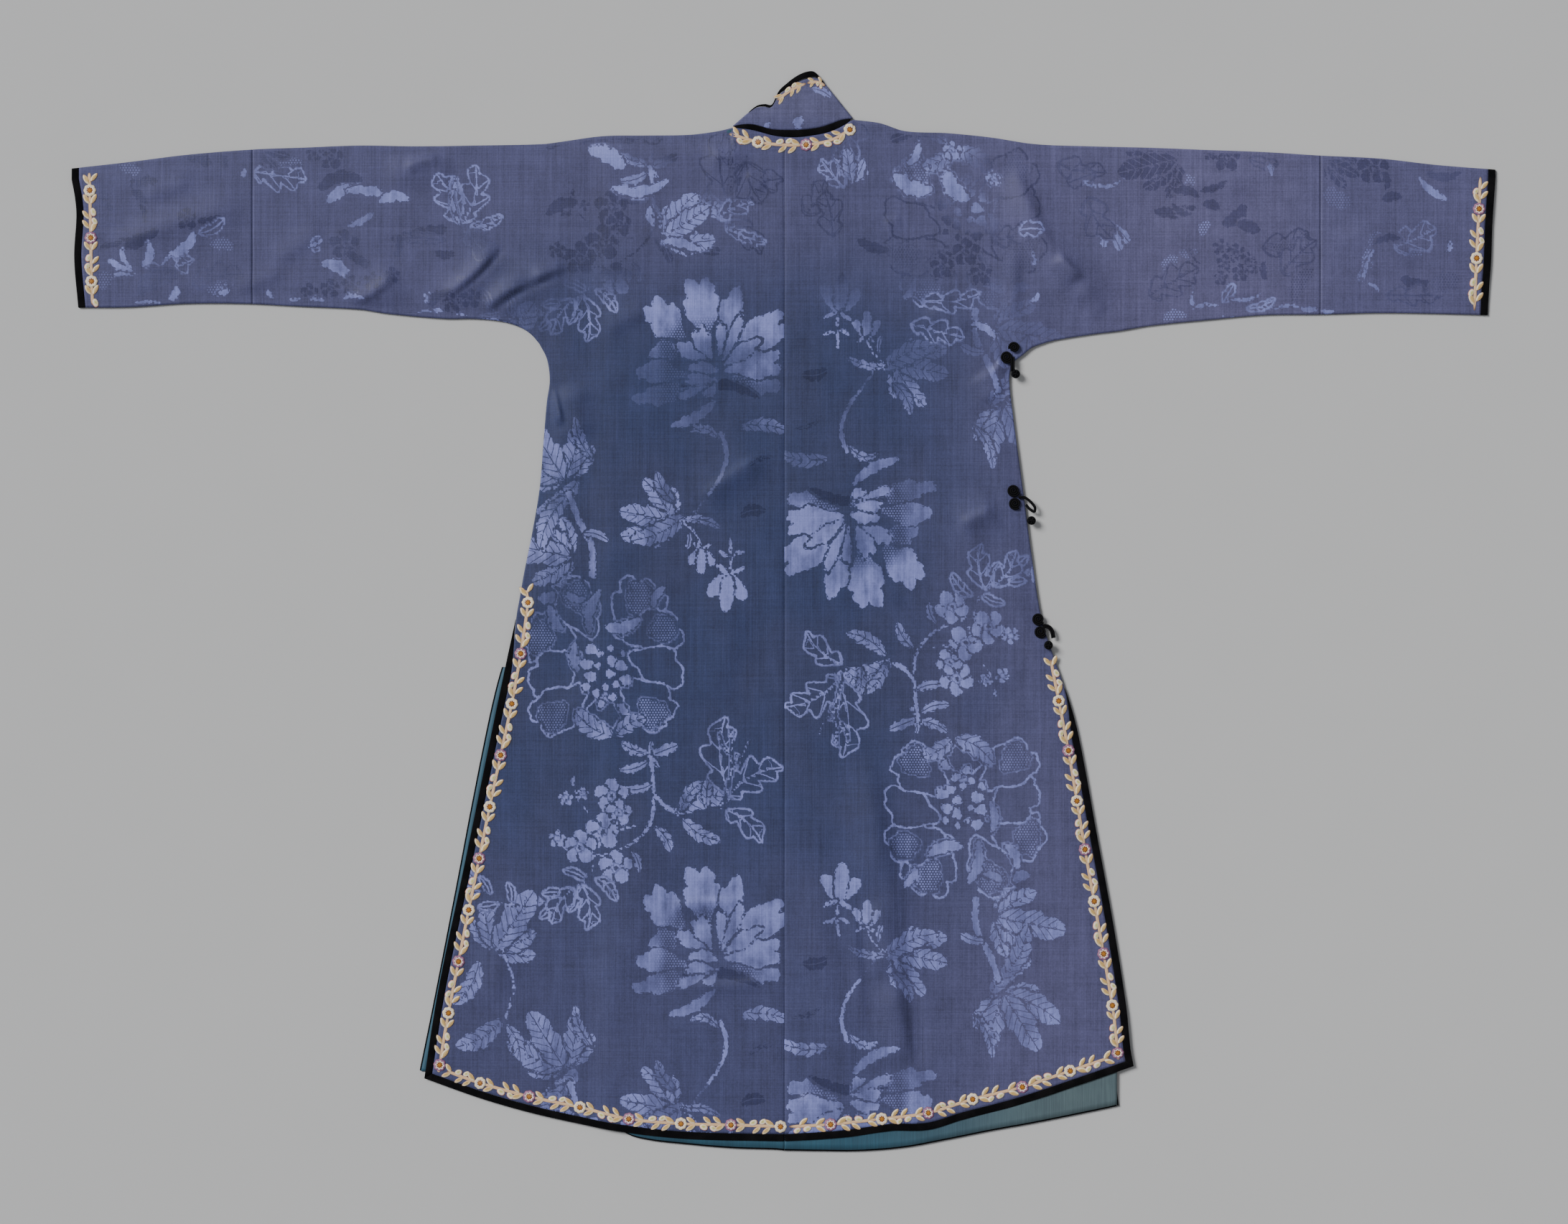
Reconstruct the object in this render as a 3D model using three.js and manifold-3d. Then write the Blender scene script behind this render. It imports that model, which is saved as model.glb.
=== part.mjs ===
// A woman's silk robe of about 1915, lying flat and face down: the back shows.
// Millimetres. X runs along the sleeves with the centre-back seam at 0, Y towards the collar,
// Z up from the surface it lies on. Each half of the robe is one length of silk that goes over
// the shoulder, so its solid is a long C: back panel, fold along the sleeve's top, front panel.
import * as THREE from 'three';
import { mergeVertices } from 'three/addons/utils/BufferGeometryUtils.js';
import Module from 'manifold-3d';

const wasm = await Module();
wasm.setup();

// ---- driving dimensions ------------------------------------------------------------------
const CLOTH = 1.0;             // lined silk, one ply
const GAP = 0.3;               // between pieces at a seam and between plies
const PLY = CLOTH + GAP;       // height of one ply in the stack
const HALF_SEAM = GAP / 2;     // each half stops this far from the centre seams
const BINDING = 7.6;           // velvet binding of slits, hem and cuffs
const BINDING_THICK = 1.2;
const PIPING = 1.6;            // the thin velvet edge of the front layers
const RIBBON_WIDTH = 15;       // widest place of the embroidered ribbon
const RIBBON_THICK = 1.0;
const RIBBON_CLEAR = 0.45;     // ribbon above the panel it is sewn to
const LINING_SIDE = 22;        // lining built in from the left slit
const LINING_HEM = 44;         // lining built up from the lower hem
const FRONT_NECK = 445;        // Y of the neckline at the centre front
const UNDERLAP_EDGE = 180;     // the inner front reaches this far past the centre
const CORD = 2.2;              // frog cord
const FOLD_TURN = [30, -30];   // degrees of the rows between the two plies of a fold
const FOLD_SLACK = 0.4;        // the back layer over the front one at a fold, beside the gap
const SLEEVE_SLACK = 0.8;      // the same in the middle of a sleeve
const PRESSED = 24;            // seams and folds press the back layer down this far in
const RIDGE_START = 20;        // ridges rise over this distance from seams and folds
const FRONT_HEM_INSET = 9;     // hidden front hems stop this far above the back's hem
const BINDING_ROLL = 0.12;     // drop of a binding's outer edge
const LINING_INSET = 0.5;      // the lining stops this far inside the cut edge
const NECK_DROP = 3;           // the front neckline leaves the top this far down
const NECK_CURVE = 2.4;        // and falls to the centre with this power
const NECK_BINDING_SHARE = 0.78;  // share of the front neckline that its velvet goes round
const NECK_BINDING_END = 2.5;  // the back's neck velvet stops this far before the folds
const NECK_BOTTOM = 515;       // Y of the back neckline at its lowest
const COLLAR_LAYER = CLOTH / 2 + 1.7 * PLY;  // height of the collar's back layer
const COLLAR_HEIGHT = 47;
const COLLAR_RIM_START = 0.9;  // share of the collar's height where its rim's velvet starts
const KNOT_FLAT = 0.8;         // a knot's height over its width

// ---- outlines, each measured outwards from the centre seam -------------------------------
const TOP_LEFT = [
  { x: 55.8, y: 525.7 }, { x: 72.2, y: 521.8 }, { x: 103.4, y: 517.9 }, { x: 150.2, y: 517.1 },
  { x: 197.0, y: 516.4 }, { x: 243.8, y: 510.1 }, { x: 262.5, y: 507.8 }, { x: 337.4, y: 506.2 },
  { x: 400.0, y: 505.4 }, { x: 462.2, y: 506.2 }, { x: 524.6, y: 503.9 }, { x: 577.6, y: 501.9 },
  { x: 649.4, y: 496.1 }, { x: 711.8, y: 488.3 }, { x: 773.7, y: 481.3 },
];
const TOP_RIGHT = [
  { x: 74.1, y: 534.1 }, { x: 103.4, y: 530.4 }, { x: 130.7, y: 521.8 }, { x: 177.5, y: 519.5 },
  { x: 224.2, y: 514.8 }, { x: 271.1, y: 507.8 }, { x: 333.4, y: 505.4 }, { x: 395.9, y: 503.9 },
  { x: 458.2, y: 501.5 }, { x: 520.6, y: 499.2 }, { x: 583.1, y: 495.3 }, { x: 645.5, y: 492.2 },
  { x: 707.9, y: 485.2 }, { x: 772.0, y: 480.1 },
];
const UNDER_LEFT = [
  { x: 266.0, y: 291.0 }, { x: 274.9, y: 301.1 }, { x: 286.7, y: 308.9 }, { x: 306.2, y: 315.1 },
  { x: 337.4, y: 318.2 }, { x: 368.6, y: 318.2 }, { x: 430.9, y: 323.7 }, { x: 462.2, y: 328.4 },
  { x: 524.6, y: 331.5 }, { x: 587.0, y: 334.6 }, { x: 649.4, y: 334.6 }, { x: 711.8, y: 330.7 },
  { x: 766.5, y: 330.3 },
];
const UNDER_RIGHT = [
  { x: 247.7, y: 270.7 }, { x: 259.0, y: 278.9 }, { x: 267.5, y: 285.9 }, { x: 276.5, y: 289.8 },
  { x: 294.4, y: 294.8 }, { x: 333.4, y: 301.1 }, { x: 364.7, y: 305.0 }, { x: 395.9, y: 310.4 },
  { x: 458.2, y: 316.7 }, { x: 520.6, y: 322.1 }, { x: 583.1, y: 322.9 }, { x: 645.5, y: 324.5 },
  { x: 707.9, y: 323.7 }, { x: 763.6, y: 322.1 },
];
const SIDE_LEFT = [
  { y: -508.2, x: 391.2 }, { y: -411.8, x: 376.0 }, { y: -281.6, x: 348.7 }, { y: -223.1, x: 336.6 },
  { y: -129.5, x: 317.5 }, { y: -75.7, x: 306.2 }, { y: 5.5, x: 289.0 }, { y: 40.6, x: 282.8 },
  { y: 87.4, x: 273.4 }, { y: 134.2, x: 265.6 }, { y: 181.0, x: 261.7 }, { y: 227.8, x: 257.8 },
  { y: 251.2, x: 254.7 }, { y: 274.6, x: 257.8 }, { y: 291.0, x: 266.0 },
];
const SIDE_RIGHT = [
  { y: -494.4, x: 379.3 }, { y: -474.2, x: 375.6 }, { y: -427.4, x: 370.9 }, { y: -333.8, x: 356.1 },
  { y: -240.2, x: 338.9 }, { y: -146.6, x: 321.8 }, { y: -99.8, x: 310.1 }, { y: -53.0, x: 293.7 },
  { y: -6.2, x: 278.9 }, { y: 64.0, x: 267.9 }, { y: 110.8, x: 261.7 }, { y: 157.6, x: 255.5 },
  { y: 204.4, x: 249.2 }, { y: 252.7, x: 244.1 }, { y: 270.7, x: 247.7 },
];
const HEM_LEFT = [
  { x: 0, y: -574.9 }, { x: 80.7, y: -573.5 }, { x: 126.0, y: -571.0 }, { x: 179.0, y: -564.7 },
  { x: 213.6, y: -558.3 }, { x: 271.8, y: -545.7 }, { x: 324.1, y: -531.2 }, { x: 391.2, y: -508.2 },
];
const HEM_RIGHT = [
  { x: 0, y: -574.9 }, { x: 60.5, y: -571.0 }, { x: 115.0, y: -563.9 }, { x: 150.9, y: -563.2 },
  { x: 186.8, y: -553.0 }, { x: 247.7, y: -537.4 }, { x: 323.3, y: -513.0 }, { x: 379.3, y: -494.4 },
];
const CUFF_LEFT = [
  { y: 330.3, x: 766.5 }, { y: 340.5, x: 767.3 }, { y: 390.9, x: 770.9 }, { y: 437.8, x: 768.5 },
  { y: 458.6, x: 769.9 }, { y: 481.3, x: 773.7 },
];
const CUFF_RIGHT = [
  { y: 322.1, x: 763.6 }, { y: 352.6, x: 764.8 }, { y: 383.8, x: 767.1 }, { y: 430.6, x: 768.7 },
  { y: 480.1, x: 772.0 },
];
// The front of the left half stands out past the back below the slit's top.
const FRONT_SIDE_LEFT = [
  { y: -500.0, x: 396.6 }, { y: -427.4, x: 381.8 }, { y: -287.0, x: 354.5 }, { y: -216.8, x: 341.2 },
  { y: -123.2, x: 322.5 }, { y: -76.4, x: 311.6 }, { y: -29.6, x: 297.6 }, { y: 5.5, x: 289.0 },
  { y: 40.6, x: 281.8 }, { y: 87.4, x: 272.4 }, { y: 134.2, x: 264.6 }, { y: 181.0, x: 260.7 },
  { y: 227.8, x: 256.8 }, { y: 251.2, x: 253.7 }, { y: 274.6, x: 256.8 }, { y: 291.0, x: 266.0 },
];
// The front of the right half: under the back's edge, and its hem hangs lower.
const FRONT_SIDE_RIGHT = [
  { y: -536.6, x: 363.1 }, { y: -501.5, x: 359.1 }, { y: -427.4, x: 352.0 }, { y: -240.2, x: 325.0 },
  { y: -99.8, x: 304.0 }, { y: -6.2, x: 276.0 }, { y: 64.0, x: 266.0 }, { y: 157.6, x: 254.0 },
  { y: 204.4, x: 248.0 }, { y: 252.7, x: 243.2 }, { y: 270.7, x: 247.7 },
];
const LOW_HEM_RIGHT = [
  { x: 0, y: -585.2 }, { x: 37.1, y: -585.8 }, { x: 83.9, y: -585.8 }, { x: 130.7, y: -581.9 },
  { x: 177.5, y: -573.3 }, { x: 224.2, y: -563.9 }, { x: 271.1, y: -555.4 }, { x: 333.4, y: -542.9 },
  { x: 363.1, y: -536.6 },
];
const LOW_HEM_LEFT = [
  { x: 0, y: -585.2 }, { x: 9.8, y: -584.2 }, { x: 56.6, y: -582.7 }, { x: 103.4, y: -578.8 },
  { x: 150.2, y: -573.3 }, { x: 173.6, y: -565.5 }, { x: 179.0, y: -554.6 },
];
// The outer front's free edge on the right side, and its curved top from neck to underarm.
const OUTER_EDGE = [
  { y: -484.0, x: 371.0 }, { y: -380.0, x: 358.0 }, { y: -240.0, x: 334.0 }, { y: -123.0, x: 312.0 },
  { y: -60.0, x: 290.5 }, { y: -20.0, x: 280.5 }, { y: 17.2, x: 274.9 }, { y: 64.0, x: 267.6 },
  { y: 110.8, x: 261.2 }, { y: 160.0, x: 253.0 }, { y: 204.4, x: 245.0 }, { y: 262.0, x: 240.0 },
];
const OUTER_TOP = [
  { x: 0, y: 444 }, { x: 40, y: 440 }, { x: 90, y: 415 }, { x: 150, y: 370 }, { x: 200, y: 325 },
  { x: 240, y: 262 },
];
const UNDERLAP_TOP = [
  { x: 0, y: 444 }, { x: 60, y: 430 }, { x: 120, y: 395 }, { x: 180, y: 330 },
];
// Lower and upper edge of the neck's velvet on the back, in true X.
const NECK_LOW = [
  { x: -55.8, y: 525.5 }, { x: -37.1, y: 523.2 }, { x: -26.2, y: 520.6 }, { x: -14.4, y: 517.4 },
  { x: -3.5, y: 515.6 }, { x: 13.2, y: 515.0 }, { x: 27.5, y: 516.4 }, { x: 45.4, y: 519.8 },
  { x: 57.3, y: 524.2 }, { x: 68.1, y: 530.0 }, { x: 74.1, y: 533.6 },
];
const NECK_HIGH = [
  { x: -55.8, y: 526.9 }, { x: -44.1, y: 528.8 }, { x: -34.7, y: 528.8 }, { x: -25.4, y: 526.7 },
  { x: -13.1, y: 523.4 }, { x: 3.5, y: 522.6 }, { x: 21.4, y: 523.1 }, { x: 39.4, y: 525.7 },
  { x: 51.4, y: 529.6 }, { x: 63.3, y: 533.8 }, { x: 74.1, y: 535.2 },
];
// Top rim of the flattened collar on the back, from its left fold to its right one.
const COLLAR_RIM = [
  { u: 0.0, x: -37.0, y: 543.5 }, { u: 0.1, x: -29.0, y: 549.4 }, { u: 0.19, x: -21.0, y: 550.9 },
  { u: 0.27, x: -13.1, y: 550.6 }, { u: 0.36, x: -5.9, y: 565.1 }, { u: 0.46, x: 3.5, y: 574.1 },
  { u: 0.56, x: 13.2, y: 581.3 }, { u: 0.68, x: 23.8, y: 586.0 }, { u: 0.82, x: 32.4, y: 586.0 },
  { u: 1.0, x: 40.6, y: 577.2 },
];
// Soft ridges of the back layer: a line with its bow to the side, its half width and its height.
const RIDGES = [
  { x0: -310, y0: 400, x1: -378, y1: 336, bow: 6, width: 20, height: 2.6 },
  { x0: -236, y0: 368, x1: -322, y1: 326, bow: -9, width: 20, height: 3.0 },
  { x0: -416, y0: 372, x1: -476, y1: 330, bow: 4, width: 20, height: 1.8 },
  { x0: -575, y0: 440, x1: -730, y1: 396, bow: 0, width: 26, height: 1.6 },
  { x0: -440, y0: 470, x1: -352, y1: 482, bow: 5, width: 18, height: 1.8 },
  { x0: 240, y0: 476, x1: 342, y1: 330, bow: -8, width: 24, height: 3.2 },
  { x0: 268, y0: 410, x1: 362, y1: 330, bow: -5, width: 18, height: 2.0 },
  { x0: 400, y0: 430, x1: 540, y1: 380, bow: 6, width: 30, height: 1.4 },
  { x0: 84, y0: -150, x1: 128, y1: -505, bow: 8, width: 26, height: 2.6 },
  { x0: 40, y0: -260, x1: 58, y1: -520, bow: -4, width: 24, height: 1.4 },
  { x0: 186, y0: 88, x1: 236, y1: 112, bow: 2, width: 20, height: 1.8 },
  { x0: -96, y0: 118, x1: -16, y1: 172, bow: 3, width: 22, height: 1.3 },
  { x0: -236, y0: 250, x1: -222, y1: 180, bow: 2, width: 18, height: 2.2 },
  { x0: -92, y0: 492, x1: -34, y1: 490, bow: -3, width: 18, height: 1.4 },
  { x0: -150, y0: -180, x1: -190, y1: -470, bow: 6, width: 30, height: 1.4 },
  { x0: 212, y0: 262, x1: 232, y1: 230, bow: 3, width: 16, height: 2.0 },
];
// Half widths of the ribbon's cut edge over one repeat, flower to flower.
const RIBBON_EDGE = [
  { at: 0.0, left: 0.46, right: 0.46 }, { at: 0.13, left: 0.18, right: 0.18 },
  { at: 0.3, left: 0.5, right: 0.2 }, { at: 0.45, left: 0.2, right: 0.46 },
  { at: 0.6, left: 0.46, right: 0.2 }, { at: 0.75, left: 0.2, right: 0.5 },
  { at: 0.87, left: 0.18, right: 0.18 },
];
const RIBBON_REPEAT = [...RIBBON_EDGE, { ...RIBBON_EDGE[0], at: 1 }];
// Ribbons: the place of each flower, and where each ribbon starts and ends between two.
const SLIT_RIBBON_LEFT = [
  { u: -0.25, x: -280.4, y: 23.4 }, { u: 0, x: -278.4, y: 9.9 }, { u: 1, x: -286.2, y: -45.6 },
  { u: 2, x: -295.8, y: -100.0 }, { u: 3, x: -307.9, y: -155.8 }, { u: 5, x: -331.2, y: -267.9 },
  { u: 8, x: -364.5, y: -435.7 }, { u: 9.14, x: -375.4, y: -500.0 },
];
const HEM_RIBBON_LEFT = [
  { u: 0.18, x: -366.3, y: -498.8 }, { u: 1, x: -330.3, y: -511.7 }, { u: 2, x: -277.0, y: -526.3 },
  { u: 3, x: -221.9, y: -538.0 }, { u: 4, x: -168.7, y: -550.4 }, { u: 5, x: -112.2, y: -555.6 },
  { u: 6, x: -57.9, y: -557.0 }, { u: 7.05, x: -1.5, y: -558.9 },
];
const SLIT_RIBBON_RIGHT = [
  { u: 0.16, x: 289.0, y: -52.0 }, { u: 1, x: 297.8, y: -96.9 }, { u: 2, x: 308.3, y: -150.8 },
  { u: 3, x: 317.5, y: -205.5 }, { u: 4, x: 326.2, y: -258.0 }, { u: 7, x: 355.9, y: -427.4 },
  { u: 8.14, x: 362.4, y: -486.0 },
];
const HEM_RIBBON_RIGHT = [
  { u: 0.18, x: 352.2, y: -484.2 }, { u: 1, x: 310.1, y: -498.3 }, { u: 2, x: 258.2, y: -515.8 },
  { u: 3, x: 204.3, y: -529.1 }, { u: 4, x: 156.2, y: -543.9 }, { u: 5, x: 105.8, y: -550.4 },
  { u: 6, x: 50.1, y: -556.4 }, { u: 6.8, x: 5.0, y: -558.9 },
];
const CUFF_RIBBON_LEFT = [
  { u: -0.4, x: -754.6, y: 476.5 }, { u: 0, x: -753.9, y: 457.3 }, { u: 1, x: -752.8, y: 405.8 },
  { u: 2, x: -752.0, y: 358.6 }, { u: 2.5, x: -751.0, y: 333.0 },
];
const CUFF_RIBBON_RIGHT = [
  { u: -0.65, x: 755.6, y: 472.0 }, { u: 0, x: 754.1, y: 437.2 }, { u: 1, x: 751.4, y: 383.6 },
  { u: 1.97, x: 749.1, y: 326.8 },
];
const NECK_RIBBON = [
  { u: -0.6, x: -60.0, y: 518.6 }, { u: 0, x: -28.5, y: 509.5 }, { u: 0.5, x: -2.5, y: 506.5 },
  { u: 1, x: 23.5, y: 506.6 }, { u: 1.55, x: 51.0, y: 511.5 }, { u: 2, x: 71.0, y: 523.0 },
];
const COLLAR_RIBBON = { from: 0.3, to: 0.93, height: 0.8, repeats: 1.7, width: 11 };
// Frog cords: two coiled lobes, the route of the cord to its knot, and the knot.
const FROGS = [
  {
    name: 'top', lobes: [{ x: 249.4, y: 286.1, radius: 6.1 }, { x: 241.8, y: 276.6, radius: 6.7 }],
    route: [{ x: 247.8, y: 275.5 }, { x: 247.2, y: 266.0 }, { x: 247.0, y: 259.5 }],
    cordWidth: 5.0, knot: { x: 250.8, y: 257.8, radius: 4.6 },
  },
  {
    name: 'middle', lobes: [{ x: 249.1, y: 130.8, radius: 7.0 }, { x: 250.6, y: 117.8, radius: 6.8 }],
    route: [
      { x: 254.0, y: 124.0 }, { x: 260.0, y: 123.6 }, { x: 266.0, y: 119.6 }, { x: 271.4, y: 113.4 },
      { x: 269.6, y: 109.6 }, { x: 265.2, y: 113.0 }, { x: 262.4, y: 117.2 }, { x: 264.0, y: 109.0 },
      { x: 267.4, y: 101.5 },
    ],
    cordWidth: 2.6, knot: { x: 268.4, y: 98.6, radius: 4.7 },
  },
  {
    name: 'lower', lobes: [{ x: 276.2, y: -8.2, radius: 7.0 }, { x: 278.4, y: -21.2, radius: 7.0 }],
    route: [
      { x: 280.0, y: -15.6 }, { x: 286.6, y: -16.4 }, { x: 290.0, y: -21.0 }, { x: 292.0, y: -28.0 },
    ],
    cordWidth: 4.4, knot: { x: 286.2, y: -36.6, radius: 4.6 },
  },
];

// ---- lattice of a body half: shares of length and width where its rows and columns run ---
const NECK_SHARES = [0, 0.25, 0.5, 0.75, 1];
const HEM_TO_ARM = [0, 0.035, 0.09, 0.15, 0.21, 0.27, 0.33, 0.39, 0.45, 0.51, 0.57, 0.63, 0.7, 0.77,
  0.84, 0.9, 0.95, 0.978, 1];
const ARM_TO_TOP = [0.14, 0.28, 0.42, 0.56, 0.7, 0.84, 1];
const TOP_TO_ARM = [0.6, 0.25, 0];
const ARM_TO_HEM = [0.96, 0.86, 0.72, 0.6, 0.5, 0.36, 0.22, 0.1, 0];
const ARMHOLE_SHARES = [0.45, 0.6, 0.75, 0.88, 1];
const SLEEVE_SHARES = [0.03, 0.08, 0.15, 0.24, 0.34, 0.44, 0.55, 0.66, 0.77, 0.88, 1];
const END_SHARES = [0, 0.16, 0.34, 0.52, 0.7, 0.86, 1];

// ---- small helpers -----------------------------------------------------------------------
const lerp = (a, b, t) => a + (b - a) * t;
const ply = (n) => CLOTH / 2 + n * PLY;

function soft(t) {
  const c = Math.min(1, Math.max(0, t));
  return c * c * (3 - 2 * c);
}

// A smooth curve through the rows of a table, as a function of one of its columns.
function follow(table, key, value) {
  const slope = table.map((row, i) => {
    const a = table[Math.max(0, i - 1)];
    const b = table[Math.min(table.length - 1, i + 1)];
    return (b[value] - a[value]) / (b[key] - a[key]);
  });
  return (at) => {
    let i = table.findIndex((row) => row[key] >= at) - 1;
    if (i === -2) i = table.length - 2;
    if (i < 0) i = 0;
    const a = table[i];
    const b = table[i + 1];
    const span = b[key] - a[key];
    const t = Math.min(1, Math.max(0, (at - a[key]) / span));
    const t2 = t * t;
    const t3 = t2 * t;
    return a[value] * (2 * t3 - 3 * t2 + 1) + slope[i] * span * (t3 - 2 * t2 + t)
      + b[value] * (3 * t2 - 2 * t3) + slope[i + 1] * span * (t3 - t2);
  };
}

// The same curve with straight runs between the given places.
function straightened(curve, places) {
  return (at) => {
    let n = places.findIndex((place) => place >= at);
    if (n < 0) n = places.length - 1;
    n = Math.max(1, n);
    const [a, b] = [places[n - 1], places[n]];
    return lerp(curve(a), curve(b), (at - a) / (b - a));
  };
}

// Height of the soft ridges over a place of the back layer.
function ridges(x, y) {
  let height = 0;
  for (const r of RIDGES) {
    const along = new THREE.Vector2(r.x1 - r.x0, r.y1 - r.y0);
    const length = along.length();
    along.divideScalar(length);
    const t = ((x - r.x0) * along.x + (y - r.y0) * along.y) / length;
    const c = Math.min(1, Math.max(0, t));
    const off = (y - r.y0) * along.x - (x - r.x0) * along.y - r.bow * 4 * c * (1 - c);
    const past = (t - c) * length;
    const ends = soft(c / 0.3) * soft((1 - c) / 0.3);
    height += r.height * ends * Math.exp(-(off * off + past * past) / (r.width * r.width));
  }
  return height;
}

// ---- the two halves ----------------------------------------------------------------------
function makeSide(sign, t) {
  return {
    sign,
    top: follow(t.top, 'x', 'y'),
    under: follow(t.under, 'x', 'y'),
    side: follow(t.side, 'y', 'x'),
    hem: follow(t.hem, 'x', 'y'),
    cuff: follow(t.cuff, 'y', 'x'),
    frontSide: follow(t.frontSide, 'y', 'x'),
    frontHem: t.frontHem,
    neckX: t.top[0].x,
    armX: t.under[0].x,
    armY: t.under[0].y,
    cornerY: t.side[0].y,
    frontCornerY: t.frontSide[0].y,
    sleeveSeam: t.sleeveSeam,
    slitTop: t.slitTop,
    slitFull: t.slitFull,
    frontPly: t.frontPly,
  };
}
const hemLeft = follow(HEM_LEFT, 'x', 'y');
const LEFT = makeSide(-1, {
  top: TOP_LEFT, under: UNDER_LEFT, side: SIDE_LEFT, hem: HEM_LEFT, cuff: CUFF_LEFT,
  frontSide: FRONT_SIDE_LEFT, frontHem: (x) => hemLeft(x) + FRONT_HEM_INSET,
  sleeveSeam: 577.6, slitTop: 7, slitFull: -75, frontPly: 0,
});
const lowHemRight = follow(LOW_HEM_RIGHT, 'x', 'y');
const RIGHT = makeSide(1, {
  top: TOP_RIGHT, under: UNDER_RIGHT, side: SIDE_RIGHT, hem: HEM_RIGHT, cuff: CUFF_RIGHT,
  frontSide: FRONT_SIDE_RIGHT, frontHem: (x) => lowHemRight(x) + PIPING + GAP,
  sleeveSeam: 582, slitTop: -70, slitFull: -145, frontPly: 1,
});
// Places across the neck where the panels' columns run, and what is sewn there bends.
const NECK_PLACES = [
  ...NECK_SHARES.slice(1).reverse().map((share) => -share * LEFT.neckX),
  ...NECK_SHARES.map((share) => share * RIGHT.neckX),
];
const neckLow = straightened(follow(NECK_LOW, 'x', 'y'), NECK_PLACES);
const neckHigh = straightened(follow(NECK_HIGH, 'x', 'y'), NECK_PLACES);

// Neckline of the front panels.
function frontNeckline(half, x) {
  const curve = (share) => lerp(FRONT_NECK, half.top(half.neckX) - NECK_DROP, share ** NECK_CURVE);
  return straightened(curve, NECK_SHARES)(Math.min(1, x / half.neckX));
}

// Height of a half's front layer: on the floor, or on the outer front where that lies under it.
function frontLevel(half, x, y) {
  const alongSleeve = y < half.armY - 0.5 ? 0 : soft((x - half.armX - 4) / 45);
  return ply(half.frontPly * (1 - alongSleeve));
}

// Height of the back layer: down on the seams and folds, up over what lies inside.
function backLevel(half, x, y, fromSeam, fromFold) {
  const inBody = Math.max(1 - soft((x - half.armX + 30) / 90), soft((half.armY - y) / 60));
  const overUnderlap = half.sign > 0 ? 1 : soft((UNDERLAP_EDGE + 35 - x) / 30);
  const body = ply(2) + overUnderlap * PLY;
  const rest = lerp(frontLevel(half, x, y) + PLY + SLEEVE_SLACK, body, inBody);
  const seam = frontLevel(half, x, y) + PLY;
  const lined = half.sign > 0 ? soft((-400 - y) / 60) : soft((22 - y) / 28);
  const edge = y < half.armY - 1 ? seam + lined * PLY : seam;
  const near = lerp(edge, rest, soft(fromSeam / PRESSED));
  const folded = lerp(seam + FOLD_SLACK, near, soft(fromFold / PRESSED));
  const calm = soft(fromSeam / RIDGE_START) * soft(fromFold / RIDGE_START);
  return folded + calm * ridges(half.sign * x, y);
}

// Inward offset of the back panel's side edge, for the velvet that starts at the slit's top.
function slitInset(half, y) {
  return (BINDING + GAP) * soft((half.slitTop - y) / (half.slitTop - half.slitFull));
}

// One edge point of the back panel's side and its direction outwards.
function sideEdge(half, y) {
  const step = 3;
  const slope = (half.side(y + step) - half.side(y - step)) / (2 * step);
  const out = new THREE.Vector2(1, -slope).normalize();
  const inset = slitInset(half, y);
  return { x: half.side(y) - out.x * inset, y: y - out.y * inset, out, inset };
}

function hemEdge(half, x) {
  const step = 3;
  const slope = (half.hem(x + step) - half.hem(x - step)) / (2 * step);
  const out = new THREE.Vector2(slope, -1).normalize();
  return { y: half.hem(x) - out.y * (BINDING + GAP) * (out.y * out.y), out };
}

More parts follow.
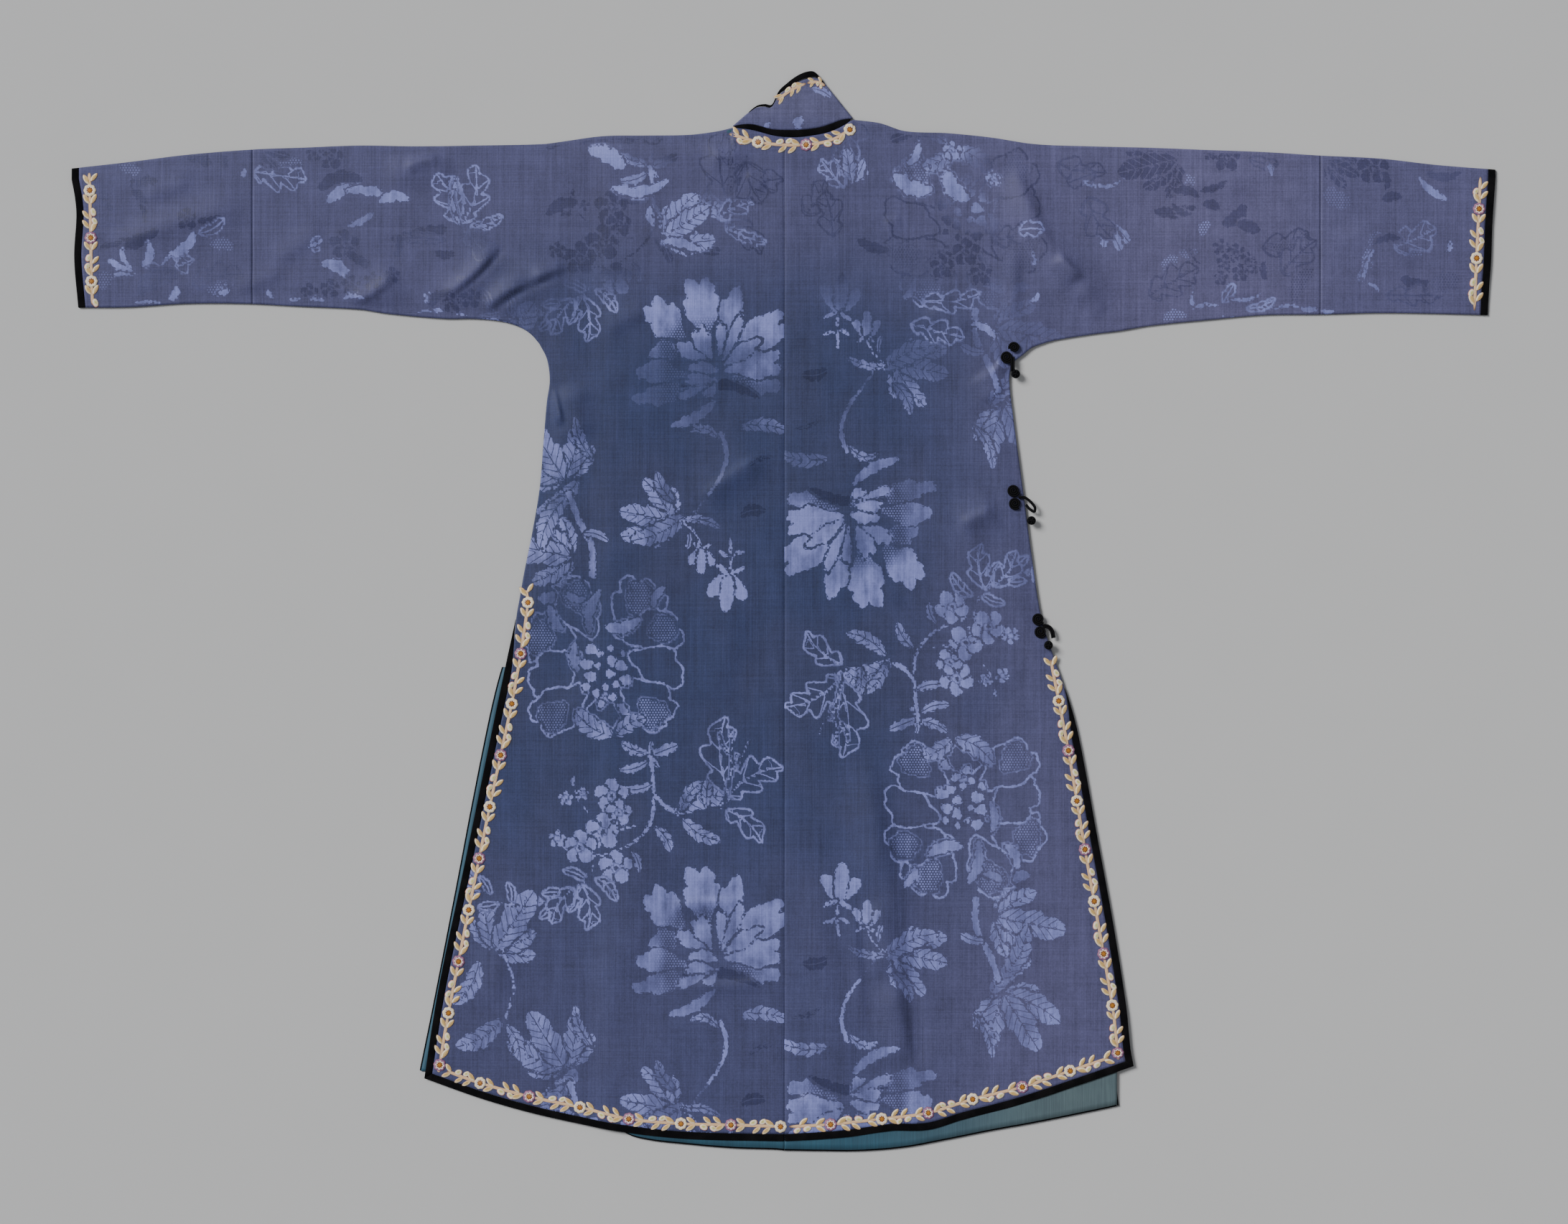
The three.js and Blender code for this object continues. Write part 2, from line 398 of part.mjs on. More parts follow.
// Lattice of a body half. Columns run from the centre seam to the side, then along the sleeve.
function bodyLattice(half) {
  const neckShares = NECK_SHARES.map((f) => f * half.neckX / half.armX);
  const shares = [...neckShares, ...ARMHOLE_SHARES];
  const bodyCols = shares.length - 1;
  const neckCols = neckShares.length - 1;
  const last = bodyCols + SLEEVE_SHARES.length;
  const armRow = HEM_TO_ARM.length - 1;
  const topRow = armRow + ARM_TO_TOP.length;
  const frontTop = topRow + FOLD_TURN.length + 1;
  const frontArm = frontTop + TOP_TO_ARM.length;
  const rows = frontArm + ARM_TO_HEM.length;
  const sleeveX = (j) => lerp(half.armX, half.sleeveSeam - HALF_SEAM, SLEEVE_SHARES[j - bodyCols - 1]);
  const upperX = (j) => (j <= bodyCols ? Math.max(HALF_SEAM, shares[j] * half.armX) : sleeveX(j));
  const lowEdge = (x, j) => (j <= bodyCols ? half.armY : half.under(x));
  const place = (x, y, z) => new THREE.Vector3(half.sign * x, y, z);

  // Where a fold's plies part: inside the top edge by half the cloth and the fold's radius.
  function foldAt(x) {
    const high = backLevel(half, x, half.top(x), 99, 0);
    const low = frontLevel(half, x, half.top(x));
    const radius = (high - low) / 2;
    return { y: half.top(x) - CLOTH / 2 - radius, radius, centre: (high + low) / 2 };
  }

  function lowerBack(i, j) {
    const v = HEM_TO_ARM[i];
    const corner = half.cornerY + BINDING + GAP;
    const edge = sideEdge(half, lerp(corner, half.armY, v));
    const x = Math.max(HALF_SEAM, shares[j] * edge.x);
    const y = lerp(hemEdge(half, x).y, half.armY, v);
    const miss = edge.y - lerp(hemEdge(half, edge.x).y, half.armY, v);
    return { x, y: y + miss * shares[j] ** 2, fromSeam: edge.x - x, fromFold: 99 };
  }

  function upperBack(i, j) {
    const x = upperX(j);
    const w = ARM_TO_TOP[i - armRow - 1];
    const inNeck = j < neckCols;
    const topY = inNeck ? neckLow(half.sign * x) - GAP : foldAt(x).y;
    const lowY = lowEdge(x, j);
    const y = lerp(lowY, topY, w);
    const fromSeam = Math.hypot(Math.max(0, half.armX - x), y - lowY);
    return { x, y, fromSeam, fromFold: inNeck ? 30 : topY - y };
  }

  function frontPoint(i, j) {
    const x = upperX(j);
    const topY = j < neckCols ? frontNeckline(half, x) - GAP : foldAt(x).y;
    if (i <= frontArm) {
      const w = i === frontTop ? 1 : TOP_TO_ARM[i - frontTop - 1];
      return { x, y: lerp(lowEdge(x, j), topY, w) };
    }
    const v = ARM_TO_HEM[i - frontArm - 1];
    const sideY = lerp(half.frontCornerY + 2, half.armY, v);
    const trim = half.frontSide(sideY) - (PIPING + GAP) * soft((5 - sideY) / 30);
    const lowX = Math.max(HALF_SEAM, shares[j] * trim);
    return { x: lowX, y: lerp(half.frontHem(lowX), half.armY, v) };
  }

  function at(i, j) {
    if (i <= topRow) {
      const p = i <= armRow && j <= bodyCols ? lowerBack(i, j) : upperBack(Math.max(i, armRow), j);
      return place(p.x, p.y, backLevel(half, p.x, p.y, p.fromSeam, p.fromFold));
    }
    if (i < frontTop) {
      const x = upperX(j);
      const fold = foldAt(x);
      const turn = THREE.MathUtils.degToRad(FOLD_TURN[i - topRow - 1]);
      return place(x, fold.y + fold.radius * Math.cos(turn), fold.centre + fold.radius * Math.sin(turn));
    }
    const p = frontPoint(i, j);
    return place(p.x, p.y, frontLevel(half, p.x, p.y));
  }

  // The row at the underarm belongs to the sleeve as well, on its lower edge.
  function point(i, j) {
    if (i === armRow && j > bodyCols) {
      const x = sleeveX(j);
      return place(x, half.under(x), backLevel(half, x, half.under(x), 0, 99));
    }
    return at(i, j);
  }

  function has(i, j) {
    if (i < armRow || i >= frontArm) return j < bodyCols;
    if (i >= topRow && i < frontTop) return j >= neckCols;
    return true;
  }
  return { rows, cols: last, has, point, half, armRow, frontArm, bodyCols };
}

// ---- a closed wall round a lattice -------------------------------------------------------
function wall(lattice, thickness) {
  const { rows, cols, has, point } = lattice;
  const inside = (i, j) => i >= 0 && j >= 0 && i < rows && j < cols && has(i, j);
  const key = (i, j) => i * (cols + 1) + j;
  const mids = new Map();
  const normals = new Map();
  const mid = (i, j) => {
    if (!mids.has(key(i, j))) mids.set(key(i, j), point(i, j));
    return mids.get(key(i, j));
  };
  const cells = [];
  for (let i = 0; i < rows; i += 1) {
    for (let j = 0; j < cols; j += 1) {
      if (inside(i, j)) cells.push([i, j]);
    }
  }
  for (const [i, j] of cells) {
    const corners = [[i, j], [i + 1, j], [i + 1, j + 1], [i, j + 1]];
    const [a, b, c, d] = corners.map(([p, q]) => mid(p, q));
    const normal = c.clone().sub(a).cross(d.clone().sub(b)).normalize();
    for (const [p, q] of corners) {
      if (!normals.has(key(p, q))) normals.set(key(p, q), new THREE.Vector3());
      normals.get(key(p, q)).add(normal);
    }
  }
  const index = new Map();
  const positions = [];
  const vertex = (i, j, face) => {
    const id = key(i, j) * 2 + (face > 0 ? 1 : 0);
    if (!index.has(id)) {
      const shift = normals.get(key(i, j)).clone().normalize().multiplyScalar(face * thickness / 2);
      const p = mid(i, j).clone().add(shift);
      index.set(id, positions.length / 3);
      positions.push(p.x, p.y, p.z);
    }
    return index.get(id);
  };
  const faces = [];
  const quad = (a, b, c, d) => faces.push(a, b, c, a, c, d);
  for (const [i, j] of cells) {
    const ring = [[i, j], [i + 1, j], [i + 1, j + 1], [i, j + 1]];
    const up = ring.map(([p, q]) => vertex(p, q, 1));
    const down = ring.map(([p, q]) => vertex(p, q, -1));
    quad(up[0], up[1], up[2], up[3]);
    quad(down[0], down[3], down[2], down[1]);
    const beside = [[i, j - 1], [i + 1, j], [i, j + 1], [i - 1, j]];
    beside.forEach(([p, q], k) => {
      const n = (k + 1) % 4;
      if (!inside(p, q)) quad(up[n], up[k], down[k], down[n]);
    });
  }
  const geometry = new THREE.BufferGeometry();
  geometry.setAttribute('position', new THREE.Float32BufferAttribute(positions, 3));
  geometry.setIndex(faces);
  return geometry;
}

// The left half's lattice is mirrored in X, which would turn its faces inside out; with rows and
// columns exchanged they face outwards again.
function swapped(lattice) {
  return {
    rows: lattice.cols,
    cols: lattice.rows,
    has: (i, j) => lattice.has(j, i),
    point: (i, j) => lattice.point(j, i),
  };
}
const clothWall = (lattice, mirror, thickness = CLOTH) => (
  wall(mirror ? swapped(lattice) : lattice, thickness)
);

// Upper face of a panel under a place in plan: the highest facet there, of those that lie
// above a height.
function surfaceOf(geometries, above = 0) {
  const triangles = [];
  for (const geometry of geometries) {
    const p = geometry.getAttribute('position');
    const index = geometry.getIndex();
    for (let k = 0; k < index.count; k += 3) {
      const [a, b, c] = [0, 1, 2].map((m) => (
        new THREE.Vector3().fromBufferAttribute(p, index.getX(k + m))
      ));
      const area = (b.x - a.x) * (c.y - a.y) - (c.x - a.x) * (b.y - a.y);
      if (area > 0.5 && Math.max(a.z, b.z, c.z) > above) triangles.push({ a, b, c, area });
    }
  }
  return (x, y, otherwise) => {
    let best = -Infinity;
    for (const { a, b, c, area } of triangles) {
      const wa = ((b.x - x) * (c.y - y) - (c.x - x) * (b.y - y)) / area;
      const wb = ((c.x - x) * (a.y - y) - (a.x - x) * (c.y - y)) / area;
      const wc = 1 - wa - wb;
      if (Math.min(wa, wb, wc) >= -1e-4) best = Math.max(best, wa * a.z + wb * b.z + wc * c.z);
    }
    return best === -Infinity ? otherwise : best;
  };
}

// ---- sleeves' ends and their velvet ------------------------------------------------------
// Rows go round the flattened tube from the underarm seam over the top and back; columns are
// given as a function of the place round the tube.
function tubeLattice(half, columns) {
  const up = [0, ...ARM_TO_TOP];
  const down = [1, ...TOP_TO_ARM];
  const topRow = up.length - 1;
  const frontTop = topRow + FOLD_TURN.length + 1;
  const rows = frontTop + down.length - 1;
  function point(i, j) {
    const guess = half.sleeveSeam + 100;
    const share = i <= topRow ? up[i] : i < frontTop ? 1 : down[i - frontTop];
    const x = columns(lerp(half.under(guess), half.top(guess), share), j);
    const low = half.under(x);
    const high = backLevel(half, x, half.top(x), 99, 0);
    const floor = frontLevel(half, x, half.top(x));
    const radius = (high - floor) / 2;
    const foldY = half.top(x) - CLOTH / 2 - radius;
    let y = lerp(low, foldY, share);
    let z = floor;
    if (i <= topRow) z = backLevel(half, x, y, y - low, foldY - y);
    else if (i < frontTop) {
      const turn = THREE.MathUtils.degToRad(FOLD_TURN[i - topRow - 1]);
      y = foldY + radius * Math.cos(turn);
      z = (high + floor) / 2 + radius * Math.sin(turn);
    }
    return new THREE.Vector3(half.sign * x, y, z);
  }
  return { rows, cols: columns.count, has: () => true, point };
}

function sleeveEnd(half) {
  const columns = (y, j) => (
    lerp(half.sleeveSeam + HALF_SEAM, half.cuff(y) - BINDING - GAP, END_SHARES[j])
  );
  columns.count = END_SHARES.length - 1;
  return clothWall(tubeLattice(half, columns), half.sign < 0);
}

function cuffBinding(half) {
  const columns = (y, j) => half.cuff(y) - BINDING * (1 - j / 2);
  columns.count = 2;
  return clothWall(tubeLattice(half, columns), half.sign < 0, CLOTH);
}

// ---- the front's other panels ------------------------------------------------------------
// Outer front, right of the centre: it lies lowest and shows only at the edge of the side.
function outerFront() {
  const shares = [0, 0.15, 0.3, 0.45, 0.6, 0.75, 0.9, 1];
  const rows = [0, 0.12, 0.25, 0.38, 0.5, 0.58, 0.66, 0.74, 0.82, 0.9, 1];
  const edge = follow(OUTER_EDGE, 'y', 'x');
  const top = follow(OUTER_TOP, 'x', 'y');
  const hem = (x) => RIGHT.hem(x) + FRONT_HEM_INSET;
  const topY = OUTER_TOP[OUTER_TOP.length - 1].y;
  const lowY = OUTER_EDGE[0].y;
  const point = (i, j) => {
    const sideY = lerp(lowY, topY, rows[i]);
    const sideX = edge(sideY) - PIPING - GAP;
    const x = Math.max(HALF_SEAM, shares[j] * sideX);
    const miss = sideY - lerp(hem(sideX), top(sideX), rows[i]);
    return new THREE.Vector3(x, lerp(hem(x), top(x), rows[i]) + miss * shares[j] ** 2, ply(0));
  };
  return { rows: rows.length - 1, cols: shares.length - 1, has: () => true, point };
}

// The inner front's extension past the centre, on top of the outer one.
function underlap() {
  const shares = [0, 0.3, 0.55, 0.75, 0.9, 0.97, 1];
  const rows = [0, 0.1, 0.3, 0.5, 0.7, 0.85, 1];
  const hem = follow(LOW_HEM_LEFT, 'x', 'y');
  const top = follow(UNDERLAP_TOP, 'x', 'y');
  const width = UNDERLAP_EDGE - 1 - PIPING - GAP;
  const point = (i, j) => {
    const x = Math.max(HALF_SEAM, shares[j] * width);
    return new THREE.Vector3(-x, lerp(hem(x) + PIPING + GAP, top(x), rows[i]), ply(1));
  };
  return { rows: rows.length - 1, cols: shares.length - 1, has: () => true, point };
}

// ---- strips along an edge ----------------------------------------------------------------
// Each station has an edge point, its direction outwards and a width; the strip goes from
// gap to gap + width outside it, its outer edge rolled down a little.
function edging(stations, gap, width, roll, thickness) {
  const across = [0, 0.5, 1];
  const point = (i, j) => {
    const s = stations[i];
    const away = s.stretch * (gap + across[j] * width * s.share);
    const p = new THREE.Vector3(s.x + s.out.x * away, s.y + s.out.y * away, s.z);
    p.z += (thickness - CLOTH) / 2 - roll * across[j] ** 2;
    return p;
  };
  return wall({ rows: stations.length - 1, cols: 2, has: () => true, point }, thickness);
}

// Stations on the boundary of a lattice. Outwards is the bisector of the two edges that meet
// there, stretched so that a strip keeps its width round a corner.
function boundary(lattice, ids, turnRight) {
  const points = ids.map(([i, j]) => lattice.point(i, j));
  const outs = points.slice(1).map((p, k) => {
    const run = new THREE.Vector2(p.x - points[k].x, p.y - points[k].y).normalize();
    return turnRight ? new THREE.Vector2(run.y, -run.x) : new THREE.Vector2(-run.y, run.x);
  });
  return points.map((p, k) => {
    const before = outs[Math.max(0, k - 1)];
    const after = outs[Math.min(outs.length - 1, k)];
    const out = before.clone().add(after).normalize();
    return { x: p.x, y: p.y, z: p.z, out, stretch: 1 / out.dot(before), share: 1 };
  });
}

// ---- ribbons -----------------------------------------------------------------------------
// A strip over a table of flowers, one at each whole u, laid on the panel's upper face, with its
// edges cut to the shape of the flowers and of the leaves between them.
function ribbon(table, surface, width = RIBBON_WIDTH) {
  const x = follow(table, 'u', 'x');
  const y = follow(table, 'u', 'y');
  const first = table[0].u;
  const last = table[table.length - 1].u;
  const places = [first];
  for (let k = Math.floor(first); k < last; k += 1) {
    for (const row of RIBBON_EDGE) {
      const u = k + row.at;
      if (u > first + 0.04 && u < last - 0.04) places.push(u);
    }
  }
  places.push(last);
  const left = follow(RIBBON_REPEAT, 'at', 'left');
  const right = follow(RIBBON_REPEAT, 'at', 'right');
  const point = (i, j) => {
    const u = places[i];
    const run = new THREE.Vector2(x(u + 0.02) - x(u - 0.02), y(u + 0.02) - y(u - 0.02)).normalize();
    const share = ((u % 1) + 1) % 1;
    const side = j === 0 ? width * left(share) : -width * right(share);
    const at = { x: x(u) - run.y * side, y: y(u) + run.x * side };
    const z = surface(at.x, at.y, surface(x(u), y(u), ply(3)));
    return new THREE.Vector3(at.x, at.y, z + RIBBON_CLEAR + RIBBON_THICK / 2);
  };
  const lattice = { rows: places.length - 1, cols: 1, has: () => true, point };
  return wall(swapped(lattice), RIBBON_THICK);
}

// ---- collar ------------------------------------------------------------------------------
// The flattened stand collar as one band from the centre front round the left side, over the
// back and round the right side. Rows go round, columns from its seam up to its rim.
const collarShare = (x) => (x + LEFT.neckX) / (LEFT.neckX + RIGHT.neckX);
function collarPlan(share, v) {
  const rim = { x: follow(COLLAR_RIM, 'u', 'x'), y: follow(COLLAR_RIM, 'u', 'y') };
  const x0 = NECK_HIGH[0].x;
  const x1 = NECK_HIGH[NECK_HIGH.length - 1].x;
  const baseX = lerp(x0, x1, share);
  const base = { x: baseX, y: neckHigh(baseX) + GAP };
  return new THREE.Vector2(lerp(base.x, rim.x(share), v), lerp(base.y, rim.y(share), v));
}

// Front ply of the collar: the same folds, its middle sunk to the front neckline.
function collarFront(share, v) {
  const back = collarPlan(share, v);
  const dip = soft(3 * Math.sin(Math.PI * share) ** 0.8);
  const seam = frontNeckline(back.x < 0 ? LEFT : RIGHT, Math.abs(back.x)) + BINDING + 4 * GAP;
  const low = lerp(neckHigh(back.x) + GAP, seam, dip);
  const full = Math.sin(Math.PI * share) ** 1.5;
  return new THREE.Vector2(back.x, low + lerp(back.y - neckHigh(back.x), COLLAR_HEIGHT * v, full));
}

function collarBand(from, to, columns) {
  const stops = [
    ...[0.425, 0.3, 0.16, 0.06].map((share) => ({ share, ply: 'front' })),
    { share: 0, ply: 'fold', inward: 1 },
    { share: 0.04, ply: 'back' },
    ...NECK_PLACES.slice(1, -1).map((x) => ({ share: collarShare(x), ply: 'back' })),
    { share: 0.96, ply: 'back' },
    { share: 1, ply: 'fold', inward: -1 },
    ...[0.95, 0.85, 0.72, 0.58, 0.435].map((share) => ({ share, ply: 'front' })),
  ];
  const heights = { front: ply(0), back: COLLAR_LAYER, fold: (ply(0) + COLLAR_LAYER) / 2 };
  const point = (i, j) => {
    const stop = stops[i];
    const v = lerp(from, to(stop.share), j / columns);
    const p = stop.ply === 'front' ? collarFront(stop.share, v) : collarPlan(stop.share, v);
    if (stop.ply === 'fold') p.x += stop.inward * CLOTH / 2;
    return new THREE.Vector3(p.x, p.y, heights[stop.ply]);
  };
  return { rows: stops.length - 1, cols: columns, has: () => true, point };
}

// ---- frogs -------------------------------------------------------------------------------
function toManifold(geometry) {
  const bare = geometry.clone();
  bare.deleteAttribute('normal');
  bare.deleteAttribute('uv');
  const merged = mergeVertices(bare, 1e-4);
  return new wasm.Manifold(new wasm.Mesh({
    numProp: 3,
    vertProperties: new Float32Array(merged.getAttribute('position').array),
    triVerts: new Uint32Array(merged.getIndex().array),
  }));
}
function fromManifold(solid) {
  const mesh = solid.getMesh();
  const geometry = new THREE.BufferGeometry();
  geometry.setAttribute('position', new THREE.Float32BufferAttribute(mesh.vertProperties, 3));
  geometry.setIndex(new THREE.Uint32BufferAttribute(mesh.triVerts, 1));
  return geometry;
}

// A coil of cord as a low dome, lying at its height.
function coil(lobe, z) {
  const profile = [[0, 0], [0.92, 0], [1, 0.4], [0.9, 0.8], [0.55, 1], [0, 0.92]].map(([r, h]) => (
    new THREE.Vector2(r * lobe.radius, h * CORD)
  ));
  const geometry = new THREE.LatheGeometry(profile, 14);
  geometry.rotateX(Math.PI / 2);
  return geometry.translate(lobe.x, lobe.y, z);
}

function cordRun(frog, z) {
  const curve = new THREE.CatmullRomCurve3(frog.route.map((p) => (
    new THREE.Vector3(p.x, p.y, z + CORD / 2)
  )));
  const section = new THREE.Shape();
  section.absellipse(0, 0, CORD / 2, frog.cordWidth / 2, 0, Math.PI * 2);
  return new THREE.ExtrudeGeometry(section, {
    steps: frog.route.length * 3, extrudePath: curve, curveSegments: 4,
  });
}

// Height of the highest cloth under a round spot.
function highest(spot, surface) {
  const around = [[0, 0], [1, 0], [-1, 0], [0, 1], [0, -1]];
  return Math.max(...around.map(([a, b]) => (
    surface(spot.x + a * spot.radius, spot.y + b * spot.radius, 0)
  )));
}

function frogSeat(frog, surface) {
  const spots = [...frog.lobes, ...frog.route.map((p) => ({ ...p, radius: CORD }))];
  return GAP + Math.max(...spots.map((spot) => highest(spot, surface)));
}

function frogSolid(frog, seat, knotSeat) {
  let solid = toManifold(cordRun(frog, seat));
  for (const lobe of frog.lobes) solid = solid.add(toManifold(coil(lobe, seat)));
  return fromManifold(solid.subtract(toManifold(knotSolid(frog, knotSeat, frog.knot.radius + GAP))));
}

// Height of a knot's middle: clear of the cloth under it and of the cord that leads to it.
function knotSeatOf(frog, seat, surface) {
  const clear = highest(frog.knot, surface) + GAP + KNOT_FLAT * frog.knot.radius;
  return Math.max(seat + CORD, clear);
}
function knotSolid(frog, z, radius = frog.knot.radius) {
  const geometry = new THREE.IcosahedronGeometry(radius, 1);
  geometry.scale(1, 1, KNOT_FLAT);
  return geometry.translate(frog.knot.x, frog.knot.y, z);
}

// ---- materials ---------------------------------------------------------------------------
const silk = new THREE.MeshStandardMaterial({ color: 0x4c5876, roughness: 0.55, metalness: 0 });
const lining = new THREE.MeshStandardMaterial({ color: 0x3f6473, roughness: 0.8, metalness: 0 });
const velvet = new THREE.MeshStandardMaterial({ color: 0x0a0a0c, roughness: 0.95, metalness: 0 });
const embroidery = new THREE.MeshStandardMaterial({ color: 0xd9bd8c, roughness: 0.5, metalness: 0 });
const cord = new THREE.MeshStandardMaterial({ color: 0x070708, roughness: 0.9, metalness: 0 });

// ---- assembly ----------------------------------------------------------------------------
const group = new THREE.Group();
function add(name, geometry, material) {
  const mesh = new THREE.Mesh(geometry, material);
  mesh.name = name;
  group.add(mesh);
  return geometry;
}

const range = (from, to) => Array.from({ length: to - from + 1 }, (_, k) => from + k);

const leftLattice = bodyLattice(LEFT);
const rightLattice = bodyLattice(RIGHT);
const bodyLeft = add('body_left', clothWall(leftLattice, true), silk);
const bodyRight = add('body_right', clothWall(rightLattice, false), silk);
add('outer_front', clothWall(outerFront(), false), silk);
add('underlap', clothWall(underlap(), true), silk);
const endLeft = add('sleeve_end_left', sleeveEnd(LEFT), silk);
const endRight = add('sleeve_end_right', sleeveEnd(RIGHT), silk);
add('cuff_binding_left', cuffBinding(LEFT), velvet);
add('cuff_binding_right', cuffBinding(RIGHT), velvet);

// ---- back panel's velvet: both slits and the hem, mitred at the corners ------------------
function backEdging(lattice, mirror) {
  const { half, armRow, bodyCols, point } = lattice;
  const sideIds = range(0, armRow).map((i) => [i, bodyCols]);
  const side = boundary(lattice, sideIds, half.sign > 0);
  side.forEach((s, k) => {
    s.share = soft((half.slitTop - s.y) / (half.slitTop - half.slitFull));
  });
  const started = side.filter((s) => s.share > 0.02);
  const hem = boundary(lattice, range(0, bodyCols).map((j) => [0, j]), half.sign > 0);
  hem[0].out.set(0, -1);
  const corner = point(0, bodyCols);
  const mitre = side[0].out.clone().add(hem[bodyCols].out).normalize();
  const stretch = 1 / mitre.dot(side[0].out);
  const apart = new THREE.Vector2(side[1].x - corner.x, side[1].y - corner.y).normalize();
  const across = new THREE.Vector2(
    hem[bodyCols - 1].x - corner.x, hem[bodyCols - 1].y - corner.y,
  ).normalize();
  Object.assign(started[0], { out: mitre, stretch });
  started[0].x += apart.x * GAP;
  started[0].y += apart.y * GAP;
  const hemCorner = { ...hem[bodyCols], out: mitre, stretch };
  hemCorner.x += across.x * GAP;
  hemCorner.y += across.y * GAP;
  hem[bodyCols] = hemCorner;
  return [bindingWall(started, mirror), bindingWall(hem, !mirror)];
}

function bindingWall(stations, mirror) {
  const run = mirror ? [...stations].reverse() : stations;
  return edging(run, GAP, BINDING, BINDING_ROLL, BINDING_THICK);
}

// ---- neck velvet: a crescent on the back and one round the front neckline ----------------
function neckBinding() {
  const places = NECK_PLACES.map((x, k) => {
    if (k === 0) return x + NECK_BINDING_END;
    return k === NECK_PLACES.length - 1 ? x - NECK_BINDING_END : x;
  });
  const point = (i, j) => {
    const x = places[i];
    const y = lerp(neckLow(x), neckHigh(x), j / 2);
    return new THREE.Vector3(x, y, neckHeight(x, j / 2));
  };
  return { rows: places.length - 1, cols: 2, has: () => true, point };
}

function neckHeight(x, across) {
  const low = backLevel(x < 0 ? LEFT : RIGHT, Math.abs(x), NECK_BOTTOM, 99, 30);
  return lerp(low, COLLAR_LAYER, across);
}

// Band round the front neckline, under everything, open at the centre front.
function frontNeckBinding(half) {
  const shares = [0, ...NECK_SHARES.slice(1, -1), NECK_BINDING_SHARE];
  const point = (i, j) => {
    const x = Math.max(HALF_SEAM * 2, shares[i] * half.neckX);
    const y = frontNeckline(half, x) + j * BINDING / 2;
    return new THREE.Vector3(half.sign * x, y, ply(0));
  };
  return { rows: shares.length - 1, cols: 2, has: () => true, point };
}

const [slitLeft, hemLeftBinding] = backEdging(leftLattice, true);
const [slitRight, hemRightBinding] = backEdging(rightLattice, false);
add('slit_binding_left', slitLeft, velvet);
add('slit_binding_right', slitRight, velvet);
add('hem_binding_left', hemLeftBinding, velvet);
add('hem_binding_right', hemRightBinding, velvet);
add('neck_binding_back', wall(neckBinding(), CLOTH), velvet);
add('neck_binding_left', clothWall(frontNeckBinding(LEFT), true), velvet);
add('neck_binding_right', clothWall(frontNeckBinding(RIGHT), false), velvet);

// The silk stops just under the rim's velvet, lower at the short left fold.
const belowRim = (share) => COLLAR_RIM_START - lerp(0.11, 0.025, soft(share / 0.12));
const collar = add('collar', wall(collarBand(0, belowRim, 4), CLOTH), silk);
add('collar_binding', wall(collarBand(COLLAR_RIM_START, () => 1, 1), CLOTH), velvet);

// Thin velvet edges of the front layers, and the lining that shows inside them.
const pipe = (stations) => edging(stations, GAP, PIPING, 0, CLOTH);
const lined = (stations, height, width) => edging(
  stations.map((s) => ({ ...s, z: height, stretch: 1 })), -width - LINING_INSET, width, 0, CLOTH,
);
const upright = (stations) => stations.map((s) => ({ ...s, out: new THREE.Vector2(0, -1) }));

const leftFrontEdge = boundary(leftLattice, range(leftLattice.frontArm + 4, leftLattice.rows)
  .map((i) => [i, leftLattice.bodyCols]), true);
add('front_piping_left', pipe(leftFrontEdge), velvet);
add('lining_left', lined(leftFrontEdge, ply(1), LINING_SIDE), lining);

const underlapLattice = underlap();
const underlapHem = range(0, underlapLattice.cols).map((j) => [0, j]).reverse();
add('underlap_piping_left', pipe(boundary(underlapLattice, [[1, underlapLattice.cols], ...underlapHem],
  true)), velvet);
add('lining_hem_left', lined(upright(boundary(underlapLattice, underlapHem, true)), ply(2),
  LINING_HEM), lining);

const rightHem = range(0, rightLattice.bodyCols).map((j) => [rightLattice.rows, j]);
add('underlap_piping_right', pipe(boundary(rightLattice,
  [...rightHem, [rightLattice.rows - 1, rightLattice.bodyCols]], true)), velvet);
add('lining_hem_right', lined(upright(boundary(rightLattice, rightHem, true)), ply(2),
  LINING_HEM), lining);

const outerLattice = outerFront();
add('lapel_piping', pipe(boundary(outerLattice, range(0, outerLattice.rows)
  .map((i) => [i, outerLattice.cols]), true)), velvet);

// Embroidered ribbons, inside the velvet.
const leftSurface = surfaceOf([bodyLeft, slitLeft, hemLeftBinding], ply(1));
const rightSurface = surfaceOf([bodyRight, slitRight, hemRightBinding], ply(2));
const backSurface = surfaceOf([bodyLeft, bodyRight], ply(2));
add('slit_ribbon_left', ribbon(SLIT_RIBBON_LEFT, leftSurface), embroidery);
add('slit_ribbon_right', ribbon(SLIT_RIBBON_RIGHT, rightSurface), embroidery);
add('hem_ribbon_left', ribbon(HEM_RIBBON_LEFT, leftSurface), embroidery);
add('hem_ribbon_right', ribbon(HEM_RIBBON_RIGHT, rightSurface), embroidery);
add('neck_ribbon', ribbon(NECK_RIBBON, backSurface), embroidery);
add('cuff_ribbon_left', ribbon(CUFF_RIBBON_LEFT, surfaceOf([endLeft])), embroidery);
add('cuff_ribbon_right', ribbon(CUFF_RIBBON_RIGHT, surfaceOf([endRight])), embroidery);
const collarPath = range(0, 4).map((k) => {
  const share = lerp(COLLAR_RIBBON.from, COLLAR_RIBBON.to, k / 4);
  const p = collarPlan(share, COLLAR_RIBBON.height);
  return { u: COLLAR_RIBBON.repeats * k / 4, x: p.x, y: p.y };
});
add('collar_ribbon', ribbon(collarPath, surfaceOf([collar]), COLLAR_RIBBON.width), embroidery);

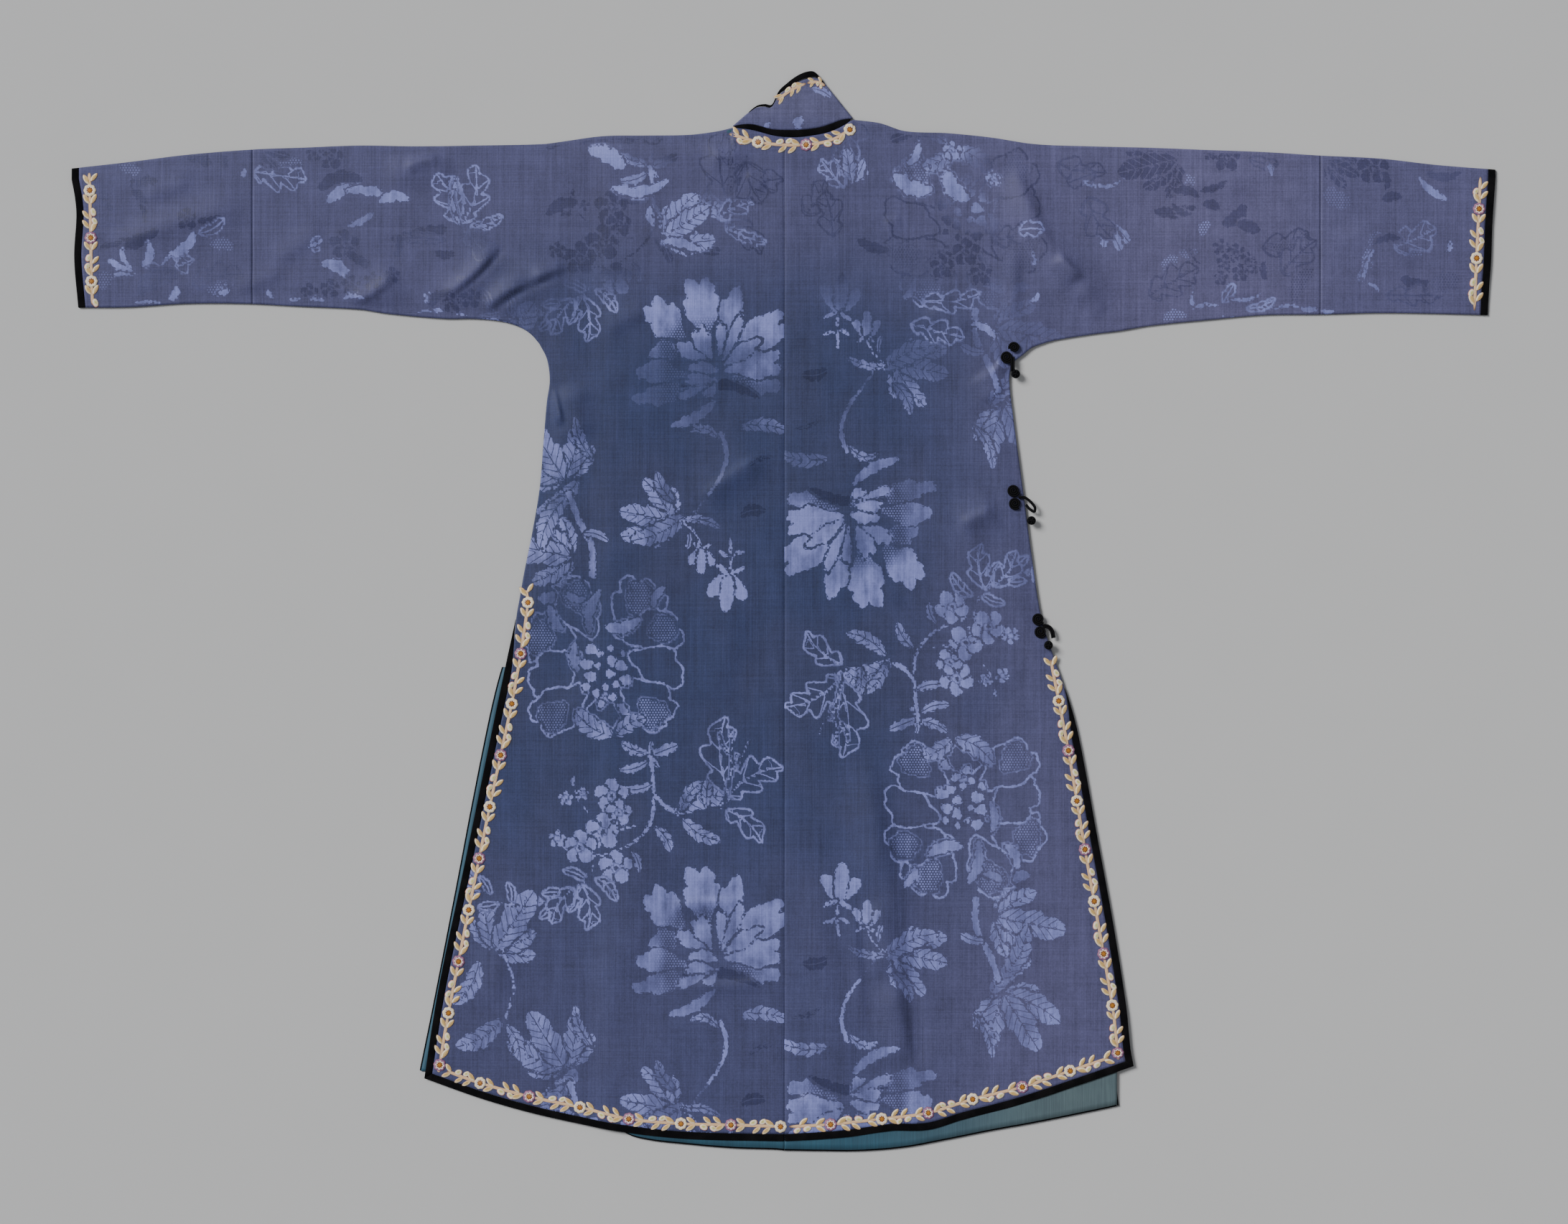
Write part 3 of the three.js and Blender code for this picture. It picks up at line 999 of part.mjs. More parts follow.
for (const frog of FROGS) {
  const seat = frogSeat(frog, rightSurface);
  const knotSeat = knotSeatOf(frog, seat, rightSurface);
  add(`frog_${frog.name}`, frogSolid(frog, seat, knotSeat), cord);
  add(`knot_${frog.name}`, knotSolid(frog, knotSeat), cord);
}

export default group;
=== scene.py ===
import math

import bpy
import numpy as np
from bpy.props import FloatProperty, FloatVectorProperty, PointerProperty
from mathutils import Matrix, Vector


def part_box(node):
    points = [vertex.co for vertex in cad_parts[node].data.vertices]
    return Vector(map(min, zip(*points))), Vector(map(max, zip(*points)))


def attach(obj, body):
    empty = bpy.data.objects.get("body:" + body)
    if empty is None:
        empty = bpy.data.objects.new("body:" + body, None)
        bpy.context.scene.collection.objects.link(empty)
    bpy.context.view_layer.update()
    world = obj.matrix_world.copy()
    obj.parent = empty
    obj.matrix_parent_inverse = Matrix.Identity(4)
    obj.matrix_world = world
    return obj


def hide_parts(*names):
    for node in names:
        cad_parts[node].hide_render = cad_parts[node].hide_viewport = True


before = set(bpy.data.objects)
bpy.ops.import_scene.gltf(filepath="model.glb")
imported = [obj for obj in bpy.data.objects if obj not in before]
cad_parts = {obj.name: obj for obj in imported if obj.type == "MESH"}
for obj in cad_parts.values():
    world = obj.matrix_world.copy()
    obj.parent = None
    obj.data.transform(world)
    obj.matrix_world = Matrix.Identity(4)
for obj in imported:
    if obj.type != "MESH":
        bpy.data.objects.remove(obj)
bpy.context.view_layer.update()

bl_info = {
    "name": "Woven silk robe",
    "version": (1, 0, 0),
    "blender": (4, 5, 0),
    "location": "View3D > Sidebar > Robe",
    "description": "A silk damask robe laid flat, back up: cloth, velvet, ribbons and frogs",
    "category": "Add Mesh",
}

MM = 0.001

# ---- sizes, in millimetres: X along the sleeves, Y to the collar, Z up -------------------------
CLOTH = 1.0
GAP = 0.3
PLY = CLOTH + GAP
HALF_SEAM = GAP / 2
BINDING = 7.6
VELVET, VELVET_ROLL = 1.25, 0.15   # thickness of the binding, and how far its edge turns down
PIPING = 1.6
LINING_SIDE = 22
LINING_HEM = 44
FRONT_NECK = 445
UNDERLAP_EDGE = 180
TRIM = PIPING + GAP            # how far a front's cloth stops inside its piped edge
UNDERLAP_RIM = UNDERLAP_EDGE - 1 - TRIM
FOLD_RADIUS = 0.85             # middle of the cloth round the fold of a sleeve's top
FOLD_TURN = np.radians([60, 30, 0, -30, -60])
RIM_BULGE = 0.12               # of the cloth's thickness, out at a cut edge
INNER_REACH = 9                # rows and columns that the inner face stays under
CORD = 2.2
THICK = CORD / 2               # half the cord's thickness
FLOOR_SIZE = 5000
FLOOR_DROP = -0.2              # below the cloth's underside
SPACING = 2.42                 # between the points of the back's cloth
EVERY = 9                      # points of the outer face to one of the inner
WIDEST = 391                   # half the hem's width
SLEEVE_DEPTH = 205             # from the underarm to the fold
SLEEVE_END = (182, 170)        # length and depth of a sleeve's end
HEM_LIFT = 9                   # of a front's hem over the back's
REPEAT = 638.8                 # length of the damask's repeat
LOOM_TURN = 366.6              # the right half's silk is the left half's turned half round

# Outlines, measured outwards from the centre seam: rows of (x, y), or of (y, x) for the sides.
TOP_LEFT = [
    (55.8, 525.7), (72.2, 521.8), (103.4, 517.9), (150.2, 517.1), (197.0, 516.4), (243.8, 510.1),
    (262.5, 507.8), (337.4, 506.2), (400.0, 505.4), (462.2, 506.2), (524.6, 503.9), (577.6, 501.9),
    (649.4, 496.1), (711.8, 488.3), (773.7, 481.3)]
TOP_RIGHT = [
    (74.1, 534.1), (103.4, 530.4), (130.7, 521.8), (177.5, 519.5), (224.2, 514.8), (271.1, 507.8),
    (333.4, 505.4), (395.9, 503.9), (458.2, 501.5), (520.6, 499.2), (583.1, 495.3), (645.5, 492.2),
    (707.9, 485.2), (772.0, 480.1)]
UNDER_LEFT = [
    (266.0, 291.0), (274.9, 301.1), (286.7, 308.9), (306.2, 315.1), (337.4, 318.2), (368.6, 318.2),
    (430.9, 323.7), (462.2, 328.4), (524.6, 331.5), (587.0, 334.6), (649.4, 334.6), (711.8, 330.7),
    (766.5, 330.3)]
UNDER_RIGHT = [
    (247.7, 270.7), (259.0, 278.9), (267.5, 285.9), (276.5, 289.8), (294.4, 294.8), (333.4, 301.1),
    (364.7, 305.0), (395.9, 310.4), (458.2, 316.7), (520.6, 322.1), (583.1, 322.9), (645.5, 324.5),
    (707.9, 323.7), (763.6, 322.1)]
SIDE_LEFT = [
    (-508.2, 391.2), (-411.8, 376.0), (-281.6, 348.7), (-223.1, 336.6), (-129.5, 317.5),
    (-75.7, 306.2), (5.5, 289.0), (40.6, 282.8), (87.4, 273.4), (134.2, 265.6), (181.0, 261.7),
    (227.8, 257.8), (251.2, 254.7), (274.6, 257.8), (291.0, 266.0)]
SIDE_RIGHT = [
    (-494.4, 379.3), (-474.2, 375.6), (-427.4, 370.9), (-333.8, 356.1), (-240.2, 338.9),
    (-146.6, 321.8), (-99.8, 310.1), (-53.0, 293.7), (-6.2, 278.9), (64.0, 267.9), (110.8, 261.7),
    (157.6, 255.5), (204.4, 249.2), (252.7, 244.1), (270.7, 247.7)]
HEM_LEFT = [
    (0, -574.9), (80.7, -573.5), (126.0, -571.0), (179.0, -564.7), (213.6, -558.3),
    (271.8, -545.7), (324.1, -531.2), (391.2, -508.2)]
HEM_RIGHT = [
    (0, -574.9), (60.5, -571.0), (115.0, -563.9), (150.9, -563.2), (186.8, -553.0),
    (247.7, -537.4), (323.3, -513.0), (379.3, -494.4)]
CUFF_LEFT = [
    (330.3, 766.5), (340.5, 767.3), (390.9, 770.9), (437.8, 768.5), (458.6, 769.9), (481.3, 773.7)]
CUFF_RIGHT = [(322.1, 763.6), (352.6, 764.8), (383.8, 767.1), (430.6, 768.7), (480.1, 772.0)]
FRONT_SIDE_LEFT = [
    (-500.0, 396.6), (-427.4, 381.8), (-287.0, 354.5), (-216.8, 341.2), (-123.2, 322.5),
    (-76.4, 311.6), (-29.6, 297.6), (5.5, 289.0), (40.6, 281.8), (87.4, 272.4), (134.2, 264.6),
    (181.0, 260.7), (227.8, 256.8), (251.2, 253.7), (274.6, 256.8), (291.0, 266.0)]
FRONT_SIDE_RIGHT = [
    (-536.6, 363.1), (-501.5, 359.1), (-427.4, 352.0), (-240.2, 325.0), (-99.8, 304.0),
    (-6.2, 276.0), (64.0, 266.0), (157.6, 254.0), (204.4, 248.0), (252.7, 243.2), (270.7, 247.7)]
LOW_HEM_RIGHT = [
    (0, -585.2), (37.1, -585.8), (83.9, -585.8), (130.7, -581.9), (177.5, -573.3),
    (224.2, -563.9), (271.1, -555.4), (333.4, -542.9), (363.1, -536.6)]
LOW_HEM_LEFT = [
    (0, -585.2), (9.8, -584.2), (56.6, -582.7), (103.4, -578.8), (150.2, -573.3), (173.6, -565.5),
    (179.0, -554.6)]
OUTER_EDGE = [
    (-484.0, 371.0), (-380.0, 358.0), (-240.0, 334.0), (-123.0, 312.0), (-60.0, 290.5),
    (-20.0, 280.5), (17.2, 274.9), (64.0, 267.6), (110.8, 261.2), (160.0, 253.0), (204.4, 245.0),
    (262.0, 240.0)]
OUTER_TOP = [(0, 444), (40, 440), (90, 415), (150, 370), (200, 325), (240, 262)]
UNDERLAP_TOP = [(0, 444), (60, 430), (120, 395), (180, 330)]
# The neck's velvet and the collar, in true X.
NECK_LOW = [
    (-55.8, 525.5), (-37.1, 523.2), (-26.2, 520.6), (-14.4, 517.4), (-3.5, 515.6), (13.2, 515.0),
    (27.5, 516.4), (45.4, 519.8), (57.3, 524.2), (68.1, 530.0), (74.1, 533.6)]
NECK_HIGH = [
    (-55.8, 526.9), (-44.1, 528.8), (-34.7, 528.8), (-25.4, 526.7), (-13.1, 523.4), (3.5, 522.6),
    (21.4, 523.1), (39.4, 525.7), (51.4, 529.6), (63.3, 533.8), (74.1, 535.2)]
COLLAR_RIM_X = [
    (0.0, -37.0), (0.1, -29.0), (0.19, -21.0), (0.27, -13.1), (0.36, -5.9), (0.46, 3.5),
    (0.56, 13.2), (0.68, 23.8), (0.82, 32.4), (1.0, 40.6)]
COLLAR_RIM_Y = [
    (0.0, 543.5), (0.1, 549.4), (0.19, 550.9), (0.27, 550.6), (0.36, 565.1), (0.46, 574.1),
    (0.56, 581.3), (0.68, 586.0), (0.82, 586.0), (1.0, 577.2)]
DOWN = (0.0, -1.0)
BARE_PATTERN = (-9.0, -9.0, 1.0)
COLLAR_LAYER = CLOTH / 2 + 1.7 * PLY
COLLAR_HEIGHT = 47
RIM_START = 0.9

# Creases of the back: from, to, bow, width on either side of the line, height.
CREASES = [
    (-310, 400, -378, 336, 6, 16, 20, 2.5), (-236, 368, -322, 326, -9, 17, 20, 2.9),
    (-416, 372, -476, 330, 4, 20, 20, 2.34), (-575, 440, -730, 396, 0, 26, 26, 2.08),
    (-440, 470, -352, 482, 5, 18, 18, 2.34), (240, 476, 342, 330, -8, 24, 24, 4.16),
    (268, 410, 362, 330, -5, 18, 18, 2.6), (400, 430, 540, 380, 6, 30, 30, 1.82),
    (84, -150, 128, -505, 8, 15, 24, 3.38), (40, -260, 58, -520, -4, 24, 24, 1.82),
    (186, 88, 236, 112, 2, 20, 20, 2.34), (-96, 118, -16, 172, 3, 22, 22, 1.69),
    (-236, 250, -222, 180, 2, 18, 18, 2.86), (-92, 492, -34, 490, -3, 18, 18, 1.82),
    (-150, -180, -190, -470, 6, 30, 30, 1.82), (212, 262, 232, 230, 3, 16, 16, 2.6)]
FINE_CREASES = [
    (45, 91, 96, 60, 4, 4, 9, 1.5), (80, 119, 146, 87, -4, 4, 9, 1.4),
    (57, 41, 138, 5, 5, 4, 9, 1.5), (-134, -322, -38, -317, 4, 5, 10, 1.5),
    (-118, -404, -10, -398, -5, 5, 9, 1.3), (-150, 324, -70, 330, 3, 5, 9, 1.2),
    (70, -300, 84, -470, 3, 5, 12, 1.3), (-312, 398, -374, 338, 6, 4, 9, 2.72),
    (-300, 402, -366, 340, 5, 4, 3, -1.4), (-234, 372, -276, 357, -4, 4, 8, 2.89),
    (-276, 357, -327, 324, -5, 4, 10, 3.23), (-240, 362, -318, 322, -8, 4, 3, -1.6),
    (-419, 369, -474, 331, 4, 4, 8, 2.04), (-582, 442, -742, 394, -3, 10, 14, 1.53),
    (-415, 478, -371, 494, 4, 5, 8, 2.38), (-80, 498, -47, 496, -2, 5, 8, 1.7),
    (-43, 478, -17, 463, -2, 5, 8, 1.53), (247, 491, 294, 387, -4, 7, 13, 2.9),
    (294, 387, 316, 356, 3, 8, 12, 2.21), (316, 356, 348, 320, 2, 7, 11, 2.04),
    (296, 392, 327, 361, -3, 3, 8, 2.55), (249, 402, 247, 315, 2, 6, 12, 1.36),
    (107, 420, 128, 427, 0, 5, 9, 1.19), (189, 93, 229, 110, 2, 5, 10, 2.55),
    (-95, 119, -15, 172, 3, 6, 12, 1.53), (84, -154, 96, -310, 5, 14, 22, 1.7),
    (96, -310, 116, -399, 2, 12, 22, 2.38), (116, -399, 133, -498, 2, 10, 20, 2.72),
    (126, -380, 144, -500, 3, 12, 8, -2.04), (15, -524, 46, -547, 1, 5, 10, 2.04),
    (-254, 249, -241, 199, 1, 3, 7, 3.06), (228, 270, 244, 259, 1, 4, 7, 2.72),
    (-205, -20, -228, -130, 5, 16, 20, 1.36), (-60, 30, -84, -120, 6, 20, 26, 1.19),
    (186, -60, 214, -190, -6, 18, 22, 1.36), (-300, -300, -322, -440, 4, 14, 20, 1.36),
    (240, -240, 262, -420, -5, 16, 22, 1.53), (150, 330, 205, 300, 4, 9, 14, 1.7),
    (-140, 330, -196, 300, -4, 9, 14, 1.53), (-500, 420, -560, 380, 4, 9, 14, 1.36),
    (430, 470, 505, 455, 4, 8, 14, 1.53), (600, 420, 690, 375, 5, 10, 16, 1.7),
    (-640, 470, -700, 452, 3, 8, 12, 1.19), (420, 385, 520, 340, -4, 8, 14, 1.7),
    (-540, 372, -600, 350, 2, 8, 12, 1.19)]
# A line pressed into the silk where it was once folded: y, depth; and half its width.
PRESSED = [(417.3, 0.22), (-96.0, 0.12), (96.0, 0.1)]
PRESSED_WIDTH = 2.4
SEAM_DIPS = ((0.45, 1.2), (0.25, 5))   # along the centre seam: depth, half width
SEAM_TOP = 516                 # where the centre seam ends under the neck's velvet
RISE = 24                      # from a seam or fold to where the cloth has its full height
CALM = 16                      # from a seam or fold to where its creases have theirs
SLEEVE_AIR, FOLD_AIR = 0.8, 0.4   # between the plies of a sleeve, and at its fold
FAR = 99


# ---- curves ------------------------------------------------------------------------------------
def lerp(a, b, t):
    """The share t of the straight way from a to b: a + (b - a)t."""
    return a + (b - a) * t


def ply(n):
    """Height of the middle of the n-th layer over the floor."""
    return CLOTH / 2 + n * PLY


def soft(t):
    """Smooth step: 3t^2 - 2t^3 between 0 and 1."""
    c = np.clip(t, 0, 1)
    return c * c * (3 - 2 * c)


def follow(table, at):
    """Cubic Hermite curve through a table of (key, value): each key's slope is that from the
    key before it to the key after it. Level past both ends."""
    key, value = np.asarray(table, float).T
    last = len(key) - 1
    near = np.arange(last + 1)
    lo, hi = np.maximum(near - 1, 0), np.minimum(near + 1, last)
    slope = (value[hi] - value[lo]) / (key[hi] - key[lo])
    at = np.asarray(at, float)
    i = np.clip(np.searchsorted(key, at) - 1, 0, last - 1)
    span = key[i + 1] - key[i]
    t = np.clip((at - key[i]) / span, 0, 1)
    return (value[i] * (2 * t ** 3 - 3 * t ** 2 + 1) + slope[i] * span * (t ** 3 - 2 * t ** 2 + t)
            + value[i + 1] * (3 * t ** 2 - 2 * t ** 3) + slope[i + 1] * span * (t ** 3 - t ** 2))


def folds(x, y, table):
    """Sum of creases: each is a bell across a bowed line, of its own width on either side."""
    height = np.zeros_like(x)
    for x0, y0, x1, y1, bow, left, right, rise in table:
        length = math.hypot(x1 - x0, y1 - y0)
        ax, ay = (x1 - x0) / length, (y1 - y0) / length
        t = ((x - x0) * ax + (y - y0) * ay) / length
        c = np.clip(t, 0, 1)
        off = (y - y0) * ax - (x - x0) * ay - bow * 4 * c * (1 - c)
        past = (t - c) * length
        width = np.where(off > 0, left, right)
        bell = np.exp(-(off * off + past * past) / (width * width))
        height += rise * soft(c / 0.3) * soft((1 - c) / 0.3) * bell
    return height


def sway(x, y):
    """Slow unevenness of the laid cloth: a few crossing waves of small height."""
    return (0.22 * np.sin(x / 41 + 0.9 * np.sin(y / 67))
            + 0.2 * np.sin(y / 53 + 1.3 * np.sin(x / 83))
            + 0.1 * np.sin((x + y) / 23 + np.sin(y / 37)) + 0.07 * np.sin((x - 1.7 * y) / 17))


class Half:
    """One half of the robe: its outlines as functions, and the height of its layers."""

    def __init__(self, sign, top, under, side, hem, cuff, front_side, front_hem, seam, slit,
                 front):
        self.sign, self.hand = sign, "left" if sign < 0 else "right"
        self.top = lambda x: follow(top, x)
        self.under = lambda x: follow(under, x)
        self.side = lambda y: follow(side, y)
        self.hem = lambda x: follow(hem, x)
        self.cuff = lambda y: follow(cuff, y)
        self.front_side = lambda y: follow(front_side, y)
        self.front_hem = front_hem
        self.neck_x = top[0][0]
        self.arm_x, self.arm_y = under[0]
        self.corner_y = side[0][0]
        self.front_corner_y = front_side[0][0]
        self.sleeve_seam = seam
        self.slit_top, self.slit_full = slit
        self.front_ply = front

    def front_level(self, x, y):
        """Height of the front layer: on the floor, or on the outer front where that is under it."""
        along = np.where(y < self.arm_y - 0.5, 0, soft((x - self.arm_x - 4) / 45))
        return ply(self.front_ply * (1 - along))

    def fold_y(self, x):
        """Where the plies of the top fold part."""
        return self.top(x) - CLOTH / 2 - FOLD_RADIUS

    def inset(self, y):
        """How far the silk stops inside the side edge, for the velvet of the slit."""
        return (BINDING + GAP) * soft((self.slit_top - y) / (self.slit_top - self.slit_full))

    def side_edge(self, y):
        """Edge of the silk at the side: the outline moved in along its normal."""
        slope = (self.side(y + 3) - self.side(y - 3)) / 6
        length = np.hypot(1, slope)
        out = np.stack([1 / length, -slope / length], -1)
        inset = self.inset(y)
        return self.side(y) - out[..., 0] * inset, y - out[..., 1] * inset, out

    def hem_edge(self, x):
        """Edge of the silk at the hem."""
        slope = (self.hem(x + 3) - self.hem(x - 3)) / 6
        length = np.hypot(1, slope)
        out_y = -1 / length
        return self.hem(x) - out_y ** 3 * (BINDING + GAP), np.stack([slope / length, out_y], -1)

    def level(self, x, y):
        """Middle height of the back layer at a place in plan: down on seams and folds, up over
        what lies inside, with its creases."""
        below = (y < self.arm_y) & (x < self.arm_x + 140)
        low = np.where(x <= self.arm_x, self.arm_y, self.under(x))
        edge_x = self.side_edge(np.minimum(y, self.arm_y))[0]
        from_arm = np.hypot(np.maximum(0, self.arm_x - x), np.maximum(0, y - low))
        from_seam = np.maximum(0, np.where(below, edge_x - x, from_arm))
        over = np.where(x < self.neck_x, 30, np.maximum(0, self.fold_y(x) - y))
        from_fold = np.where(below, FAR, over)
        in_body = np.maximum(1 - soft((x - self.arm_x + 30) / 90), soft((self.arm_y - y) / 60))
        over_underlap = 1 if self.sign > 0 else soft((UNDERLAP_EDGE + 35 - x) / 30)
        front = self.front_level(x, y)
        rest = lerp(front + PLY + SLEEVE_AIR, ply(2) + over_underlap * PLY, in_body)
        lined = soft((-400 - y) / 60) if self.sign > 0 else soft((22 - y) / 28)
        edge = front + PLY + np.where(y < self.arm_y - 1, lined * PLY, 0)
        near = lerp(edge, rest, soft(from_seam / RISE))
        folded = lerp(front + PLY + FOLD_AIR, near, soft(from_fold / RISE))
        calm = soft(from_seam / CALM) * soft(from_fold / CALM)
        true_x = self.sign * x
        lift = folds(true_x, y, CREASES) + folds(true_x, y, FINE_CREASES) + sway(true_x, y)
        for line, depth in PRESSED:
            lift = lift - depth * np.exp(-((y - line) / PRESSED_WIDTH) ** 2)
        dip = sum(-depth * np.exp(-(x / width) ** 2) for depth, width in SEAM_DIPS)
        bare = np.maximum(folded + calm * lift, np.minimum(folded, front + PLY + 0.1))
        return bare + np.where(y < SEAM_TOP, dip, 0)


LEFT = Half(-1, TOP_LEFT, UNDER_LEFT, SIDE_LEFT, HEM_LEFT, CUFF_LEFT, FRONT_SIDE_LEFT,
            lambda x: follow(HEM_LEFT, np.minimum(x, WIDEST)) + HEM_LIFT, 577.6, (7, -75), 0)
RIGHT = Half(1, TOP_RIGHT, UNDER_RIGHT, SIDE_RIGHT, HEM_RIGHT, CUFF_RIGHT, FRONT_SIDE_RIGHT,
             lambda x: follow(LOW_HEM_RIGHT, x) + TRIM, 582, (-70, -145), 1)


def of_half(measure, x, *rest):
    """A measure of whichever half holds each true place."""
    return np.where(x < 0, measure(LEFT, np.abs(x), *rest), measure(RIGHT, np.abs(x), *rest))


def neck_low(x):
    """Lower edge of the neck's velvet."""
    return follow(NECK_LOW, x)


def neck_high(x):
    """Upper edge of the neck's velvet."""
    return follow(NECK_HIGH, x)


def front_neckline(half, x):
    """Neckline of the front panels: deep at the centre, steep at the shoulder."""
    share = np.minimum(1, x / half.neck_x)
    return lerp(FRONT_NECK, half.top(half.neck_x) - 3, share ** 2.4)


# ---- meshes ------------------------------------------------------------------------------------
def unit(vectors):
    """Rows of vectors, each divided by its own length."""
    return vectors / np.maximum(np.linalg.norm(vectors, axis=1, keepdims=True), 1e-9)


def make_piece(name, points, loops, sizes, finishes, slots=None, fields=None, colours=None,
               uvs=None):
    """Puts arrays of points (mm) and faces into one mesh object, with its fields as attributes
    and the finishes of those names."""
    mesh = bpy.data.meshes.new(name)
    mesh.vertices.add(len(points))
    mesh.vertices.foreach_set("co", (np.asarray(points, float) * MM).ravel())
    mesh.loops.add(len(loops))
    mesh.loops.foreach_set("vertex_index", np.asarray(loops, np.int32))
    mesh.polygons.add(len(sizes))
    starts = np.concatenate([[0], np.cumsum(sizes)[:-1]])
    mesh.polygons.foreach_set("loop_start", starts.astype(np.int32))
    if slots is not None:
        mesh.polygons.foreach_set("material_index", np.asarray(slots, np.int32))
    mesh.update(calc_edges=True)
    mesh.polygons.foreach_set("use_smooth", np.ones(len(sizes), bool))
    for key, values in (fields or {}).items():
        mesh.attributes.new(key, "FLOAT_VECTOR", "POINT").data.foreach_set("vector", values.ravel())
    if colours is not None:
        full = np.concatenate([colours, np.ones((len(colours), 1))], 1)
        layer = mesh.attributes.new("thread", "FLOAT_COLOR", "POINT")
        layer.data.foreach_set("color", full.ravel())
    if uvs is not None:
        layer = mesh.uv_layers.new(name="UVMap")
        layer.data.foreach_set("uv", np.asarray(uvs, float)[np.asarray(loops)].ravel())
    for one in finishes:
        mesh.materials.append(finish(one))
    mesh.validate()
    piece = bpy.data.objects.new(name, mesh)
    bpy.context.scene.collection.objects.link(piece)
    return piece


def dress(piece, node):
    """Rides on the body and stands for its node."""
    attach(piece, "root")
    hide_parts(node)


def steps(total, every):
    """Every so many of a run of points, and its last, for the coarse inner face."""
    return np.unique(np.concatenate([np.arange(0, total, every), [total - 1]]))


def lowest_near(height, reach):
    """The least height within so many rows and columns of each place."""
    for _ in range(2):
        padded = np.pad(height, ((reach, reach), (0, 0)), "edge")
        height = np.min([padded[k:k + len(height)] for k in range(2 * reach + 1)], axis=0).T
    return height


def shell(points, flip, has, row_marks, col_marks, creased):
    """Closed wall round a lattice: a fine outer face, half the cloth's thickness out along the
    mean normal of the cells at each point; a rim that bulges a little; and a coarse inner face as
    far the other way, of the marked rows and columns, whose outermost cells take up every point
    of the rim. In the creased rows, the first so many, the inner face keeps to the lowest places
    near it, clear of sharp troughs. Returns points, loops, sizes, slots and which points of the
    lattice the outer ones are."""
    rows, cols = points.shape[:2]
    count = rows * cols
    number = np.arange(count).reshape(rows, cols)
    quads = np.stack([number[:-1, :-1], number[1:, :-1], number[1:, 1:], number[:-1, 1:]], -1)[has]
    if flip:
        quads = quads[:, ::-1]
    flat = points.reshape(-1, 3)
    a, b, c, d = (flat[quads[:, k]] for k in range(4))
    facing = unit(np.cross(c - a, d - b))
    normal = np.zeros_like(flat)
    for k in range(4):
        np.add.at(normal, quads[:, k], facing)
    normal = unit(normal)

    starts, ends = quads.ravel(), np.roll(quads, -1, axis=1).ravel()
    free = ~np.isin(starts * count + ends, ends * count + starts)
    starts, ends = starts[free], ends[free]
    away = np.zeros_like(flat)
    side = np.cross(flat[ends] - flat[starts], normal[starts])
    np.add.at(away, starts, side)
    np.add.at(away, ends, side)
    away = unit(away)

    used, rim = np.unique(quads), np.unique(starts)
    keep = np.zeros((rows, cols), bool)
    keep[np.ix_(row_marks, col_marks)] = True
    keep = keep.ravel()
    keep[rim] = True
    inner_ids = np.flatnonzero(keep & np.isin(number.ravel(), used))
    outer_of, middle_of, inner_of = np.full((3, count), -1)
    outer_of[used] = np.arange(len(used))
    middle_of[rim] = len(used) + np.arange(len(rim))
    inner_of[inner_ids] = len(used) + len(rim) + np.arange(len(inner_ids))
    outer = flat[used] + normal[used] * CLOTH / 2
    middle = flat[rim] + away[rim] * CLOTH * RIM_BULGE
    inner = flat[inner_ids] - normal[inner_ids] * CLOTH / 2
    if creased:
        drop = np.zeros((rows, cols))
        drop[:creased] = points[:creased, :, 2] - lowest_near(points[:creased, :, 2], INNER_REACH)
        inner[:, 2] -= np.where(np.isin(inner_ids, rim), 0, drop.ravel()[inner_ids])

    rim_top = np.stack([outer_of[ends], outer_of[starts], middle_of[starts], middle_of[ends]], 1)
    rim_low = np.stack([middle_of[ends], middle_of[starts], inner_of[starts], inner_of[ends]], 1)
    fine = np.concatenate([outer_of[quads], rim_top, rim_low])
    loops, sizes, slots = [fine.ravel()], [np.full(len(fine), 4)], [np.zeros(len(fine), int)]
    coarse = np.pad(has[np.ix_(row_marks[:-1], col_marks[:-1])], 1)
    for i, j in zip(*np.nonzero(coarse)):
        i0, i1, j0, j1 = row_marks[i - 1], row_marks[i], col_marks[j - 1], col_marks[j]
        west = number[i0:i1:1 if not coarse[i, j - 1] else i1 - i0, j0]
        south = number[i1, j0:j1:1 if not coarse[i + 1, j] else j1 - j0]
        east = number[i1:i0:-1 if not coarse[i, j + 1] else i0 - i1, j1]
        north = number[i0, j1:j0:-1 if not coarse[i - 1, j] else j0 - j1]
        ring = inner_of[np.concatenate([west, south, east, north])]
        loops.append(ring if flip else ring[::-1])
        sizes.append([len(ring)])
        slots.append([1])
    return (np.concatenate([outer, middle, inner]), np.concatenate(loops), np.concatenate(sizes),
            np.concatenate(slots), used)


def cloth(name, node, points, flip, marks, finishes, weaving=None,
          has=None, creased=0):
    """One piece of cloth from its lattice. Its finishes are those of the outer and the inner
    face; weaving gives its fields."""
    rows, cols = points.shape[:2]
    has = np.ones((rows - 1, cols - 1), bool) if has is None else has
    verts, loops, sizes, slots, used = shell(points, flip, has, *marks, creased)
    fields = weaving(verts[:len(used)], used, len(verts)) if weaving else None
    if len(finishes) == 1:
        slots = None
    piece = make_piece(name, verts, loops, sizes, finishes, slots, fields)
    dress(piece, node)


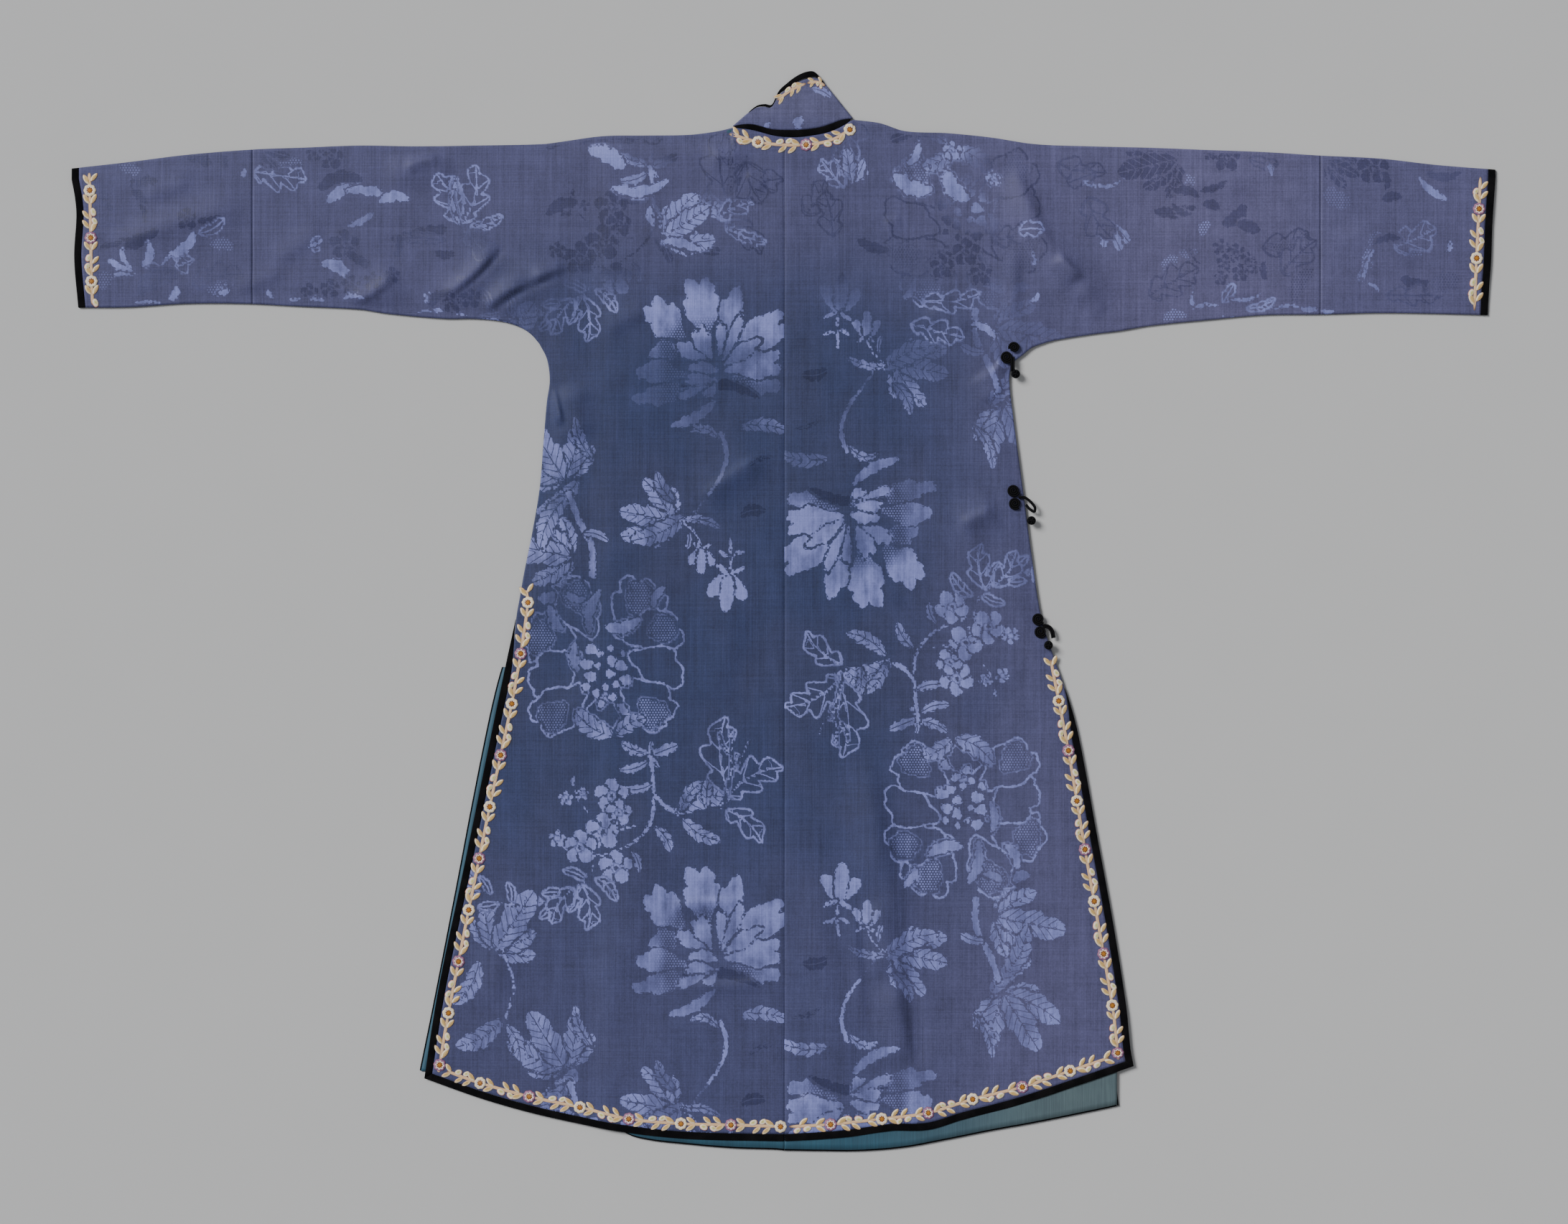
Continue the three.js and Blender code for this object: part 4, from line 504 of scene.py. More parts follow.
def band(points, out, inner, outer, thickness, roll=0.0):
    """A velvet binding: a rounded flat profile, its two half axes powers of sine and cosine,
    carried along an edge. points is (n, 3) on the edge, out its direction outwards (n, 2), inner
    and outer the distances of its two sides."""
    turn = np.linspace(0, 2 * math.pi, 15)[:-1]
    across = 0.5 - 0.5 * np.sign(np.cos(turn)) * np.abs(np.cos(turn)) ** 0.55
    high = np.sign(np.sin(turn)) * np.abs(np.sin(turn)) ** 0.5 * thickness / 2
    inner, outer = np.broadcast_to(inner, len(points)), np.broadcast_to(outer, len(points))
    away = inner[:, None] + (outer - inner)[:, None] * across
    plan = points[:, None, :2] + out[:, None] * away[..., None]
    return np.concatenate([plan, (points[:, None, 2] + high - roll * across ** 2)[..., None]], 2)


def tube_piece(name, node, kind, *grids):
    """A velvet or cord piece: one or more closed profiles carried along paths, each a grid of
    (along, around, 3), with their ends capped. Each point's UV is its run along and share
    round."""
    points, loops, sizes, uvs = [], [], [], []
    base = 0
    for grid in grids:
        n, m = grid.shape[:2]
        index = base + np.arange(n * m).reshape(n, m)
        ahead = np.roll(index, -1, axis=1)
        quads = np.stack([index[:-1], ahead[:-1], ahead[1:], index[1:]], -1).reshape(-1, 4)
        first, last = index[0], index[-1]
        a, b, d = (grid.reshape(-1, 3)[quads[:, k] - base] for k in (0, 1, 3))
        ring = np.repeat(grid[:-1].mean(axis=1), m, axis=0)
        if (np.cross(b - a, d - a) * (a - ring)).sum() <= 0:
            quads, first, last = quads[:, ::-1], first[::-1], last[::-1]
        loops += [quads.ravel(), first[::-1], last]
        sizes += [np.full(len(quads), 4), [m, m]]
        points.append(grid.reshape(-1, 3))
        pace = np.linalg.norm(np.diff(grid.mean(1), axis=0), axis=1)
        run = np.concatenate([[0], np.cumsum(pace)])
        uvs.append(np.stack(np.broadcast_arrays(run[:, None], np.arange(m) / m), -1).reshape(-1, 2))
        base += n * m
    piece = make_piece(name, np.concatenate(points), np.concatenate(loops), np.concatenate(sizes),
                       [kind], uvs=np.concatenate(uvs))
    dress(piece, node)


# ---- damask: fields of distance that the silk's material draws ---------------------------------
def signed_distance(x, y, outline):
    """Distance to a closed outline, positive inside: nearest of its edges, and the crossing
    count for the side."""
    a = outline
    b = np.roll(outline, -1, axis=0)
    run = b - a
    px, py = x[:, None] - a[None, :, 0], y[:, None] - a[None, :, 1]
    length = np.maximum((run ** 2).sum(1), 1e-9)
    t = np.clip((px * run[:, 0] + py * run[:, 1]) / length, 0, 1)
    dist = np.sqrt(((px - t * run[:, 0]) ** 2 + (py - t * run[:, 1]) ** 2).min(1))
    spans = (a[None, :, 1] > y[:, None]) != (b[None, :, 1] > y[:, None])
    rise = np.where(np.abs(run[:, 1]) < 1e-9, 1e-9, run[:, 1])
    crossing = spans & (px < run[:, 0] * py / rise)
    return np.where(crossing.sum(1) % 2 == 1, dist, -dist)


def bare_fields(total):
    """Fields of ground without figures: far outside both sets, no vein, no dots, full shine."""
    return {"pattern": np.tile(BARE_PATTERN, (total, 1)),
            "detail": np.tile([9.0, 0.0, 1.0], (total, 1))}


REACH = 9                      # distances are kept up to here on both sides of an outline
RIM = 1.3                      # how far past its outline a figure's filling reaches
VEIN_GAP, VEINED = 9, 34       # between a leaf's ribs, and the shortest leaf with ribs


class Damask:
    """Two sets of figures, a and b, as distances inside their outlines, so that neighbours meet
    at a clean line; and what fills them: satin, veins, dots and shine."""

    def __init__(self, x, y):
        self.x, self.y = x, y
        self.sets = [np.full(len(x), -9.0), np.full(len(x), -9.0)]
        self.satin = np.ones(len(x))
        self.vein = np.full(len(x), 9.0)
        self.dots = np.zeros(len(x))
        self.shine = np.ones(len(x))
        self.own = np.zeros(len(x), bool)

    def lay(self, outline, which=0, satin=1.0, shine=(1.0, 1.0), vein=None, dots=None, own=False):
        """Lays one figure over those before it. shine runs from its base to its tip, and below
        nothing the satin is seen dark; vein bends its midrib; dots is the share of its length
        that is stippled; own keeps its shine whatever light its place gets. The ribs are a sine
        of the distance from the midrib less that from the base, so they slant forwards."""
        low, high = outline.min(0) - REACH, outline.max(0) + REACH
        near = np.flatnonzero((self.x > low[0]) & (self.x < high[0]) & (self.y > low[1])
                              & (self.y < high[1]))
        if not len(near):
            return
        x, y = self.x[near], self.y[near]
        inside = np.clip(signed_distance(x, y, outline), -REACH, REACH)
        for one in self.sets:
            one[near] = np.minimum(one[near], -inside)
        mine = self.sets[which % 2]
        mine[near] = np.maximum(mine[near], inside)
        fresh = near[inside > -RIM]
        base, tip = outline[0], outline[len(outline) // 2]
        axis = tip - base
        length = max(float(np.hypot(*axis)), 1e-6)
        dx, dy = self.x[fresh] - base[0], self.y[fresh] - base[1]
        along = np.clip((dx * axis[0] + dy * axis[1]) / length ** 2, 0, 1)
        aside = (dy * axis[0] - dx * axis[1]) / length
        self.satin[fresh] = satin
        self.own[fresh] = own
        self.shine[fresh] = lerp(shine[0], shine[1], along)
        self.dots[fresh] = 0 if dots is None else np.clip((dots - along) / 0.25 + 0.5, 0, 1)
        if vein is None:
            self.vein[fresh] = 9.0
        else:
            middle = aside - vein * length * np.sin(math.pi * along)
            gap = VEIN_GAP if satin > 0.5 else length / 3.4
            ribs = gap / math.pi * np.sin(math.pi * (np.abs(middle) - along * length) / gap) - 0.2
            ribbed = (np.abs(middle) > 1.6) & (along < 0.85) & (length > VEINED)
            self.vein[fresh] = np.where(ribbed, np.clip(ribs, -3, 3) + 0.2, middle)

    def light(self, level):
        """Dims every figure to the level of light that its place gets."""
        self.shine = np.where(self.own | (self.shine < 0), self.shine, self.shine * level)

    def fields(self, total):
        """Packs the fields for the outer points; the wall's other points get bare ground."""
        fields, n = bare_fields(total), len(self.x)
        fields["pattern"][:n] = np.stack([*self.sets, self.satin], 1)
        fields["detail"][:n] = np.stack([self.vein, self.dots, self.shine], 1)
        return fields


def turned(local, at, angle):
    """Local (along, across) points turned by an angle in degrees and set at a place."""
    c, s = math.cos(math.radians(angle)), math.sin(math.radians(angle))
    return np.stack([at[0] + local[:, 0] * c - local[:, 1] * s,
                     at[1] + local[:, 0] * s + local[:, 1] * c], 1)


def leaf_outline(length, width, bow=0.0, teeth=3.0):
    """A pointed leaf from its stalk: half width as a power of the sine, cut into teeth that point
    forwards, uneven on its two sides, and bent sideways by bow."""
    phi = np.linspace(0, 2 * math.pi, 61)[:-1]
    u = 0.5 - 0.5 * np.cos(phi)
    upper = np.sin(phi) >= 0
    share = (u * teeth + np.where(upper, 0.1, 0.45)) % 1
    tooth = 1 - 0.34 * (1 - share) ** 1.6 * (teeth > 0) * np.sin(math.pi * u)
    v = width / 2 * np.sign(np.sin(phi)) * np.abs(np.sin(phi)) ** 1.15 * tooth
    return np.stack([u * length, v + bow * np.sin(math.pi * u)], 1)


def cut_leaf_outline(length, width, bow=0.0, lobes=3):
    """A leaf cut deep into lobes: its half width swells and falls once for each lobe, the lobes
    lean towards its tip, its two sides are out of step, and it is bent sideways by bow."""
    u = np.concatenate([np.linspace(0, 1, 31), np.linspace(1, 0, 31)[1:-1]])
    side = np.where(np.arange(len(u)) < 31, 1, -1)
    lobe = np.sin(math.pi * ((u * lobes + np.where(side > 0, 0.05, 0.4)) % 1) ** 1.4) ** 0.8
    around = np.sin(math.pi * u ** 0.85) ** 0.6
    bend = np.sin(math.pi * u)
    return np.stack([length * (u + 0.09 * lobe * bend),
                     side * width / 2 * around * (0.42 + 0.58 * lobe) + bow * bend], 1)


def petal_outline(length, width, lobes=3, depth=0.2, lean=0.0):
    """A broad petal: an oval from its base, narrower there, its far edge cut into round lobes of
    uneven reach, bent sideways by lean."""
    phi = np.linspace(-math.pi, math.pi, 57)[:-1]
    share = np.clip((phi + 2.1) / 4.2, 0, 1)
    lobe = np.abs(np.sin(math.pi * (lobes * share + 0.1 * np.sin(2 * math.pi * share)))) ** 0.5
    edge = (1 - depth + depth * lobe + 0.06 * np.sin(3 * phi + length)
            + 0.035 * np.sin(8 * phi + width) + 0.03 * np.sin(14 * phi + length))
    middle = length * 0.54
    x = middle + np.where(np.cos(phi) > 0, (length - middle) * edge, middle) * np.cos(phi)
    y = width / 2 * np.sin(phi) * edge * (0.62 + 0.38 * x / length) + lean * (x / length) ** 2
    return np.stack([x, y], 1)


def ring_outline(radius, points=14, squash=1.0, uneven=0.0):
    """A round or oval figure."""
    phi = np.linspace(0, 2 * math.pi, points + 1)[:-1]
    r = radius * (1 + uneven * np.sin(3 * phi + 1))
    return np.stack([r * np.cos(phi), r * np.sin(phi) * squash], 1)


def stem_outline(path, width, end_width=None):
    """A stem as a closed outline: a smooth path carried to both sides."""
    path = np.asarray(path, float)
    t = np.arange(len(path))
    fine = np.linspace(0, len(path) - 1, 6 * len(path))
    x, y = follow(np.stack([t, path[:, 0]], 1), fine), follow(np.stack([t, path[:, 1]], 1), fine)
    run = np.stack([np.gradient(x), np.gradient(y)], 1)
    run /= np.linalg.norm(run, axis=1, keepdims=True)
    half = np.linspace(width, width if end_width is None else end_width, len(fine))[:, None] / 2
    left = np.stack([x, y], 1) + np.stack([-run[:, 1], run[:, 0]], 1) * half
    right = np.stack([x, y], 1) - np.stack([-run[:, 1], run[:, 0]], 1) * half
    return np.concatenate([left, right[::-1]])


# Petals of a full peony: base (x, y) from its middle in mm, turn, length, width, lobes, shine,
# stippled share.
PEONY = [
    (-35, 26, 140, 58, 50, 4, 0.95, 0.35), (-12, 26, 98, 70, 54, 4, 1.0, 0.3),
    (4, 20, 70, 66, 34, 3, 0.95, None), (8, 5, 36, 86, 48, 4, 0.9, None),
    (-33, 18, 196, 44, 32, 3, 0.6, 0.7), (-29, -14, 170, 62, 34, 3, 0.85, 0.55),
    (-18, -21, 199, 78, 30, 3, 0.55, 0.6), (4, -18, -9, 64, 36, 3, 0.65, 0.6),
    (6, -8, 10, 68, 40, 4, 0.95, None)]
PEONY_HEART = [
    (-9, 2, 152, 42, 24, 3, 0.9, None), (-6, 2, 116, 42, 26, 4, 0.95, None),
    (2, -1, 86, 50, 15, 2, 0.85, None), (3, -1, 64, 64, 16, 2, 0.95, None),
    (5, -4, 38, 52, 22, 3, 0.9, None), (2, -10, 163, 34, 24, 3, 0.95, None),
    (0, -18, 180, 38, 18, 2, 0.85, None), (-2, -21, -118, 22, 18, 2, 0.8, None),
    (-6, -23, 198, 42, 14, 1, 0.7, None)]
# An open peony: the same, with the shine of a stippled patch instead; and its lit petals.
OPEN_PEONY = [
    (-30, 26, 172, 58, 76, 5, 0.7), (-24, 14, 212, 70, 58, 4, 0.0),
    (-18, -20, 222, 74, 60, 4, 0.5), (14, 30, 60, 74, 70, 5, 0.85),
    (-12, 30, 112, 72, 60, 4, 0.5), (20, 30, 14, 66, 60, 4, 0.6), (26, 14, -22, 66, 54, 3, 0.0),
    (20, -12, -50, 72, 64, 4, 0.75), (2, -30, -98, 46, 50, 3, 0.0)]
OPEN_PEONY_LIT = [
    (40, 52, 194, 42, 17, 1.0), (-16, 34, 76, 52, 15, 0.7), (-44, 38, 118, 34, 14, 0.8),
    (-52, 80, 200, 22, 16, 0.7), (52, 62, 60, 30, 12, 0.9), (-28, -8, 94, 36, 13, 0.7),
    (-20, 72, 160, 24, 12, 0.6), (14, -40, -60, 20, 12, 0.8)]


class Weaver:
    """Lays motifs of the repeat over a damask, each through one placing: a turn and a shift."""

    def __init__(self, damask, place, own=False):
        self.damask, self.place, self.own = damask, place, own

    def put(self, outline, which=0, **style):
        """Lays one outline of the repeat where the placing brings it."""
        self.damask.lay(self.place(outline), which, own=self.own, **style)

    def leaf(self, at, angle, length, width, which=0, satin=1.0, shine=(0.75, 1.0), vein=1.0,
             bow=0.1):
        """A single leaf with its midrib; a wide one drawn in line is cut into lobes."""
        if satin < 0.5 and width > 15:
            local = cut_leaf_outline(length, width * 1.3, bow * length, 3 if length > 55 else 2)
        else:
            local = leaf_outline(length, width, bow * length, max(2.0, round(length / 13)))
        self.put(turned(local, at, angle), which, satin=satin, shine=shine,
                 vein=bow if vein and length > 20 else None)

    def lobed_leaf(self, at, angle, size, satin=1.0, lobes=5, shine=(0.6, 1.0), spread=72):
        """A leaf of several toothed lobes that fan out from one stalk, of uneven reach."""
        spans = np.linspace(-spread, spread, lobes)
        order = sorted(range(lobes), key=lambda k: -abs(spans[k]))
        for k in order:
            reach = size * (1 - 0.4 * abs(spans[k] / spread))
            reach = reach * (1 + 0.12 * math.sin(3.7 * k + size))
            outline = leaf_outline(reach, reach * 0.46, 0.07 * reach * np.sign(spans[k]), 3)
            self.put(turned(outline, at, angle + spans[k] + 5 * math.sin(2.3 * k + size)), k,
                     satin=satin, shine=shine, vein=0.07 * np.sign(spans[k]))

    def plum(self, at, radius, shine=1.0):
        """A plum blossom: five round petals round a stamen."""
        for k in range(5):
            angle = 72 * k + 18
            c = turned(np.array([[radius * 0.56, 0]]), at, angle)[0]
            petal = turned(ring_outline(radius * 0.5, 14, 0.92), c, angle)
            self.put(petal, k, shine=(shine, shine))
        self.put(turned(ring_outline(radius * 0.2, 8), at, 0), 0, satin=0.0, shine=(shine, shine))

    def bud(self, at, angle, size, shine=1.0):
        """A hanging bud: three pointed petals under a small cup."""
        for k, (spread, reach) in enumerate([(-38, 0.8), (38, 0.8), (0, 1.0)]):
            outline = leaf_outline(size * reach, size * 0.5, 0, 0.08)
            self.put(turned(outline, at, angle + spread), k, shine=(0.8, shine))
        for k, spread in enumerate((-120, 120)):
            outline = leaf_outline(size * 0.45, size * 0.2, 0)
            self.put(turned(outline, at, angle + spread), k, shine=(0.8, shine))

    def twig(self, path, width, end_width=None, satin=1.0, shine=1.0, which=0):
        """A stem."""
        self.put(stem_outline(path, width, end_width), which, satin=satin, shine=(shine, shine))

    def petals(self, at, rows):
        """Broad petals round a place, rows of PEONY's kind."""
        for k, (dx, dy, turn, length, width, lobes, tone, dots) in enumerate(rows):
            outline = petal_outline(length, width, lobes, 0.32, 6 * math.sin(k * 2.3 + lobes))
            shine = (tone * 0.55, tone) if tone > 0 else (tone, tone)
            self.put(turned(outline, at + np.array([dx, dy]), turn), k, shine=shine, dots=dots)

    def peony(self, at):
        """A full peony seen from the side."""
        self.petals(at, PEONY)
        # A dark leaf-shaped figure under the petals, its shine below nothing: a painted shadow of a
        # fold in the skirt.
        self.leaf(at + np.array([-40, -25]), -9, 88, 15, 0, shine=(-0.6, -0.6), vein=None)
        self.leaf(at + np.array([-2, -40]), 209, 60, 15, 1, shine=(0.3, 0.9), vein=None)
        self.petals(at, PEONY_HEART)

    def open_peony(self, at):
        """A large blossom drawn in outline, with stippled patches on its petals, a few lit ones
        and a cluster of berries."""
        for k, (dx, dy, turn, length, width, lobes, patch) in enumerate(OPEN_PEONY):
            base = at + np.array([dx, dy])
            outline = petal_outline(length, width, lobes, 0.26, 7 * math.sin(2 * k))
            self.put(turned(outline, base, turn), k, satin=0.0)
            if patch:
                inner = petal_outline(length * 0.5, width * 0.62, lobes, 0.2)
                c, s = math.cos(math.radians(turn)), math.sin(math.radians(turn))
                self.put(turned(inner, base + length * 0.42 * np.array([c, s]), turn), k + 1,
                         shine=(patch, patch), dots=1.8)
        for k, (dx, dy, turn, length, width, tone) in enumerate(OPEN_PEONY_LIT):
            self.leaf(at + np.array([dx, dy]), turn, length, width, k, shine=(tone * 0.6, tone),
                      vein=None, bow=0.12)
        for k in range(17):
            spot = 2.5 + 24 * math.sqrt((k + 0.5) / 17)
            c = (at[0] + spot * math.cos(2.4 * k), at[1] - 8 + spot * 1.3 * math.sin(2.4 * k))
            berry = ring_outline(6.6 + 1.6 * math.sin(5 * k), 9, 0.86, 0.14)
            self.put(turned(berry, c, 40 * k), k)

    def spray(self, at, angle, size, satin=0.0, leaves=5):
        """A curved twig with outlined leaves on both sides."""
        def along(t):
            """The place at a share of the twig, which is bent as half a sine."""
            bent = size * 0.12 * math.sin(math.pi * t)
            return turned(np.array([[size * t, bent]]), at, angle)[0]

        for k in range(leaves):
            t = (k + 0.7) / leaves
            side = 1 if k % 2 else -1
            self.leaf(along(t), angle + side * 48 * (1.2 - t), size * 0.42, size * 0.17, k, satin,
                      vein=1.0, bow=0.08 * side)
        path = [along(t) for t in (0, 0.3, 0.6, 0.9)]
        self.twig(path, 2.8, 2.0)


GRID, GRID_X, GRID_Y = 0.78, 1092.5, 852   # mm to a step of the drawing's grid; its middle


def px(x, y):
    """Place in mm of a point of the drawing's grid, whose Y runs down."""
    return np.array([(x - GRID_X) * GRID, (GRID_Y - y) * GRID])


def one_repeat(w):
    """The motifs of one repeat of the left half's silk, from the centre seam outwards."""
    w.twig([px(1003, 600), px(1012, 632), px(1004, 664), px(985, 692)], 7, 5)
    w.leaf(px(1030, 596), -5, 54, 19, 0, bow=0.1, shine=(0.5, 0.95))
    w.leaf(px(1002, 612), 165, 34, 13, 1, bow=-0.2)
    w.leaf(px(1040, 652), 22, 34, 8, 1, shine=(-0.6, -0.4))
    w.peony(px(1000, 506))
    w.twig([px(985, 692), px(960, 722), px(930, 742)], 4, 3, shine=0.1)
    w.lobed_leaf(px(936, 726), 164, 66, 1.0, 5, (0.5, 0.95))
    w.leaf(px(955, 718), 205, 66, 26, 1, shine=(0.2, 1.0), bow=0.08)
    w.leaf(px(940, 700), 120, 40, 16, 0, shine=(0.1, 0.6))
    w.leaf(px(948, 724), -12, 46, 12, 0, shine=(0.8, 0.2))
    w.twig([px(952, 728), px(968, 742), px(978, 764)], 3.6)
    w.bud(px(978, 764), -92, 30)
    w.leaf(px(960, 740), -100, 22, 8, 1)
    w.twig([px(1016, 748), px(1018, 770), px(1017, 800)], 5)
    w.leaf(px(1018, 776), 150, 16, 7, 1)
    w.leaf(px(1018, 776), 20, 18, 7, 0)
    w.bud(px(1016, 800), -96, 42)
    w.leaf(px(1030, 718), 10, 30, 18, 1, shine=(-0.5, -0.4))
    # side cluster and the twig down to the open blossom
    w.lobed_leaf(px(796, 776), 172, 70, 1.0, 5, (0.6, 0.9))
    w.lobed_leaf(px(786, 668), 118, 78, 1.0, 5, (0.4, 0.9))
    w.leaf(px(826, 640), 112, 52, 14, 1, shine=(0.5, 1.0))
    w.leaf(px(806, 668), -140, 60, 24, 0, shine=(0.2, 0.9))
    w.leaf(px(792, 690), -118, 66, 24, 1, shine=(0.3, 0.9), bow=-0.1)
    w.twig([px(792, 684), px(806, 724), px(824, 760), px(826, 806)], 8, 9, shine=0.75)
    w.leaf(px(812, 742), -18, 30, 13, 1)
    w.open_peony(px(842, 928))
    # leaf pair under it, the branch and the plum
    w.leaf(px(854, 1026), 146, 50, 26, 0, shine=(1.0, 0.5))
    w.leaf(px(858, 1024), 30, 38, 22, 1)
    w.leaf(px(905, 1048), 160, 34, 14, 0)
    w.lobed_leaf(px(908, 1052), 18, 30, 1.0, 3)
    w.twig([px(905, 1048), px(910, 1090), px(908, 1140), px(884, 1172), px(842, 1190),
            px(800, 1188)], 6.4, 3.2)
    w.leaf(px(903, 1060), 196, 34, 13, 1)
    w.leaf(px(908, 1092), 190, 30, 13, 0)
    w.leaf(px(912, 1150), -58, 34, 15, 1)
    w.leaf(px(880, 1184), -70, 26, 10, 0)
    w.twig([px(911, 1106), px(926, 1122), px(948, 1134)], 6, 7)
    w.leaf(px(940, 1132), 14, 66, 26, 0, shine=(0.9, 1.0), bow=0.12)
    w.leaf(px(948, 1130), 52, 44, 17, 1, shine=(0.4, 1.0))
    w.leaf(px(950, 1140), -30, 50, 20, 1, shine=(0.9, 1.0), bow=-0.1)
    w.leaf(px(985, 1125), 78, 44, 13, 0, shine=(0.9, 0.9))
    w.leaf(px(1018, 1110), 94, 88, 34, 0, satin=0.0)
    w.leaf(px(1016, 1108), 28, 66, 30, 1, satin=0.0, bow=0.12)
    w.leaf(px(1012, 1128), -42, 52, 22, 0, satin=0.0)
    w.twig([px(1004, 1128), px(1016, 1090), px(1020, 1050), px(1018, 1016)], 2.8)
    w.twig([px(1018, 1070), px(1034, 1052), px(1044, 1028)], 2.6)
    w.twig([px(1017, 1050), px(1006, 1036), px(1002, 1022)], 2.6)
    for at, size in (((852, 1108), 19), ((862, 1132), 15), ((840, 1158), 20), ((808, 1180), 19),
                     ((858, 1208), 19), ((788, 1112), 9), ((812, 1106), 8), ((776, 1168), 10)):
        w.plum(px(*at), size)
    w.twig([px(800, 1090), px(804, 1112), px(822, 1134)], 2.6)
    w.leaf(px(799, 1096), 88, 12, 6, 1)
    w.twig([px(886, 1150), px(866, 1154), px(854, 1142)], 2.8)
    w.twig([px(828, 1190), px(824, 1214), px(800, 1236), px(762, 1244)], 3.0, 2.4)
    w.spray(px(826, 1216), 208, 66)
    w.leaf(px(812, 1232), -84, 50, 22, 0, satin=0.0)
    w.leaf(px(800, 1236), -122, 46, 20, 1, satin=0.0, bow=-0.1)
    w.leaf(px(830, 1222), -48, 34, 14, 1, satin=0.0)
    # what the sides of the skirt show
    w.lobed_leaf(px(690, 1322), 60, 70, 1.0, 5)
    w.leaf(px(668, 1338), -120, 56, 24, 1)
    w.spray(px(724, 1262), 150, 60)
    w.leaf(px(700, 1420), -150, 60, 26, 0, shine=(0.3, 1.0))
    w.leaf(px(706, 1426), -70, 44, 18, 1)
    w.twig([px(700, 1322), px(716, 1372), px(704, 1420)], 4)


